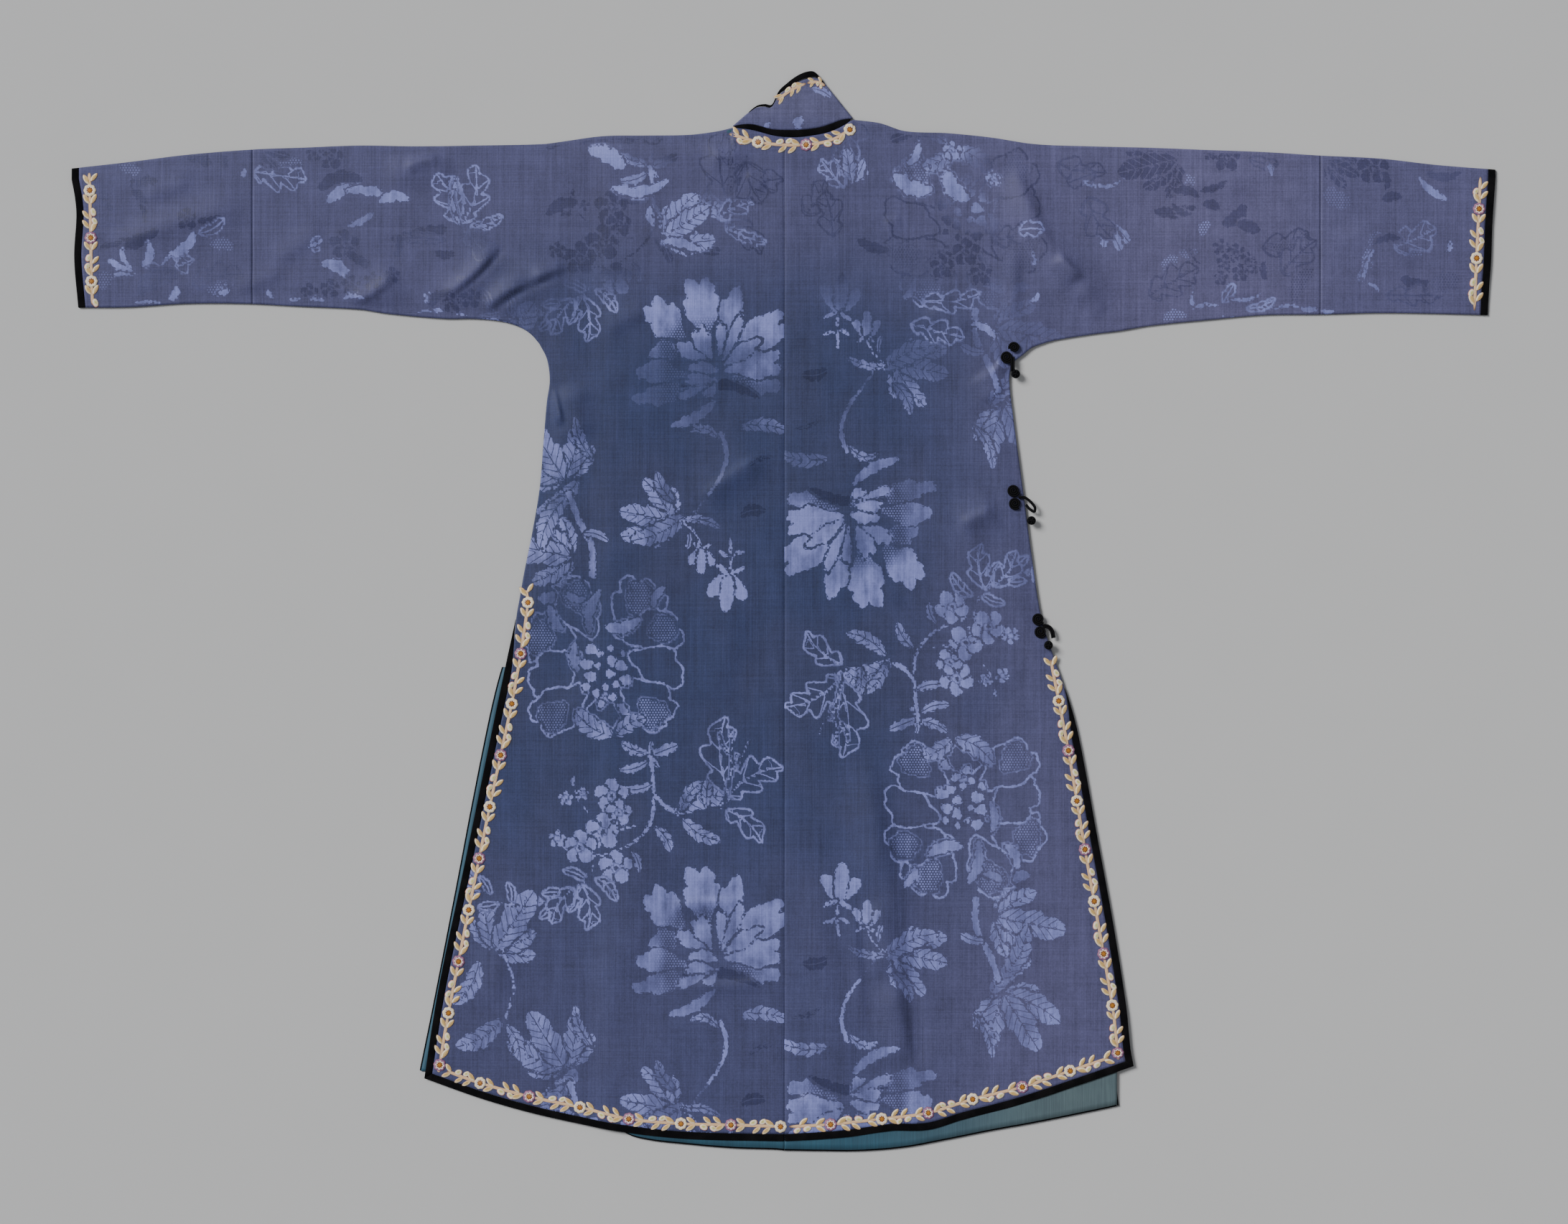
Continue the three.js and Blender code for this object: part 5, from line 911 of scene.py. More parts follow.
# What else the sleeves show, by place in the drawing's grid, with the shine in tenths. A leaf is
# x, y, turn, length, width, shine, and a word if it is drawn in line or filled with dots; a plum
# blossom is x, y, radius, shine; a lobed leaf is x, y, turn, size, shine.
SLEEVE_FIGURES = [
    (354, 240, -8, 58, 28, 9, "line"), (368, 232, 4, 44, 14, 6, "dots"), (462, 220, 14, -7),
    (438, 214, 10, -6), (366, 208, -20, 34, -6), (507, 250, 192, 52, 21, -8),
    (492, 258, 214, 36, 15, 8.5), (480, 266, -12, 58, 14, 10), (526, 282, 5, 36, 16, 10),
    (522, 296, 208, 34, 11, 6), (645, 312, 118, 62, 30, 10, "line"),
    (645, 312, 78, 66, 26, 10, "line"), (655, 318, 20, 38, 14, 10, "line"),
    (642, 300, 100, 42, 14, 10, "line"), (646, 322, 96, 62, 5.5, 10), (624, 316, 190, 42, 20, -8),
    (620, 335, 178, 58, 14, -5, "line"), (605, 352, 0, 24, 14, -8),
    (650, 322, -40, 44, 24, -3, "line"), (480, 342, 17, -5), (448, 366, -28, 36, 18, 9.5),
    (440, 352, 80, 18, 12, 9, "line"), (426, 348, 30, 24, 7, 8), (460, 402, 12, -7),
    (490, 398, 12, -6), (520, 392, 11, -7), (546, 384, 10, -5), (432, 408, 11, -7),
    (520, 372, 150, 34, 14, -6), (550, 362, 80, 30, 12, -5), (372, 402, -50, 14, 8, 9),
    (402, 418, 10, 16, 6, 9), (424, 419, 0, 24, 6, 9), (476, 418, 0, 28, 7, 10),
    (574, 436, -4, 64, 7, 10), (672, 443, -10, 32, 7, 9), (598, 415, 8, 9), (630, 422, 12, -7),
    (656, 416, 12, -5), (598, 430, 40, 32, 14, -6), (224, 320, 196, 58, 19, -9),
    (138, 344, 10, 28, 10, -9), (262, 306, 13, -9), (275, 308, 10, 28, 14, -8),
    (205, 316, 100, 38, 9, -7), (207, 286, 118, 36, 14, -6), (188, 260, 10, 28, 14, -6),
    (166, 230, -20, 26, 18, 5, "dots"), (230, 363, 42, 46, 16, 10),
    (278, 326, 30, 32, 14, 9, "line"), (288, 332, -10, 24, 7, 10),
    (292, 340, -10, 28, 18, 6, "dots"), (190, 382, 118, 34, 10, 10), (190, 382, 152, 36, 11, 10),
    (188, 384, 185, 34, 8, 8), (199, 374, 74, 30, 14, 8), (200, 384, 18, 58, 20, 6, "line"),
    (268, 395, 10, 56, 24, -4, "line"), (190, 410, 25, 52, 28, -4),
    (140, 405, 60, 24, 20, 5, "dots"), (288, 405, 10, 28, 18, 6, "dots"),
    (303, 410, 30, 16, 10, 10), (236, 420, 60, 20, 12, 9), (186, 422, 0, 32, 6, 9),
    (250, 215, -20, 38, 20, -5), (310, 214, -80, 18, 10, -5), (336, 249, 60, 12, 9, 9),
    (146, 262, -70, 30, 12, -4), (1472, 228, -10, 54, 24, -6, "line"),
    (1524, 242, 200, 32, 18, -5, "line"), (1640, 222, 195, 68, -9), (1564, 250, 190, 34, 7, 9),
    (1530, 262, 160, 18, 6, 9), (1652, 270, 80, 22, 16, 9, "dots"), (1672, 275, 170, 32, 14, -8),
    (1668, 268, 20, 36, 11, -8), (1667, 290, 184, 48, 18, -9), (1660, 300, 150, 26, 11, -7),
    (1672, 285, -10, 22, 14, -8), (1708, 220, 16, -9), (1686, 214, 9, -7),
    (1740, 222, -10, 32, 14, -5, "line"), (1765, 228, -70, 16, 8, 8), (1504, 290, -50, 16, 9, 9),
    (1545, 314, -70, 34, 10), (1528, 324, 30, 24, 7, 10), (1515, 275, -60, 52, 28, -5, "line"),
    (1700, 315, 40, 36, 20, -7), (1722, 310, -20, 28, 18, -7),
    (1672, 330, 60, 20, 16, 10, "dots"), (1700, 345, 10, -9), (1720, 352, 11, -9),
    (1738, 362, 9, -8), (1706, 367, 11, -9), (1727, 380, 11, -9), (1748, 374, 8, -8),
    (1700, 388, 9, -8), (1762, 393, 95, 24, 11, -9), (1800, 395, 90, 28, 12, -8),
    (1757, 347, 20, 54, 24, -7, "line"), (1765, 343, 4, 48, 11, -7, "dots"),
    (1785, 382, 45, 52, 26, -6, "line"), (1800, 424, 60, 46, 22, -6, "dots"),
    (1620, 380, 50, 24, 17, 10, "dots"), (1624, 394, 20, 18, 10, 10),
    (1640, 353, 10, 24, 14, 7, "dots"), (1654, 345, -50, 26, 6, -7),
    (1600, 413, 30, 62, 28, -6, "line"), (1668, 438, 100, 30, 6, 10), (1656, 434, 10, 34, 6, 9),
    (1703, 422, 60, 24, 12, 10, "line"), (1710, 416, 10, 40, 7, 10),
    (1735, 431, 20, 34, 11, 10, "line"), (1698, 440, -8, 52, 6, 8), (1770, 433, 5, 34, 6, 9),
    (1618, 446, 10, 28, 16, 10, "dots"), (1810, 432, 0, 20, 9, 9), (1838, 433, 0, 18, 8, 10),
    (1850, 224, -30, 42, -6), (1842, 264, -30, 36, 24, 4, "dots"), (1912, 235, 18, -7),
    (1925, 237, -80, 24, 12, -7), (1923, 279, 10, 24, 14, -7), (1973, 246, -38, 44, 11, 10),
    (1983, 240, 0, 42, 14, -5), (1890, 396, 75, 52, 16, 6, "dots"), (1896, 396, 70, 42, 7, 8),
    (1903, 394, -40, 18, 7, 9), (1958, 352, 20, 32, 28, 6, "dots"),
    (1940, 346, 25, 52, 28, 5, "line"), (1948, 386, -10, 38, 18, -7), (2014, 352, 70, 14, 9, 10),
    (1930, 412, 0, 62, 18, -5, "line"), (1905, 347, 50, 24, 14, 5, "dots"),
    (1912, 340, 10, 32, 12, -6), (1990, 402, 20, 36, 28, -5, "dots"),
    (1400, 384, 60, 52, 32, -5, "dots"), (1437, 422, 60, 14, 8, 10),
    (1385, 337, 20, 46, 20, -6, "line"), (1418, 322, 0, 28, 16, 9, "line"),
    (1434, 352, -70, 16, 6, 9), (1384, 250, 8, 10), (872, 236, 152, 46, 22, 13),
    (850, 262, 8, 66, 15, 13), (926, 330, 28, 66, 13), (920, 336, -14, 46, 14, 12),
    (912, 318, 100, 26, 9, 11), (1000, 304, 24, 44, 18, 8, "line"),
    (1010, 318, -20, 48, 14, 8, "line"), (1040, 226, -70, 48, 30, -8, "line"),
    (1186, 256, 96, 40, 11), (1176, 262, 130, 40, 18, 9, "line"), (1300, 266, 158, 48, 22, 13),
    (1350, 282, 128, 44, 22, 12), (1326, 210, 11, 13), (1262, 232, 60, 30, 12, 11),
    (1282, 420, 8, 66, 20, 8, "line"), (1268, 452, -14, 60, 22, 7, "line"),
    (1350, 450, -30, 34, 12, 9), (1345, 352, 16, -9), (1312, 372, 14, -8), (1366, 382, 13, -8),
    (1120, 300, 60, 44, 24, -7, "line"), (1160, 330, 100, 50, 24, -7, "line"),
    (1240, 350, 160, 40, 16, -7), (760, 300, 20, 40, 18, -8)]


LIT_SHARE, DARK_SHARE = 0.72, 0.6   # of a sleeve figure's shine


def sleeve_motifs(w):
    """The motifs of the sleeves, many of them seen dark."""
    for k, (x, y, *figure) in enumerate(SLEEVE_FIGURES):
        kind = figure.pop() if isinstance(figure[-1], str) else "leaf"
        tone = figure[-1] / 10
        tone = tone * (LIT_SHARE if tone > 0 else DARK_SHARE)
        at, shine = px(x, y), (tone * 0.7, tone)
        if len(figure) == 2:
            w.plum(at, figure[0], tone)
        elif len(figure) == 3:
            w.lobed_leaf(at, figure[0], figure[1], 1.0, 5, shine, 56)
        elif kind == "line":
            w.leaf(at, *figure[:3], k, 0.0, shine, 1.0, 0.1 * math.sin(k))
        else:
            turn, length, width, _ = figure
            outline = turned(leaf_outline(length, width, 0.14 * length * math.sin(k), 3), at, turn)
            w.put(outline, k, shine=shine, dots=1.8 if kind == "dots" else None)


# Where the satin catches the light: place and reach in the drawing's grid, and how much.
GLINTS = [
    (950, 425, 60, 42, 0.8), (985, 440, 80, 42, 0.6), (900, 460, 34, 32, 0.7),
    (1065, 455, 38, 34, 0.9), (950, 585, 30, 24, 0.3), (1050, 520, 30, 20, 0.5),
    (1075, 590, 40, 16, 0.35), (885, 668, 30, 28, 0.9), (930, 690, 40, 30, 0.8),
    (880, 742, 28, 30, 0.8), (955, 722, 44, 25, 0.7), (975, 775, 34, 34, 0.9),
    (1015, 818, 45, 40, 1.0), (800, 650, 44, 40, 0.7), (762, 752, 34, 44, 0.8),
    (828, 770, 40, 50, 0.6), (845, 228, 44, 22, 1.4), (905, 250, 44, 22, 1.3),
    (965, 302, 56, 30, 1.5), (828, 440, 40, 40, 0.7), (760, 620, 40, 60, 0.5),
    (1165, 478, 40, 40, 1.0), (1212, 512, 26, 26, 0.9), (1262, 560, 50, 34, 0.8),
    (1228, 610, 40, 36, 0.6), (1180, 660, 34, 34, 0.8), (1132, 740, 40, 56, 1.0),
    (1215, 700, 66, 30, 0.8), (1262, 800, 56, 44, 0.8), (1186, 830, 50, 26, 0.6),
    (1194, 224, 34, 34, 1.1), (1333, 206, 36, 22, 1.1), (1290, 244, 56, 28, 1.2),
    (1358, 292, 34, 28, 1.0), (1310, 430, 60, 30, 0.7), (1390, 560, 40, 50, 0.7),
    (1370, 640, 40, 50, 0.6), (1390, 800, 40, 40, 0.4)]


def light_level(x, y):
    """Light on the satin: dark across the shoulders, even on the skirt, with glints between."""
    gx, gy = x / GRID + GRID_X, GRID_Y - y / GRID
    level = lerp(-0.5, 0.08, soft((gy - 340) / 110)) + 0.2 * soft((gy - 560) / 160)
    level = level + 0.5 * soft((gy - 800) / 160)
    for cx, cy, rx, ry, amount in GLINTS:
        level = level + amount * np.exp(-((gx - cx) / rx) ** 2 - ((gy - cy) / ry) ** 2)
    return np.clip(level, -0.6, 1.05)


def weave(x, y, sign):
    """The whole damask at these places: the repeat, and on the right half the same turned."""
    damask = Damask(x, y)
    for k in (-1, 0, 1):
        if sign < 0:
            place = lambda pts, k=k: pts + np.array([0, k * REPEAT])
        else:
            place = lambda pts, k=k: np.array([-0.8, LOOM_TURN + k * REPEAT]) - pts
        one_repeat(Weaver(damask, place))
    sleeve_motifs(Weaver(damask, lambda pts: pts, True))
    damask.light(light_level(x, y))
    return damask


# ---- shader maths ------------------------------------------------------------------------------
def maths(operation, swap=False):
    """A method that adds one Math node of that operation, its two values swapped if asked."""
    def method(self, *others):
        """The node's result for this signal and the others."""
        values = (*others, self) if swap else (self, *others)
        node = self.paint.node("ShaderNodeMath", {"operation": operation}, dict(enumerate(values)))
        return Signal(self.paint, node.outputs[0])
    return method


class Signal:
    """A number in a material; arithmetic on it adds Math nodes."""

    def __init__(self, paint, socket):
        self.paint, self.socket = paint, socket

    __add__ = __radd__ = maths("ADD")
    __sub__, __rsub__ = maths("SUBTRACT"), maths("SUBTRACT", True)
    __mul__ = __rmul__ = maths("MULTIPLY")
    __truediv__, __pow__, __abs__ = maths("DIVIDE"), maths("POWER"), maths("ABSOLUTE")
    floor, fract, sine, most = maths("FLOOR"), maths("FRACT"), maths("SINE"), maths("MAXIMUM")

    def ramp(self, low, high, start=0.0, stop=1.0):
        """Smooth step from start to stop as the number goes from low to high."""
        node = self.paint.node("ShaderNodeMapRange", {"interpolation_type": "SMOOTHSTEP"}, {
            "Value": self, "From Min": low, "From Max": high, "To Min": start, "To Max": stop})
        return Signal(self.paint, node.outputs[0])


class Paint:
    """A material under construction."""

    def __init__(self, name):
        self.material = bpy.data.materials.new(name)
        self.material.use_nodes = True
        self.tree = self.material.node_tree
        self.shader = self.tree.nodes["Principled BSDF"]

    def node(self, kind, settings=None, sockets=None):
        """One node: its settings first, then the values or links of its sockets."""
        node = self.tree.nodes.new(kind)
        for key, value in (settings or {}).items():
            setattr(node, key, value)
        for key, value in (sockets or {}).items():
            self.feed(node.inputs[key], value)
        return node

    def feed(self, socket, value):
        """Links a signal or socket, or sets a plain value; a colour of three gets a fourth."""
        if socket.type == "RGBA" and isinstance(value, tuple):
            value = (*value, 1)
        if isinstance(value, Signal):
            self.tree.links.new(value.socket, socket)
        elif isinstance(value, bpy.types.NodeSocket):
            self.tree.links.new(value, socket)
        else:
            socket.default_value = value

    def coords(self, scale=(1, 1, 1), turn=0.0):
        """Object coordinates in millimetres times a scale, turned about Z."""
        where = self.node("ShaderNodeTexCoord").outputs["Object"]
        return self.node("ShaderNodeMapping", None, {
            "Vector": where, "Scale": tuple(1000 * s for s in scale),
            "Rotation": (0, 0, math.radians(turn))}).outputs[0]

    def parts(self, vector):
        """The three numbers of a vector."""
        node = self.node("ShaderNodeSeparateXYZ", None, {0: vector})
        return [Signal(self, out) for out in node.outputs]

    def unrolled(self):
        """The two numbers of the UV map, and nothing."""
        return self.parts(self.node("ShaderNodeUVMap", {"uv_map": "UVMap"}).outputs[0])

    def field(self, name):
        """The three numbers of a piece's own attribute."""
        node = self.node("ShaderNodeAttribute", {"attribute_name": name})
        return self.parts(node.outputs["Vector"])

    def noise(self, scale, detail=2.0, rough=0.5, turn=0.0):
        """Even noise about 0.5, with so many waves to the millimetre along each axis."""
        node = self.node("ShaderNodeTexNoise", None, {
            "Vector": self.coords(scale, turn), "Scale": 1.0, "Detail": detail,
            "Roughness": rough})
        return Signal(self, node.outputs[0])

    def mix(self, share, first, second, blend="MIX"):
        """A colour between two colours."""
        node = self.node("ShaderNodeMix", {"data_type": "RGBA", "blend_type": blend})
        for index, value in ((0, share), (6, first), (7, second)):
            self.feed(node.inputs[index], value)
        return node.outputs[2]

    def times(self, first, second):
        """The product of two colours, part by part."""
        return self.mix(1.0, first, second, "MULTIPLY")

    def bump(self, height, distance, strength=1.0):
        """Small relief of a height signal into the shader's normal."""
        node = self.node("ShaderNodeBump", None, {
            "Height": height, "Distance": distance * MM, "Strength": strength})
        self.feed(self.shader.inputs["Normal"], node.outputs[0])

    def set(self, **values):
        """Values or links of the shader's sockets, spaces in their names as underscores."""
        for key, value in values.items():
            self.feed(self.shader.inputs[key.replace("_", " ")], value)


def linear(colour):
    """A colour as seen, 0 to 255, in the renderer's linear numbers."""
    c = np.asarray(colour, float) / 255
    return tuple(float(v) for v in np.where(c <= 0.04045, c / 12.92, ((c + 0.055) / 1.055) ** 2.4))


def tint(colour, red, green, blue):
    """A colour with each of its parts times a factor."""
    return (float(colour[0] * red), float(colour[1] * green), float(colour[2] * blue))


def shade(colour, factor):
    """A colour times one factor."""
    return tint(colour, factor, factor, factor)


STAIR = 2.2                    # step of the woven figures' edges, mm
DOT_PITCH = (3.1, 2.7)         # between the dots of a stippled patch, across and up
# Where the ground's tone changes, in mm: upwards, outwards, upwards, downwards, upwards.
SHOULDERS, SLEEVES, UNDERARM = (270, 450), (230, 380), (200, 300)
SKIRT, NECK = (-120, -430), (520, 545)


def silk_paint(colours):
    """Damask: slubby dull ground and smooth satin figures. A figure is where a distance field is
    over a ragged threshold, less its ribs and the ground between its dots; a drawn one is where
    the distance is near nothing. The ground's tone changes by place: paler across the shoulders
    and the hem, redder to the right, most from about 400 to 520 mm; the bluer stretch from about
    240 to 330 mm is painted shade of the sleeve's fold."""
    p = Paint("silk_damask")
    x, y, _ = p.parts(p.coords())
    a, b, satin = p.field("pattern")
    vein, dots, shine = p.field("detail")
    stepped = p.node("ShaderNodeCombineXYZ", None, {
        0: (x / STAIR).floor(), 1: (y / STAIR).floor(), 2: 0.0}).outputs[0]
    ragged = Signal(p, p.node("ShaderNodeTexWhiteNoise", {"noise_dimensions": "3D"},
                              {"Vector": stepped}).outputs[0]) - 0.5
    uneven = p.noise((0.13, 0.13, 0.1), 2.0, 0.6) - 0.5
    inside = a.most(b) + ragged * 1.9 + uneven * 2.2
    filled = inside.ramp(0.85, 1.25)
    outline = abs(a.most(b) + ragged * 1.2 + uneven * 2.2).ramp(1.45, 0.85)
    ribs = abs(vein + ragged * 0.7).ramp(0.35, 0.8)
    wide, high = DOT_PITCH
    across = ((x / wide + (y / high).floor() * 0.5).fract() - 0.5) * wide
    up = ((y / high).fract() - 0.5) * high
    spot = ((across * across + up * up) ** 0.5).ramp(1.15, 0.75)
    stipple = 1 - dots * (1 - spot)
    drawn = outline.most(abs(vein + ragged * 0.9).ramp(1.2, 0.6) * filled)
    figure = (satin * filled * ribs * stipple).most((1 - satin) * drawn)

    warp = p.noise((0.62, 0.011, 0.1), 4.0, 0.75)
    slub = p.noise((0.2, 0.005, 0.1), 3.0, 0.7)
    weft = p.noise((0.01, 0.7, 0.1), 3.0, 0.7)
    broad = p.noise((0.008, 0.006, 0.01), 3.0, 0.55)
    patch = p.noise((0.05, 0.034, 0.02), 3.0, 0.6, 25)
    grain = p.noise((0.55, 0.55, 0.1), 2.0, 0.7)
    paler_above = y.ramp(*SHOULDERS).most(abs(x).ramp(*SLEEVES) * y.ramp(*UNDERARM))
    # Redder and paler to the right; the lower weight from about 240 to 330 mm is painted shade of
    # the sleeve's fold.
    right = x.ramp(60, 300) * 0.6 + x.ramp(330, 420) * 0.35 - x.ramp(520, 630) * 0.5
    ground = p.mix(broad.ramp(0.36, 0.64), colours["ground"], colours["ground_warm"])
    ground = p.mix(y.ramp(*SKIRT) * 0.7, ground, colours["ground_low"])
    ground = p.mix(paler_above, ground, colours["ground_top"])
    ground = p.mix(right, ground, colours["ground_right"])
    ground = p.mix(y.ramp(*NECK), ground, colours["ground_collar"])
    bright = (1 + (warp - 0.5) * 0.8 + (slub - 0.5) * 0.5 + (weft - 0.5) * 0.6 + (grain - 0.5) * 0.7
              + (patch - 0.5) * 0.5)
    tone = p.node("ShaderNodeCombineColor", None, {0: bright, 1: bright, 2: bright}).outputs[0]
    ground = p.times(ground, tone)
    satin_tone = p.mix(0.6, colours["figure"], p.times(colours["figure"], tone))
    # The figures' shine is painted light: high shine gives a painted highlight, and below nothing a
    # figure takes dark, a painted shade darker than the ground.
    dark = p.times(ground, (0.62, 0.63, 0.7))
    caught = shine * ((patch - 0.5) * 2.2 + (slub - 0.5) * 1.2 + 1)
    lit = p.mix(caught.ramp(-0.05, 1.0, 0.1, 1.0), ground, satin_tone)
    lit = p.mix(shine.ramp(-0.4, 0.0), dark, lit)
    p.set(Base_Color=p.mix(figure, ground, lit),
          Roughness=figure * -0.14 + 0.62 + (grain - 0.5) * 0.2, Specular_IOR_Level=0.3)
    p.bump((warp - 0.5) * 1.2 + (weft - 0.5) * 0.7 + (grain - 0.5) * 0.5, 0.35, 0.7)
    return p.material


def plain_silk_paint(colours):
    """The same silk on hidden fronts, without figures."""
    p = Paint("silk_plain")
    warp = p.noise((0.9, 0.012, 0.1), 3.0, 0.7)
    weft = p.noise((0.014, 1.1, 0.1), 2.0, 0.6)
    p.set(Base_Color=p.mix(warp, colours["ground"], colours["ground_low"]),
          Roughness=0.6, Sheen_Weight=0.12)
    p.bump(warp + weft * 0.7, 0.35, 0.6)
    return p.material


def lining_paint(colours):
    """Teal lining: fine plain weave with vertical slubs and a few darker rubs."""
    p = Paint("silk_lining")
    warp = p.noise((0.8, 0.02, 0.1), 3.0, 0.7)
    rub = p.noise((0.02, 0.014, 0.02), 3.0, 0.6)
    x, _, _ = p.parts(p.coords())
    tone = p.mix(x.ramp(60, 330), colours["lining"], colours["lining_worn"])
    tone = p.mix(rub.ramp(0.35, 0.65), tone, p.times(tone, (1.35, 1.3, 1.25)))
    darker = p.times(tone, (0.72, 0.74, 0.76))
    p.set(Base_Color=p.mix(warp.ramp(0.3, 0.75), darker, tone),
          Roughness=0.62, Sheen_Weight=0.1)
    p.bump(warp, 0.3, 0.6)
    return p.material


def velvet_paint(colours):
    """Black velvet: deep pile, darker and lighter where it is brushed, with dust in places."""
    p = Paint("velvet_black")
    pile = p.noise((1.6, 1.6, 1.6), 3.0, 0.8)
    brush = p.noise((0.06, 0.06, 0.06), 2.0, 0.5)
    tone = p.mix(brush.ramp(0.35, 0.7), colours["velvet"], colours["velvet_brushed"])
    lit = p.times(tone, (2.2, 2.1, 2.1))
    p.set(Base_Color=p.mix(pile.ramp(0.45, 0.8), tone, lit),
          Roughness=0.95, Sheen_Weight=0.04, Sheen_Roughness=0.4, Specular_IOR_Level=0.08)
    p.bump(pile, 0.5, 0.8)
    return p.material


def thread_paint(_):
    """Embroidery: each thread's colour from the piece, with fine ridges along the stitches."""
    p = Paint("silk_embroidery")
    thread = p.node("ShaderNodeAttribute", {"attribute_name": "thread"}).outputs["Color"]
    ridge = (p.unrolled()[1] * 6.28).sine() * 0.5 + 0.5
    fleck = p.noise((0.9, 0.9, 0.9), 2.0, 0.6)
    # The darker colour in the low parts of the stitch ridges is painted shade between the stitches;
    # the fleck noise adds random tone to it.
    darker = p.times(thread, (0.74, 0.7, 0.66))
    p.set(Base_Color=p.mix((ridge * 0.5 + fleck * 0.75).ramp(0.25, 0.85), darker, thread),
          Roughness=0.42, Specular_IOR_Level=0.45, Sheen_Weight=0.15)
    p.bump(ridge, 0.25, 0.6)
    return p.material


def cord_paint(colours):
    """Black wound cord: slanting turns of thread round it."""
    p = Paint("cord_black")
    along, round_it = p.unrolled()[:2]
    turns = (along * 5.2 + round_it * 6.283 * 2).sine() * 0.5 + 0.5
    # The lighter colour on the crest of each turn is a painted highlight, and the darker between
    # the turns painted shade.
    p.set(Base_Color=p.mix(turns, colours["velvet"], colours["cord_light"]), Roughness=0.8,
          Specular_IOR_Level=0.12)
    p.bump(turns, 0.3, 0.8)
    return p.material


def floor_paint(colours):
    """The floor: one dull tone, very slightly uneven."""
    p = Paint("floor")
    speck = p.noise((0.01, 0.01, 0.01), 2.0, 0.5)
    tone = colours["floor"]
    p.set(Base_Color=p.mix(speck, shade(tone, 0.985), shade(tone, 1.015)), Roughness=0.9,
          Specular_IOR_Level=0.1)
    return p.material


MATERIALS = {}
PAINTS = {"silk": silk_paint, "plain": plain_silk_paint, "lining": lining_paint,
          "velvet": velvet_paint, "cord": cord_paint, "thread": thread_paint, "floor": floor_paint}


# ---- settings ----------------------------------------------------------------------------------
def colour(name, description, seen):
    """A colour that a user may change; seen is its look, 0 to 255."""
    return FloatVectorProperty(name=name, description=description, subtype="COLOR", size=3,
                               min=0, max=1, default=linear(seen))


class RobeColours(bpy.types.PropertyGroup):
    """Colours a user may change."""
    ground: colour("Silk ground", "Dull ground of the damask", (45, 54, 90))
    figure: colour("Silk figure", "Satin figures of the damask", (122, 128, 190))
    lining: colour("Lining", "Silk lining where it shows", (26, 72, 92))
    velvet: colour("Velvet", "Bindings and frogs", (7, 7, 9))
    floor: colour("Floor", "The surface it lies on", (186, 186, 186))


class RobeSizes(bpy.types.PropertyGroup):
    """Sizes a user may change."""
    spacing: FloatProperty(name="Cloth points", description="Between points of the back, mm",
                           default=SPACING, min=1.5, max=12)
    light: FloatProperty(name="Light", description="Strength of the slanting soft light",
                         default=3.9, min=0.1, max=20)


def palette():
    """All finishes' colours, worked out from the few that a user sets."""
    colours = bpy.context.scene.robe_colours
    found = {key: tuple(getattr(colours, key)) for key in RobeColours.__annotations__}
    for name, factors in (("warm", (1.22, 1.06, 0.98)), ("top", (2.4, 1.74, 1.45)),
                          ("low", (2.1, 1.56, 1.34)), ("collar", (3.1, 2.2, 1.66)),
                          ("right", (3.4, 2.3, 1.76))):
        found["ground_" + name] = tint(found["ground"], *factors)
    return {**found, "lining_worn": linear((72, 90, 96)), "velvet_brushed": linear((15, 14, 16)),
            "cord_light": linear((16, 16, 19))}


def finish(name):
    """The finish of that name, made once."""
    if name not in MATERIALS:
        MATERIALS[name] = PAINTS[name](palette())
    return MATERIALS[name]


# ---- cloth pieces ------------------------------------------------------------------------------
def place(half, x, y, z):
    """Points of a half, measured outwards, at their true X."""
    return np.stack(np.broadcast_arrays(half.sign * x, y, z), -1)


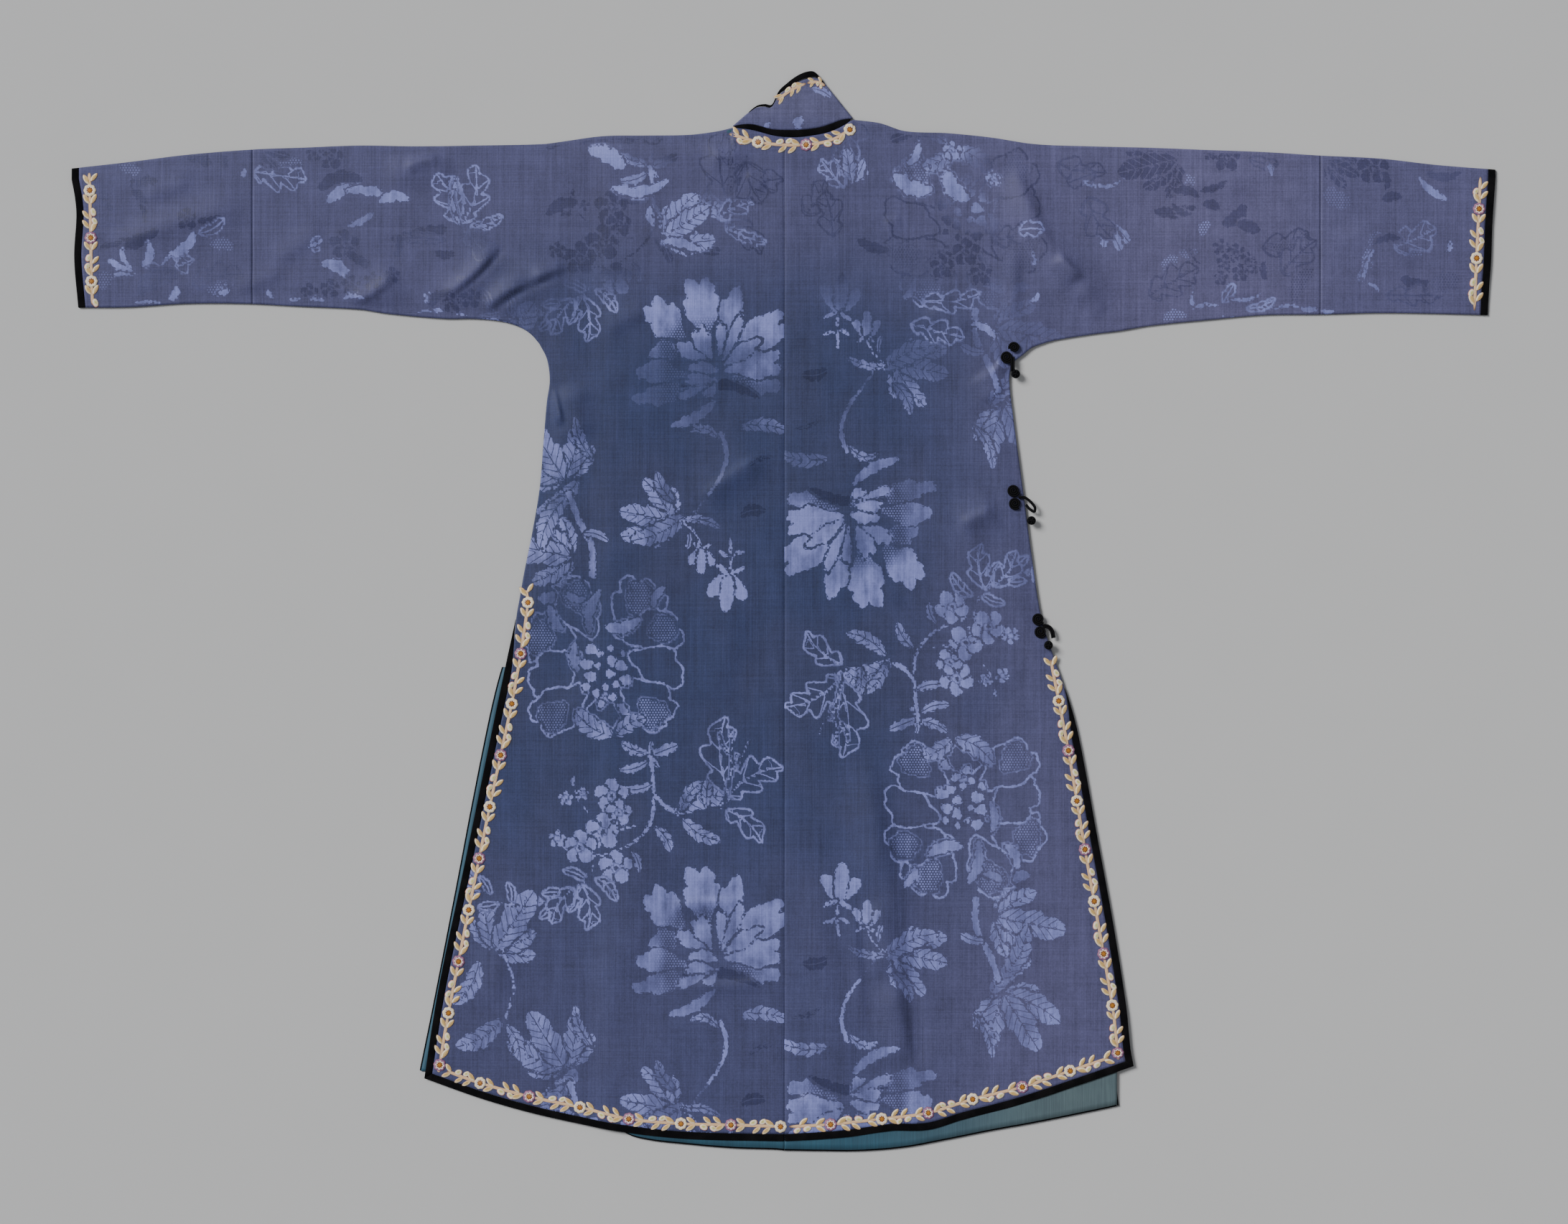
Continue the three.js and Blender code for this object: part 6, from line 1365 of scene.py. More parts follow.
def body_grid(half, spacing):
    """Lattice of a half: rows from the hem up the back, over the fold and down the front;
    columns from the centre seam to the side and along the sleeve. Rows and columns keep to the
    outlines, and what the rows miss of the side edge is spread by the square of the share
    across. Returns it, which of its cells there are, the inner face's rows and columns, and how
    many rows are the back's."""
    near = [0, 0.9 / WIDEST, 2.2 / WIDEST]
    neck = half.neck_x / half.arm_x
    wide = max(half.side(half.corner_y), 300)
    body = np.unique(np.round(np.concatenate([
        near, np.linspace(4 / WIDEST, neck, int(neck * wide / spacing)),
        np.linspace(neck, 1, int((1 - neck) * wide / spacing))]), 9))
    neck_at = int(np.argmin(np.abs(body - neck)))
    sleeve = np.linspace(0, 1, int((half.sleeve_seam - half.arm_x) / spacing) + 1)[1:]
    low = np.linspace(0, 1, int((half.arm_y - half.corner_y) / spacing))
    up = np.linspace(0, 1, int(SLEEVE_DEPTH / spacing))[1:]
    front_up = np.array([1, 0.75, 0.5, 0.25, 0])
    front_low = np.concatenate([np.linspace(1, 0.85, 20)[1:], np.linspace(0.85, 0, 24)[1:]])

    cols_body = len(body) - 1
    upper_x = np.concatenate([np.maximum(HALF_SEAM, body * half.arm_x),
                              lerp(half.arm_x, half.sleeve_seam - HALF_SEAM, sleeve)])
    in_neck = upper_x < half.neck_x - 1e-6
    low_edge = np.where(upper_x <= half.arm_x + 1e-6, half.arm_y, half.under(upper_x))
    fold_y = half.fold_y(upper_x)
    to_neck = soft((upper_x - half.neck_x + 6) / 6)
    neck_y = lerp(neck_low(half.sign * upper_x) - GAP, fold_y, to_neck * in_neck)
    top_y = np.where(in_neck, neck_y, fold_y)

    v = low[:, None]
    corner = half.corner_y + BINDING + GAP
    edge_x, edge_y, _ = half.side_edge(lerp(corner, half.arm_y, v))
    x = np.maximum(HALF_SEAM, body * edge_x)
    y = lerp(half.hem_edge(x)[0], half.arm_y, v)
    miss = edge_y - lerp(half.hem_edge(edge_x)[0], half.arm_y, v)
    y = y + miss * body ** 2
    lower = place(half, x, y, half.level(x, y))
    beyond = np.repeat(place(half, upper_x[cols_body + 1:], low_edge[cols_body + 1:],
                             half.level(upper_x, low_edge)[cols_body + 1:])[None], len(low), 0)
    block_low = np.concatenate([lower, beyond], 1)

    y = lerp(low_edge, top_y, up[:, None])
    x = np.broadcast_to(upper_x, y.shape)
    block_up = place(half, x, y, half.level(x, y))

    low_z = half.front_level(upper_x, half.top(upper_x))
    t = FOLD_TURN[:, None]
    block_turn = place(half, upper_x, fold_y + FOLD_RADIUS * np.cos(t),
                       low_z + FOLD_RADIUS * (1 + np.sin(t)))
    front_top = np.where(in_neck, front_neckline(half, upper_x) - GAP, fold_y)
    y = lerp(low_edge, front_top, front_up[:, None])
    x = np.broadcast_to(upper_x, y.shape)
    block_front = place(half, x, y, half.front_level(x, y))

    v = front_low[:, None]
    side_y = lerp(half.front_corner_y + 2, half.arm_y, v)
    trim = half.front_side(side_y) - TRIM * soft((5 - side_y) / 30)
    x = np.maximum(HALF_SEAM, body * trim)
    y = lerp(half.front_hem(x), half.arm_y, v)
    lower = place(half, x, y, half.front_level(x, np.minimum(y, half.arm_y - 1)))
    pad = np.repeat(lower[:, -1:], len(sleeve), 1)
    block_hem = np.concatenate([lower, pad], 1)

    points = np.concatenate([block_low, block_up, block_turn, block_front, block_hem])
    arm_row = len(low) - 1
    top_row = arm_row + len(up)
    front_row = top_row + len(FOLD_TURN) + 1
    front_arm = front_row + len(front_up) - 1
    rows, cols = points.shape[:2]
    i, j = np.meshgrid(np.arange(rows - 1), np.arange(cols - 1), indexing="ij")
    has = np.ones((rows - 1, cols - 1), bool)
    has[(i < arm_row) | (i >= front_arm)] = (j < cols_body)[(i < arm_row) | (i >= front_arm)]
    at_fold = (i >= top_row) & (i < front_row)
    has[at_fold] = (j >= neck_at)[at_fold]
    row_marks = np.concatenate([steps(arm_row + 1, EVERY), arm_row + steps(len(up) + 1, EVERY),
                                np.arange(top_row, rows)])
    col_marks = np.concatenate([steps(neck_at + 1, 7), neck_at + steps(cols_body - neck_at + 1, 7),
                                cols_body + steps(cols - cols_body, 8)])
    return points, has, (np.unique(row_marks), np.unique(col_marks)), top_row


def woven(half, shown):
    """What weaves a half's damask into its outer points, and leaves its lattice points from the
    number shown on bare."""
    def weaving(points, used, total):
        """The damask's fields, and bare silk from the number shown on."""
        fields = weave(points[:, 0], points[:, 1], half.sign).fields(total)
        fields["pattern"][np.flatnonzero(used >= shown)] = BARE_PATTERN
        return fields
    return weaving


def make_half(half):
    """One half of the robe with its damask on the back."""
    points, has, marks, back_rows = body_grid(half, bpy.context.scene.robe_sizes.spacing)
    cloth(f"{half.hand}_half", f"body_{half.hand}", points, half.sign > 0, marks,
          ("silk", "lining"), woven(half, back_rows * points.shape[1]),
          has, back_rows)


def sleeve_grid(half, columns, count, rows_back):
    """Lattice round the flattened tube of a sleeve's end: up its back, over the fold and down its
    front; columns gives x from y and a share. Returns it and how many rows are the back's."""
    up = np.linspace(0, 1, rows_back)[:, None]
    turn = FOLD_TURN[:, None]
    down = np.array([1, 0.7, 0.35, 0])[:, None]
    share = np.concatenate([up, np.ones_like(turn), down])
    guess = half.sleeve_seam + 100
    across = np.linspace(0, 1, count)[None]
    x = columns(lerp(half.under(guess), half.top(guess), share), across)
    fold_y = half.fold_y(x)
    low = half.under(x)
    floor = half.front_level(x, half.top(x))
    y = lerp(low, fold_y, share)
    z = np.broadcast_to(floor, y.shape).copy()
    n = len(up)
    z[:n] = half.level(x[:n], y[:n])
    k = slice(n, n + len(turn))
    y[k] = fold_y[k] + FOLD_RADIUS * np.cos(turn)
    z[k] = floor[k] + FOLD_RADIUS * (1 + np.sin(turn))
    return place(half, x, y, z), n


def make_sleeve_end(half):
    """The sleeve's end as a folded tube."""
    spacing = bpy.context.scene.robe_sizes.spacing

    def columns(y, share):
        """Straight across, from the seam's gap to the gap before the cuff's velvet."""
        return lerp(half.sleeve_seam + HALF_SEAM, half.cuff(y) - BINDING - GAP, share)

    points, back = sleeve_grid(half, columns, *(int(size / spacing) for size in SLEEVE_END))
    rows, cols = points.shape[:2]
    marks = np.concatenate([steps(back, EVERY), np.arange(back, rows)]), steps(cols, 8)
    cloth(f"sleeve_end_cloth_{half.hand}", f"sleeve_end_{half.hand}", points,
          half.sign > 0, marks, ("silk", "lining"), woven(half, back * cols))


def plain_cloth(name, node, points, flip, finishes):
    """A panel without figures."""
    marks = [steps(size, 6) for size in points.shape[:2]]
    cloth(name, node, points, flip, marks, finishes,
          lambda outer, used, total: bare_fields(total))


def outer_front_grid():
    """The overlap panel: from the centre to its free edge at the side, lowest of all."""
    share = np.linspace(0, 1, 40)[None]
    row = np.linspace(0, 1, 80)[:, None]
    side_y = lerp(OUTER_EDGE[0][0], OUTER_TOP[-1][1], row)
    side_x = follow(OUTER_EDGE, side_y) - TRIM
    x = np.maximum(HALF_SEAM, share * side_x)
    miss = side_y - lerp(RIGHT.hem(side_x) + HEM_LIFT, follow(OUTER_TOP, side_x), row)
    y = lerp(RIGHT.hem(x) + HEM_LIFT, follow(OUTER_TOP, x), row) + miss * share ** 2
    return place(RIGHT, x, y, ply(0))


def underlap_hem(x):
    """Cut edge of the underlap's hem."""
    return follow(LOW_HEM_LEFT, x) + TRIM


def underlap_grid():
    """The inner front's extension past the centre."""
    x = np.maximum(HALF_SEAM, np.linspace(0, 1, 40)[None] * UNDERLAP_RIM)
    y = lerp(underlap_hem(x), follow(UNDERLAP_TOP, x), np.linspace(0, 1, 60)[:, None])
    return place(LEFT, x, y, ply(1))


def low_hem(half, layer, count):
    """Cut edge of the lowest hem: the underlap's on the left, the inner front's on the right."""
    last = UNDERLAP_RIM if half is LEFT else half.front_side(half.front_corner_y + 2) - TRIM
    x = np.linspace(HALF_SEAM, last, count)
    return place(half, x, underlap_hem(x) if half is LEFT else half.front_hem(x), ply(layer))


def front_side_run(half, low, high, count):
    """Cut edge of a front panel's side, from low to high."""
    y = np.linspace(low, high, count)
    x = half.front_side(y) - TRIM * soft((5 - y) / 30)
    return place(half, x, y, half.front_level(x, np.minimum(y, half.arm_y - 1)))


def strip(edge, out, width):
    """A narrow panel from an edge inwards, rippled by two crossing waves."""
    across = np.zeros_like(edge)
    across[:, :2] = -np.asarray(out) * width
    grid = edge[:, None] + across[:, None] * np.linspace(0, 1, 8)[None, :, None]
    x, y = grid[..., 0], grid[..., 1]
    grid[..., 2] += 0.14 * np.sin(x / 7 + 2 * np.sin(y / 31)) + 0.1 * np.sin(y / 13)
    return grid


# ---- registered operators ----------------------------------------------------------------------
class ROBE_OT_silk_halves(bpy.types.Operator):
    """Cuts and lays both halves, back, shoulder, upper sleeve and front in one"""
    bl_idname = "robe.silk_halves"
    bl_label = "Silk halves"

    def execute(self, context):
        for half in (LEFT, RIGHT):
            make_half(half)
        return {"FINISHED"}


class ROBE_OT_sleeve_ends(bpy.types.Operator):
    """Sews on the ends of the sleeves"""
    bl_idname = "robe.sleeve_ends"
    bl_label = "Sleeve ends"

    def execute(self, context):
        for half in (LEFT, RIGHT):
            make_sleeve_end(half)
        return {"FINISHED"}


class ROBE_OT_fronts(bpy.types.Operator):
    """Lays the overlap panel and the inner front's extension"""
    bl_idname = "robe.fronts"
    bl_label = "Fronts"

    def execute(self, context):
        finishes = ("lining", "plain")
        plain_cloth("outer_front_cloth", "outer_front", outer_front_grid(), True, finishes)
        plain_cloth("underlap_cloth", "underlap", underlap_grid(), False, finishes)
        return {"FINISHED"}


class ROBE_OT_lining(bpy.types.Operator):
    """Lays the lining where the front layers show past the back"""
    bl_idname = "robe.lining"
    bl_label = "Lining"

    def execute(self, context):
        side = front_side_run(LEFT, LEFT.front_corner_y + 2, -60, 160)
        side[:, 2] = ply(1)
        run = unit(np.gradient(side[:, :2], axis=0))
        out = np.stack([-run[:, 1], run[:, 0]], 1)
        for name, edge, out, width, flip in (
                ("left", side, out, LINING_SIDE, True),
                ("hem_left", low_hem(LEFT, 2, 80), DOWN, LINING_HEM, True),
                ("hem_right", low_hem(RIGHT, 2, 150), DOWN, LINING_HEM, False)):
            plain_cloth(f"lining_cloth_{name}", f"lining_{name}",
                        strip(edge, out, width), flip, ("lining", "lining"))
        return {"FINISHED"}


def back_edges(half):
    """Middle line of the back's cut edges: side and hem, each (n, 3), with their directions out."""
    share = np.linspace(0, 1, 260)
    corner = half.corner_y + BINDING + GAP
    edge_x, edge_y, out = half.side_edge(lerp(corner, half.arm_y, share))
    side = place(half, edge_x, edge_y, half.level(edge_x, edge_y))
    x = np.maximum(HALF_SEAM, share * edge_x[0])
    y, down = half.hem_edge(x)
    y = y + (edge_y[0] - half.hem_edge(edge_x[:1])[0]) * share ** 2
    hem = place(half, x, y, half.level(x, y))
    turn = np.array([half.sign, 1])
    return side, out * turn, hem, down * turn


def mitred(out, corner, end):
    """Directions out with that of one end swung over to the corner's mitre, and as much longer
    as one over the cosine between the two."""
    mitre = corner / np.linalg.norm(corner)
    out = out.copy()
    out[end] = mitre / max(0.4, float(mitre @ out[end]))
    return out


def slit_band(half):
    """Velvet along the back's side slit, growing from nothing at the slit's top, mitred at the
    corner with the hem's."""
    side, out, _, down = back_edges(half)
    width = half.inset(side[:, 1])
    keep = width > 0.5
    out = mitred(out, out[0] + down[-1], 0)
    return band(side[keep], out[keep], GAP, width[keep], VELVET, VELVET_ROLL)


def hem_band(half):
    """Velvet along the hem, out to the corner's mitre."""
    _, out, hem, down = back_edges(half)
    return band(hem, mitred(down, out[0] + down[-1], -1), GAP, GAP + BINDING, VELVET,
                VELVET_ROLL)


CUFF_SWELL, CUFF_SUNK = 0.25, 0.1   # rise of the middle of a cuff's velvet; drop of its edges


def cuff_velvet(half):
    """Velvet round a cuff: a narrow folded tube, its back rounded as a sine to the power 0.6."""
    def columns(y, share):
        """Straight across, from a binding's width inside the cuff's edge to that edge."""
        return half.cuff(y) - BINDING * (1 - share)

    points, back = sleeve_grid(half, columns, 9, 72)
    points[:back, :, 2] += CUFF_SWELL * np.sin(np.linspace(0, math.pi, 9)) ** 0.6 - CUFF_SUNK
    cloth(f"cuff_velvet_{half.hand}", f"cuff_binding_{half.hand}", points,
          half.sign > 0, (np.arange(len(points)), steps(9, 4)), ["velvet"])


class ROBE_OT_bindings(bpy.types.Operator):
    """Binds slits, hem, cuffs and neck with black velvet"""
    bl_idname = "robe.bindings"
    bl_label = "Velvet bindings"

    def execute(self, context):
        def neck_band(edge, inner, outer, thickness):
            """Velvet straight up from the neckline, between two distances from it."""
            return band(edge, np.tile([0.0, 1.0], (len(edge), 1)), inner, outer, thickness)

        for half in (LEFT, RIGHT):
            hand = half.hand
            tube_piece(f"slit_velvet_{hand}", f"slit_binding_{hand}", "velvet", slit_band(half))
            tube_piece(f"hem_velvet_{hand}", f"hem_binding_{hand}", "velvet", hem_band(half))
            cuff_velvet(half)
            x = np.maximum(2 * HALF_SEAM, np.linspace(0, 0.78, 40) * half.neck_x)
            edge = place(half, x, front_neckline(half, x), ply(0))
            tube_piece(f"neck_velvet_{hand}", f"neck_binding_{hand}", "velvet",
                       neck_band(edge, 0, BINDING, 1.0))
        x = np.linspace(NECK_LOW[0][0] + 2.5, NECK_LOW[-1][0] - 2.5, 70)
        level = of_half(Half.level, x, np.full_like(x, 514.0))
        edge = np.stack([x, neck_low(x), lerp(level, COLLAR_LAYER, 0.4)], 1)
        tube_piece("neck_velvet_back", "neck_binding_back", "velvet",
                   neck_band(edge, 0.1, neck_high(x) - neck_low(x), 1.1))
        return {"FINISHED"}


def piping(name, node, *runs):
    """A thin velvet edge along one or more runs, each with its direction out."""
    tube_piece(name, node, "velvet", *(
        band(edge, np.tile(out, (len(edge), 1)), GAP, TRIM, 1.0) for edge, out in runs))


class ROBE_OT_edges(bpy.types.Operator):
    """Runs the thin velvet edges round the front layers"""
    bl_idname = "robe.edges"
    bl_label = "Thin edges"

    def execute(self, context):
        piping("front_edge_left", "front_piping_left",
               (front_side_run(LEFT, LEFT.front_corner_y + 2, -60, 140), (-1.0, -0.1)))
        hem = low_hem(LEFT, 1, 70)
        side = place(LEFT, UNDERLAP_RIM, np.linspace(hem[-1, 1], hem[-1, 1] + 95, 20), ply(1))
        piping("underlap_edge_left", "underlap_piping_left", (hem, DOWN), (side, (-1.0, 0.0)))
        side = front_side_run(RIGHT, RIGHT.front_corner_y, RIGHT.front_corner_y + 50, 20)
        piping("underlap_edge_right", "underlap_piping_right",
               (low_hem(RIGHT, 1, 130), DOWN), (side, (1.0, 0.0)))
        y = np.linspace(OUTER_EDGE[0][0], OUTER_TOP[-1][1], 200)
        edge = place(RIGHT, follow(OUTER_EDGE, y) - TRIM, y, ply(0))
        piping("lapel_edge", "lapel_piping", (edge, (1.0, 0.0)))
        return {"FINISHED"}


def collar_plan(share, v):
    """Place on the collar's back: straight from its seam to its rim."""
    base_x = lerp(NECK_HIGH[0][0], NECK_HIGH[-1][0], share)
    base_y = neck_high(base_x) + GAP
    rim_x, rim_y = follow(COLLAR_RIM_X, share), follow(COLLAR_RIM_Y, share)
    return lerp(base_x, rim_x, v), lerp(base_y, rim_y, v)


def collar_front(share, v):
    """Place on its front: the same folds, the middle sunk to the front neckline."""
    back_x, back_y = collar_plan(share, v)
    arch = np.sin(math.pi * share)
    seam = of_half(front_neckline, back_x) + BINDING + 4 * GAP
    low = lerp(neck_high(back_x) + GAP, seam, soft(3 * arch ** 0.8))
    return back_x, low + lerp(back_y - neck_high(back_x), COLLAR_HEIGHT * v, arch ** 1.5)


def collar_grid(start, stop_of, count):
    """Lattice of the collar band, from the front round one fold, over the back and round the
    other fold."""
    share = np.concatenate([np.linspace(0.425, 0.015, 30), [0, 0, 0], np.linspace(0.02, 0.98, 90),
                            [1, 1, 1], np.linspace(0.985, 0.435, 36)])
    kind = np.concatenate([np.zeros(30), [0.25, 0.5, 0.75], np.ones(90), [0.75, 0.5, 0.25],
                           np.zeros(36)])
    v = lerp(start, stop_of(share)[:, None], np.linspace(0, 1, count)[None])
    s, k = np.broadcast_to(share[:, None], v.shape), np.broadcast_to(kind[:, None], v.shape)
    x, y = np.where(k > 0, collar_plan(s, v), collar_front(s, v))
    bulge = np.where((k > 0) & (k < 1), 0.5 - 0.3 * np.sin(k * math.pi), 0)
    x = x + np.where(s < 0.5, 1, -1) * bulge
    z = lerp(ply(0), COLLAR_LAYER, 0.5 - 0.5 * np.cos(k * math.pi))
    back_only = soft((s - 0.05) / 0.2) * soft((0.95 - s) / 0.2) * (k == 1)
    z = z + back_only * (0.3 * np.sin(s * 21 + 2 * v) * v + 0.9 * np.sin(v * math.pi) * 0.5)
    return np.stack([x, y, z], -1)


def collar_damask(points, _, total):
    """The collar's few leaves, placed one by one."""
    damask = Damask(points[:, 0], points[:, 1])
    weaver = Weaver(damask, lambda pts: pts, True)
    weaver.leaf(px(1112, 182), 82, 16, 14, 0, shine=(0.5, 0.9))
    weaver.leaf(px(1130, 124), -24, 24, 11, 0, shine=(0.5, 0.8))
    weaver.leaf(px(1064, 186), 60, 14, 8, 0, shine=(0.3, 0.5))
    return damask.fields(total)


class ROBE_OT_collar(bpy.types.Operator):
    """Sews the stand collar, flattened, and its velvet rim"""
    bl_idname = "robe.collar"
    bl_label = "Collar"

    def execute(self, context):
        def below_rim(share):
            """The rim's start, less 0.11 at the collar's end and 0.025 from 0.12 of it on."""
            return RIM_START - lerp(0.11, 0.025, soft(share / 0.12))

        points = collar_grid(0.0, below_rim, 26)
        cloth("collar_cloth", "collar", points, False,
              (steps(len(points), 4), steps(26, 6)), ("silk", "lining"), collar_damask)
        rim = collar_grid(RIM_START, np.ones_like, 7)
        rim[..., 2] += np.where(rim[..., 2] > 2, 0.25, 0) * np.sin(np.linspace(0, math.pi, 7))
        cloth("collar_velvet", "collar_binding", rim, False,
              (np.arange(len(rim)), steps(7, 3)), ["velvet"])
        return {"FINISHED"}


# ---- embroidery --------------------------------------------------------------------------------
CREAM, IVORY = linear((242, 227, 196)), linear((248, 240, 224))
LILAC, PINK = linear((150, 98, 138)), linear((214, 146, 132))
PEACH, TAN = linear((230, 192, 150)), linear((106, 72, 52))
STRAW, LIME = linear((218, 182, 112)), linear((204, 200, 112))
GOLD, WINE = linear((186, 122, 22)), linear((70, 22, 16))
# Domes of stitches: the rings' shares of the outline, then the heights of the middle and rings.
FLOWER_DOME = ([0.14, 0.28, 0.42, 0.5, 0.56, 0.64, 0.78, 0.92, 1.0],
               [1.15, 1.15, 1.05, 0.95, 0.85, 0.95, 1.05, 1.0, 0.7, 0.1])
LEAF_DOME = [0.35, 0.68, 0.88, 1.0], [0.85, 0.95, 0.85, 0.55, 0.1]
BUD_DOME = [0.35, 0.68, 0.88, 1.0], [1.0, 1.0, 0.95, 0.6, 0.1]
STEM_DOME = [0.5, 0.8, 1.0], [0.55, 0.5, 0.4, 0.1]
STITCH_TURN, STEM_TURN = 62, 82   # of the threads across a leaf and a stem, degrees
# Motifs between two flowers: place along (share of the way), side (mm), angle, length, width,
# kind; sides swap from one flower to the next.
BETWEEN = [
    (0.285, 0.8, 148, 12.0, 5.2, "leaf"), (0.285, -0.8, -148, 12.0, 5.2, "leaf"),
    (0.37, -1.4, -20, 9.6, 6.6, "bud"), (0.60, 1.0, 140, 11.6, 5.0, "leaf"),
    (0.575, -2.2, -30, 8.8, 6.0, "bud"), (0.80, 1.2, 140, 11.8, 5.0, "leaf"),
    (0.87, -0.4, -152, 13.0, 5.6, "leaf"),
]
SLIT_LEFT_PATH = [
    (-0.25, -280.4, 23.4), (0, -278.4, 9.9), (1, -286.2, -45.6), (2, -295.8, -100.0),
    (3, -307.9, -155.8), (5, -331.2, -267.9), (8, -364.5, -435.7), (9.14, -375.4, -500.0)]
HEM_LEFT_PATH = [
    (0.18, -366.3, -498.8), (1, -330.3, -511.7), (2, -277.0, -526.3), (3, -221.9, -538.0),
    (4, -168.7, -550.4), (5, -112.2, -555.6), (6, -57.9, -557.0), (7.05, -1.5, -558.9)]
SLIT_RIGHT_PATH = [
    (0.16, 289.0, -52.0), (1, 297.8, -96.9), (2, 308.3, -150.8), (3, 317.5, -205.5),
    (4, 326.2, -258.0), (7, 355.9, -427.4), (8.14, 362.4, -486.0)]
HEM_RIGHT_PATH = [
    (0.18, 352.2, -484.2), (1, 310.1, -498.3), (2, 258.2, -515.8), (3, 204.3, -529.1),
    (4, 156.2, -543.9), (5, 105.8, -550.4), (6, 50.1, -556.4), (6.8, 5.0, -558.9)]
CUFF_LEFT_PATH = [
    (-0.4, -754.6, 476.5), (0, -753.9, 457.3), (1, -752.8, 405.8), (2, -752.0, 358.6),
    (2.5, -751.0, 333.0)]
CUFF_RIGHT_PATH = [
    (-0.65, 755.6, 472.0), (0, 754.1, 437.2), (1, 751.4, 383.6), (1.97, 749.1, 326.8)]
NECK_PATH = [
    (-0.6, -60.0, 518.6), (0, -28.5, 509.5), (0.5, -2.5, 506.5), (1, 23.5, 506.6),
    (1.55, 51.0, 511.5), (2, 71.0, 523.0)]
FLOWER = 7.0                   # radius of an embroidered flower
STEM = 3.4                     # width of the stem between two
THREAD = 0.9                   # mm of cloth to one turn of the stitches' ridges


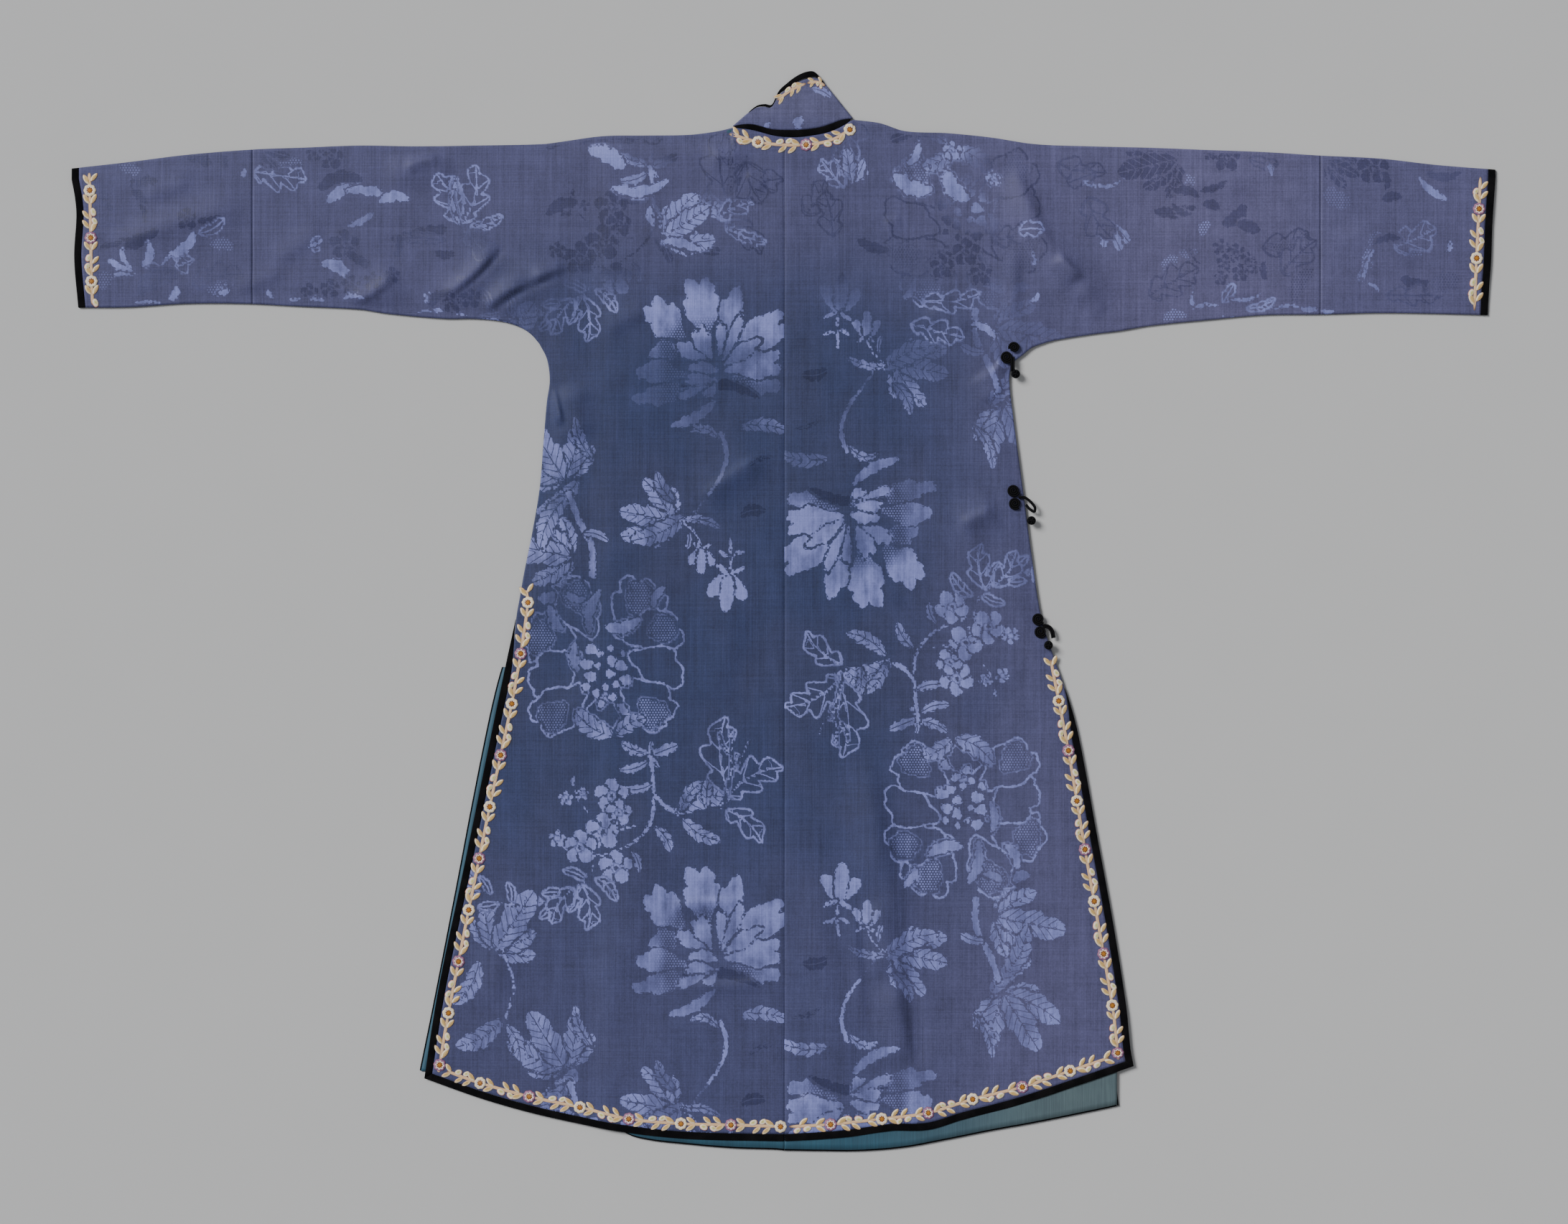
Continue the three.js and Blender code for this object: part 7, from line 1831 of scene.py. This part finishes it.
class Stitching:
    """Collects domed patches of satin stitch along a ribbon's path of (place, x, y), where one
    flower is one place from the next."""

    def __init__(self, path, height, scale=1.0):
        self.height, self.scale = height, scale
        key, *plan = np.asarray(path, float).T
        self.u = np.linspace(key[0], key[-1], 400)
        self.x, self.y = (follow(np.stack([key, one], 1), self.u) for one in plan)
        self.gx, self.gy = np.gradient(self.x, self.u), np.gradient(self.y, self.u)
        self.pitch = float(np.median(np.hypot(self.gx, self.gy)))
        self.points, self.loops, self.sizes, self.colours, self.uvs = [], [], [], [], []
        self.count = 0

    def lay(self, at, side):
        """Plan place of (place along, millimetres to the side), straight on past both ends."""
        x, y, gx, gy = (np.interp(at, self.u, one) for one in (self.x, self.y, self.gx, self.gy))
        past = at - np.clip(at, self.u[0], self.u[-1])
        length = np.hypot(gx, gy)
        return x + gx * past - gy / length * side, y + gy * past + gx / length * side

    def patch(self, u, side, outline, shares, heights, colours, stitch):
        """One domed patch: an outline (m, 2) in mm round its middle, drawn in to rings of given
        shares. The middle and each ring has its height and its colour, or colours (m, 3).
        stitch is the turn of the threads in degrees."""
        m = len(outline)
        rings = outline[None] * np.asarray(shares)[:, None, None]
        local = np.concatenate([np.zeros((1, 2)), rings.reshape(-1, 2)])
        x, y = self.lay(u + local[:, 0] * self.scale / self.pitch, side + local[:, 1] * self.scale)
        dome = np.concatenate([heights[:1], np.repeat(heights[1:], m)])
        self.points.append(np.stack([x, y, self.height(x, y) + dome * self.scale], 1))
        self.colours += [np.broadcast_to(one, (m if k else 1, 3)) for k, one in enumerate(colours)]
        along, across = turned(local, (0, 0), -stitch).T
        self.uvs.append(np.stack([across, along / THREAD], 1))
        first = self.count + 1
        step = np.arange(m)
        ahead = np.roll(step, -1)
        fan = np.stack([np.full(m, self.count), first + step, first + ahead], 1)
        low = first + m * np.arange(len(shares) - 1)[:, None]
        quads = np.stack([low + step, low + m + step, low + m + ahead, low + ahead], -1)
        self.loops += [fan.ravel(), quads.ravel()]
        self.sizes += [np.full(m, 3), np.full(quads.shape[0] * m, 4)]
        self.count += len(local)

    def flower(self, u, rim):
        """Eight scallops with a coloured rim, a white zigzag, gold heart and wine stamens."""
        phi = np.linspace(0, 2 * math.pi, 49)[:-1]
        wave = np.abs(np.cos(4 * phi))
        outline = FLOWER * (0.9 + 0.1 * wave)[:, None] * np.stack([np.cos(phi), np.sin(phi)], 1)
        zig, rays = (wave > 0.62)[:, None], (wave > 0.8)[:, None]
        heart = np.where(rays, WINE, GOLD)
        colours = [GOLD, GOLD, heart, heart, np.where(zig, PINK, IVORY), IVORY,
                   np.where(zig, IVORY, rim), rim, rim, TAN]
        self.patch(u, 0, outline, *FLOWER_DOME, colours, 0)

    def petal_patch(self, u, side, angle, length, width, kind):
        """A leaf or bud whose stalk is at (u, side): half width a power of the sine."""
        phi = np.linspace(0, 2 * math.pi, 21)[:-1]
        power = 1.25 if kind == "leaf" else 0.85
        base = np.stack([np.cos(phi) * length / 2, np.sign(np.sin(phi))
                         * np.abs(np.sin(phi)) ** power * width / 2], 1)
        centre = turned(np.array([[length / 2, 0]]), (0, 0), angle)[0]
        if kind == "leaf":
            lit = (np.sin(phi) > 0)[:, None]
            colours = [STRAW, np.where(lit, STRAW, shade(STRAW, 0.8)),
                       np.where(lit, CREAM, STRAW), np.where(lit, CREAM, PEACH), TAN]
        else:
            lime = (np.abs(np.sin(phi * 0.5 + 0.6)) > 0.75)[:, None]
            colours = [LIME, np.where(lime, LIME, CREAM), np.where(lime, CREAM, IVORY),
                       np.where(lime, CREAM, PINK), TAN]
        self.patch(u + centre[0] * self.scale / self.pitch, side + centre[1] * self.scale,
                   turned(base, (0, 0), angle), *(LEAF_DOME if kind == "leaf" else BUD_DOME),
                   colours, angle + STITCH_TURN)

    def stem(self, first, last, width):
        """Stem between flowers: a long narrow dome."""
        phi = np.linspace(0, 2 * math.pi, 37)[:-1]
        end = np.sign(np.cos(phi))
        length = (last - first) * self.pitch
        wavy = width / 2 * (1 + 0.35 * np.cos(phi) * end)
        outline = np.stack([end * np.abs(np.cos(phi)) ** 0.6 * length / 2, np.sin(phi) * wavy], 1)
        self.patch((first + last) / 2, 0, outline / self.scale, *STEM_DOME,
                   [PEACH, PEACH, shade(PEACH, 0.95), TAN], STEM_TURN)

    def run(self, rims=None):
        """Whole ribbon: stems and leaves between places, and flowers at the whole ones, their
        rims cream and lilac in turn."""
        low, high = self.u[0], self.u[-1]
        for k in range(math.floor(low), math.ceil(high)):
            first, last = max(low, k + 0.02), min(high, k + 0.98)
            if last - first > 0.12:
                self.stem(first, last, STEM)
            swap = 1 if k % 2 else -1
            for at, off, angle, length, width, kind in BETWEEN:
                if low + 0.05 < k + at < high - 0.02:
                    self.petal_patch(k + at, off * swap * self.scale, angle * swap, length, width,
                                     kind)
        for k in range(math.ceil(low), math.floor(high) + 1) if rims else ():
            self.flower(k, rims[k % 2])

    def piece(self, name, node):
        """The ribbon's patches as one piece."""
        made = make_piece(name, *(np.concatenate(one) for one in (
            self.points, self.loops, self.sizes)), ["thread"],
            colours=np.concatenate(self.colours), uvs=np.concatenate(self.uvs))
        dress(made, node)


def silk_top(x, y):
    """Height of the upper face of the back's silk at true places."""
    return of_half(Half.level, x, y) + CLOTH / 2 + 0.05


class ROBE_OT_ribbons(bpy.types.Operator):
    """Sews the embroidered flower ribbons inside the velvet"""
    bl_idname = "robe.ribbons"
    bl_label = "Embroidered ribbons"

    def execute(self, context):
        cream_first, lilac_first = (CREAM, LILAC), (LILAC, CREAM)
        for name, node, path, rims in (
                ("slit_flowers_left", "slit_ribbon_left", SLIT_LEFT_PATH, cream_first),
                ("hem_flowers_left", "hem_ribbon_left", HEM_LEFT_PATH, lilac_first),
                ("slit_flowers_right", "slit_ribbon_right", SLIT_RIGHT_PATH, lilac_first),
                ("hem_flowers_right", "hem_ribbon_right", HEM_RIGHT_PATH, lilac_first),
                ("cuff_flowers_left", "cuff_ribbon_left", CUFF_LEFT_PATH, cream_first),
                ("cuff_flowers_right", "cuff_ribbon_right", CUFF_RIGHT_PATH, lilac_first),
                ("neck_flowers", "neck_ribbon", NECK_PATH, cream_first)):
            stitching = Stitching(path, silk_top)
            stitching.run(rims)
            stitching.piece(name, node)
        along = np.linspace(0.1, 1.8, 5)
        path = np.stack([along, *collar_plan(np.linspace(0.345, 0.95, 5), 0.8)], 1)
        stitching = Stitching(path, lambda x, y: np.full_like(x, COLLAR_LAYER + 0.85), 0.7)
        stitching.run()
        stitching.piece("collar_flowers", "collar_ribbon")
        return {"FINISHED"}


# ---- frogs -------------------------------------------------------------------------------------
# Coiled lobes (x, y, radius), the cord's route to its knot, how many cords, and the knot.
FROGS = [
    ("top", [(249.2, 286.6, 6.7), (241.2, 276.2, 7.4)],
     [(247.6, 276.0), (247.4, 266.0), (248.0, 260.5)], 2, (250.8, 257.8, 4.8)),
    ("middle", [(248.6, 131.4, 7.6), (250.2, 117.4, 7.4)],
     [(254.0, 124.0), (260.4, 123.8), (266.4, 119.8), (271.6, 113.2), (271.0, 108.6),
      (266.4, 111.0), (262.0, 116.0)], 1, (268.0, 98.8, 4.8)),
    ("lower", [(275.6, -8.0, 7.5), (278.0, -21.8, 7.5)],
     [(280.0, -15.6), (286.6, -16.6), (290.4, -21.4), (292.0, -28.6)], 2, (286.4, -36.4, 4.8)),
]


def cord_along(path, radius, sides=8):
    """Round cord along a path of (n, 3): a circle carried square to the run."""
    run = unit(np.gradient(path, axis=0))
    side = np.cross(run, [0.0, 0.0, 1.0])
    flat = np.linalg.norm(side, axis=1, keepdims=True)
    side = np.where(flat > 0.05, side / np.maximum(flat, 1e-9), [1.0, 0.0, 0.0])
    other = np.cross(side, run)
    phi = np.linspace(0, 2 * math.pi, sides + 1)[:-1, None]
    return path[:, None] + radius * (side[:, None] * np.cos(phi) + other[:, None] * np.sin(phi))


def frog_seat(lobes, route):
    """Height that the cord lies at: the highest cloth under it."""
    spots = np.array([lobe[:2] for lobe in lobes] + list(route))
    near = np.concatenate([spots + d for d in ([0, 0], [4, 0], [-4, 0], [0, 4], [0, -4])])
    near[:, 0] = np.minimum(near[:, 0], follow(SIDE_RIGHT, near[:, 1]) - 9)
    return float(silk_top(near[:, 0], near[:, 1]).max())


COIL_START, COIL_RISE = 0.12, 0.5   # share of the radius where the cord starts; mm at the middle


def coil(x, y, radius, seat):
    """A lobe: cord wound in a flat spiral, a little higher at its middle."""
    reach = radius - THICK
    turns = reach / CORD
    t = np.linspace(COIL_START, 1, int(26 * turns))
    swirl = t * turns * 2 * math.pi
    path = np.stack([x + t * reach * np.cos(swirl), y + t * reach * np.sin(swirl),
                     seat + THICK + COIL_RISE * (1 - t)], 1)
    return cord_along(path, THICK * 1.02)


def route_cords(route, cords, seat):
    """One thick cord, or two side by side, from the lobes to the knot, arched over the cloth."""
    at = np.linspace(0, len(route) - 1, 12 * len(route))
    plan = np.stack([follow(list(enumerate(one)), at) for one in zip(*route)], 1)
    run = unit(np.gradient(plan, axis=0))
    square = np.stack([-run[:, 1], run[:, 0]], 1)
    thick = THICK * (1.35 if cords == 1 else 1.05)
    lift = seat + thick + 0.4 * np.sin(np.linspace(0, math.pi, len(plan)))
    return [cord_along(np.column_stack([plan + square * shift, lift]), thick)
            for shift in ([0] if cords == 1 else [-THICK * 1.05, THICK * 1.05])]


def on_ball(at, wide, high, lat, lon):
    """Points on a flattened ball, by latitude and longitude."""
    return np.stack(np.broadcast_arrays(
        at[0] + wide * np.cos(lat) * np.cos(lon), at[1] + wide * np.cos(lat) * np.sin(lon),
        at[2] + high * np.sin(lat)), -1)


def knot_cords(at, radius):
    """A knot: cord wound over a ball, its latitude and longitude waving as it goes round three
    times, and the ball's plain core."""
    size = radius - THICK * 0.9
    t = np.linspace(0, 2 * math.pi, 190)
    path = on_ball(at, size, 0.78 * size, 0.95 * np.sin(5 * t), 3 * t + 0.35 * np.sin(10 * t))
    lat = np.linspace(-math.pi / 2, math.pi / 2, 9)[:, None]
    lon = np.linspace(0, 2 * math.pi, 17)[None, :-1]
    return cord_along(path, THICK * 0.92), on_ball(at, 0.9 * size, 0.7 * size, lat, lon)


class ROBE_OT_frogs(bpy.types.Operator):
    """Winds and knots the cord frogs"""
    bl_idname = "robe.frogs"
    bl_label = "Frogs"

    def execute(self, context):
        for name, lobes, route, cords, (x, y, radius) in FROGS:
            seat = frog_seat(lobes, route)
            tube_piece(f"frog_cord_{name}", f"frog_{name}", "cord",
                       *(coil(*lobe, seat) for lobe in lobes), *route_cords(route, cords, seat))
            low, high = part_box(f"knot_{name}")
            tube_piece(f"knot_cord_{name}", f"knot_{name}", "cord",
                       *knot_cords((x, y, (low[2] + high[2]) / 2 / MM), radius))
        return {"FINISHED"}


LIGHT_TURN, LIGHT_WIDTH = (-26, -45, 0), 24   # degrees
LIGHT_PLACE = (-3, 2.5, 4)     # metres
ROOM_COLOUR, ROOM_LIGHT = (0.95, 0.97, 1.0, 1), 0.34
LENS, FILM = 85, 36            # millimetres
CAMERA = (-0.0004, -0.0004, 4.022)   # metres


class ROBE_OT_stage(bpy.types.Operator):
    """Floor, soft light and a camera straight above"""
    bl_idname = "robe.stage"
    bl_label = "Stage"

    def execute(self, context):
        scene = context.scene
        corners = FLOOR_SIZE * np.array([[-1, -1, 0], [1, -1, 0], [1, 1, 0], [-1, 1, 0]])
        floor = make_piece("floor", corners + [0, 0, FLOOR_DROP], np.arange(4), [4], ["floor"])

        data = bpy.data.lights.new("window", "SUN")
        data.energy, data.angle = scene.robe_sizes.light, math.radians(LIGHT_WIDTH)
        lamp = bpy.data.objects.new("window", data)
        lamp.rotation_euler = [math.radians(turn) for turn in LIGHT_TURN]
        lamp.location = LIGHT_PLACE
        scene.collection.objects.link(lamp)
        world = bpy.data.worlds.new("soft_room")
        world.use_nodes = True
        room = world.node_tree.nodes["Background"]
        room.inputs[0].default_value = ROOM_COLOUR
        room.inputs[1].default_value = ROOM_LIGHT
        scene.world = world
        data = bpy.data.cameras.new("camera")
        data.lens, data.sensor_width, data.clip_end = LENS, FILM, 50
        camera = bpy.data.objects.new("camera", data)
        camera.location = CAMERA
        scene.collection.objects.link(camera)
        scene.camera = camera
        return {"FINISHED"}


PIECES = (ROBE_OT_stage, ROBE_OT_fronts, ROBE_OT_silk_halves, ROBE_OT_sleeve_ends, ROBE_OT_lining,
          ROBE_OT_bindings, ROBE_OT_edges, ROBE_OT_collar, ROBE_OT_ribbons, ROBE_OT_frogs)


class ROBE_PT_panel(bpy.types.Panel):
    """Lists the robe's pieces in the sidebar"""
    bl_label = "Robe"
    bl_idname = "ROBE_PT_panel"
    bl_space_type = "VIEW_3D"
    bl_region_type = "UI"
    bl_category = "Robe"

    def draw(self, context):
        for key in RobeColours.__annotations__:
            self.layout.prop(context.scene.robe_colours, key)
        for key in RobeSizes.__annotations__:
            self.layout.prop(context.scene.robe_sizes, key)
        for piece in PIECES:
            self.layout.operator(piece.bl_idname)


CLASSES = (RobeColours, RobeSizes, *PIECES, ROBE_PT_panel)


def register():
    """Registers the settings, the operators and the panel."""
    for one in CLASSES:
        bpy.utils.register_class(one)
    bpy.types.Scene.robe_colours = PointerProperty(type=RobeColours)
    bpy.types.Scene.robe_sizes = PointerProperty(type=RobeSizes)


def unregister():
    """Takes them out again."""
    del bpy.types.Scene.robe_sizes
    del bpy.types.Scene.robe_colours
    for one in reversed(CLASSES):
        bpy.utils.unregister_class(one)


def main():
    register()
    for piece in PIECES:
        group, call = piece.bl_idname.split(".")
        getattr(getattr(bpy.ops, group), call)()


if __name__ == "__main__":
    main()
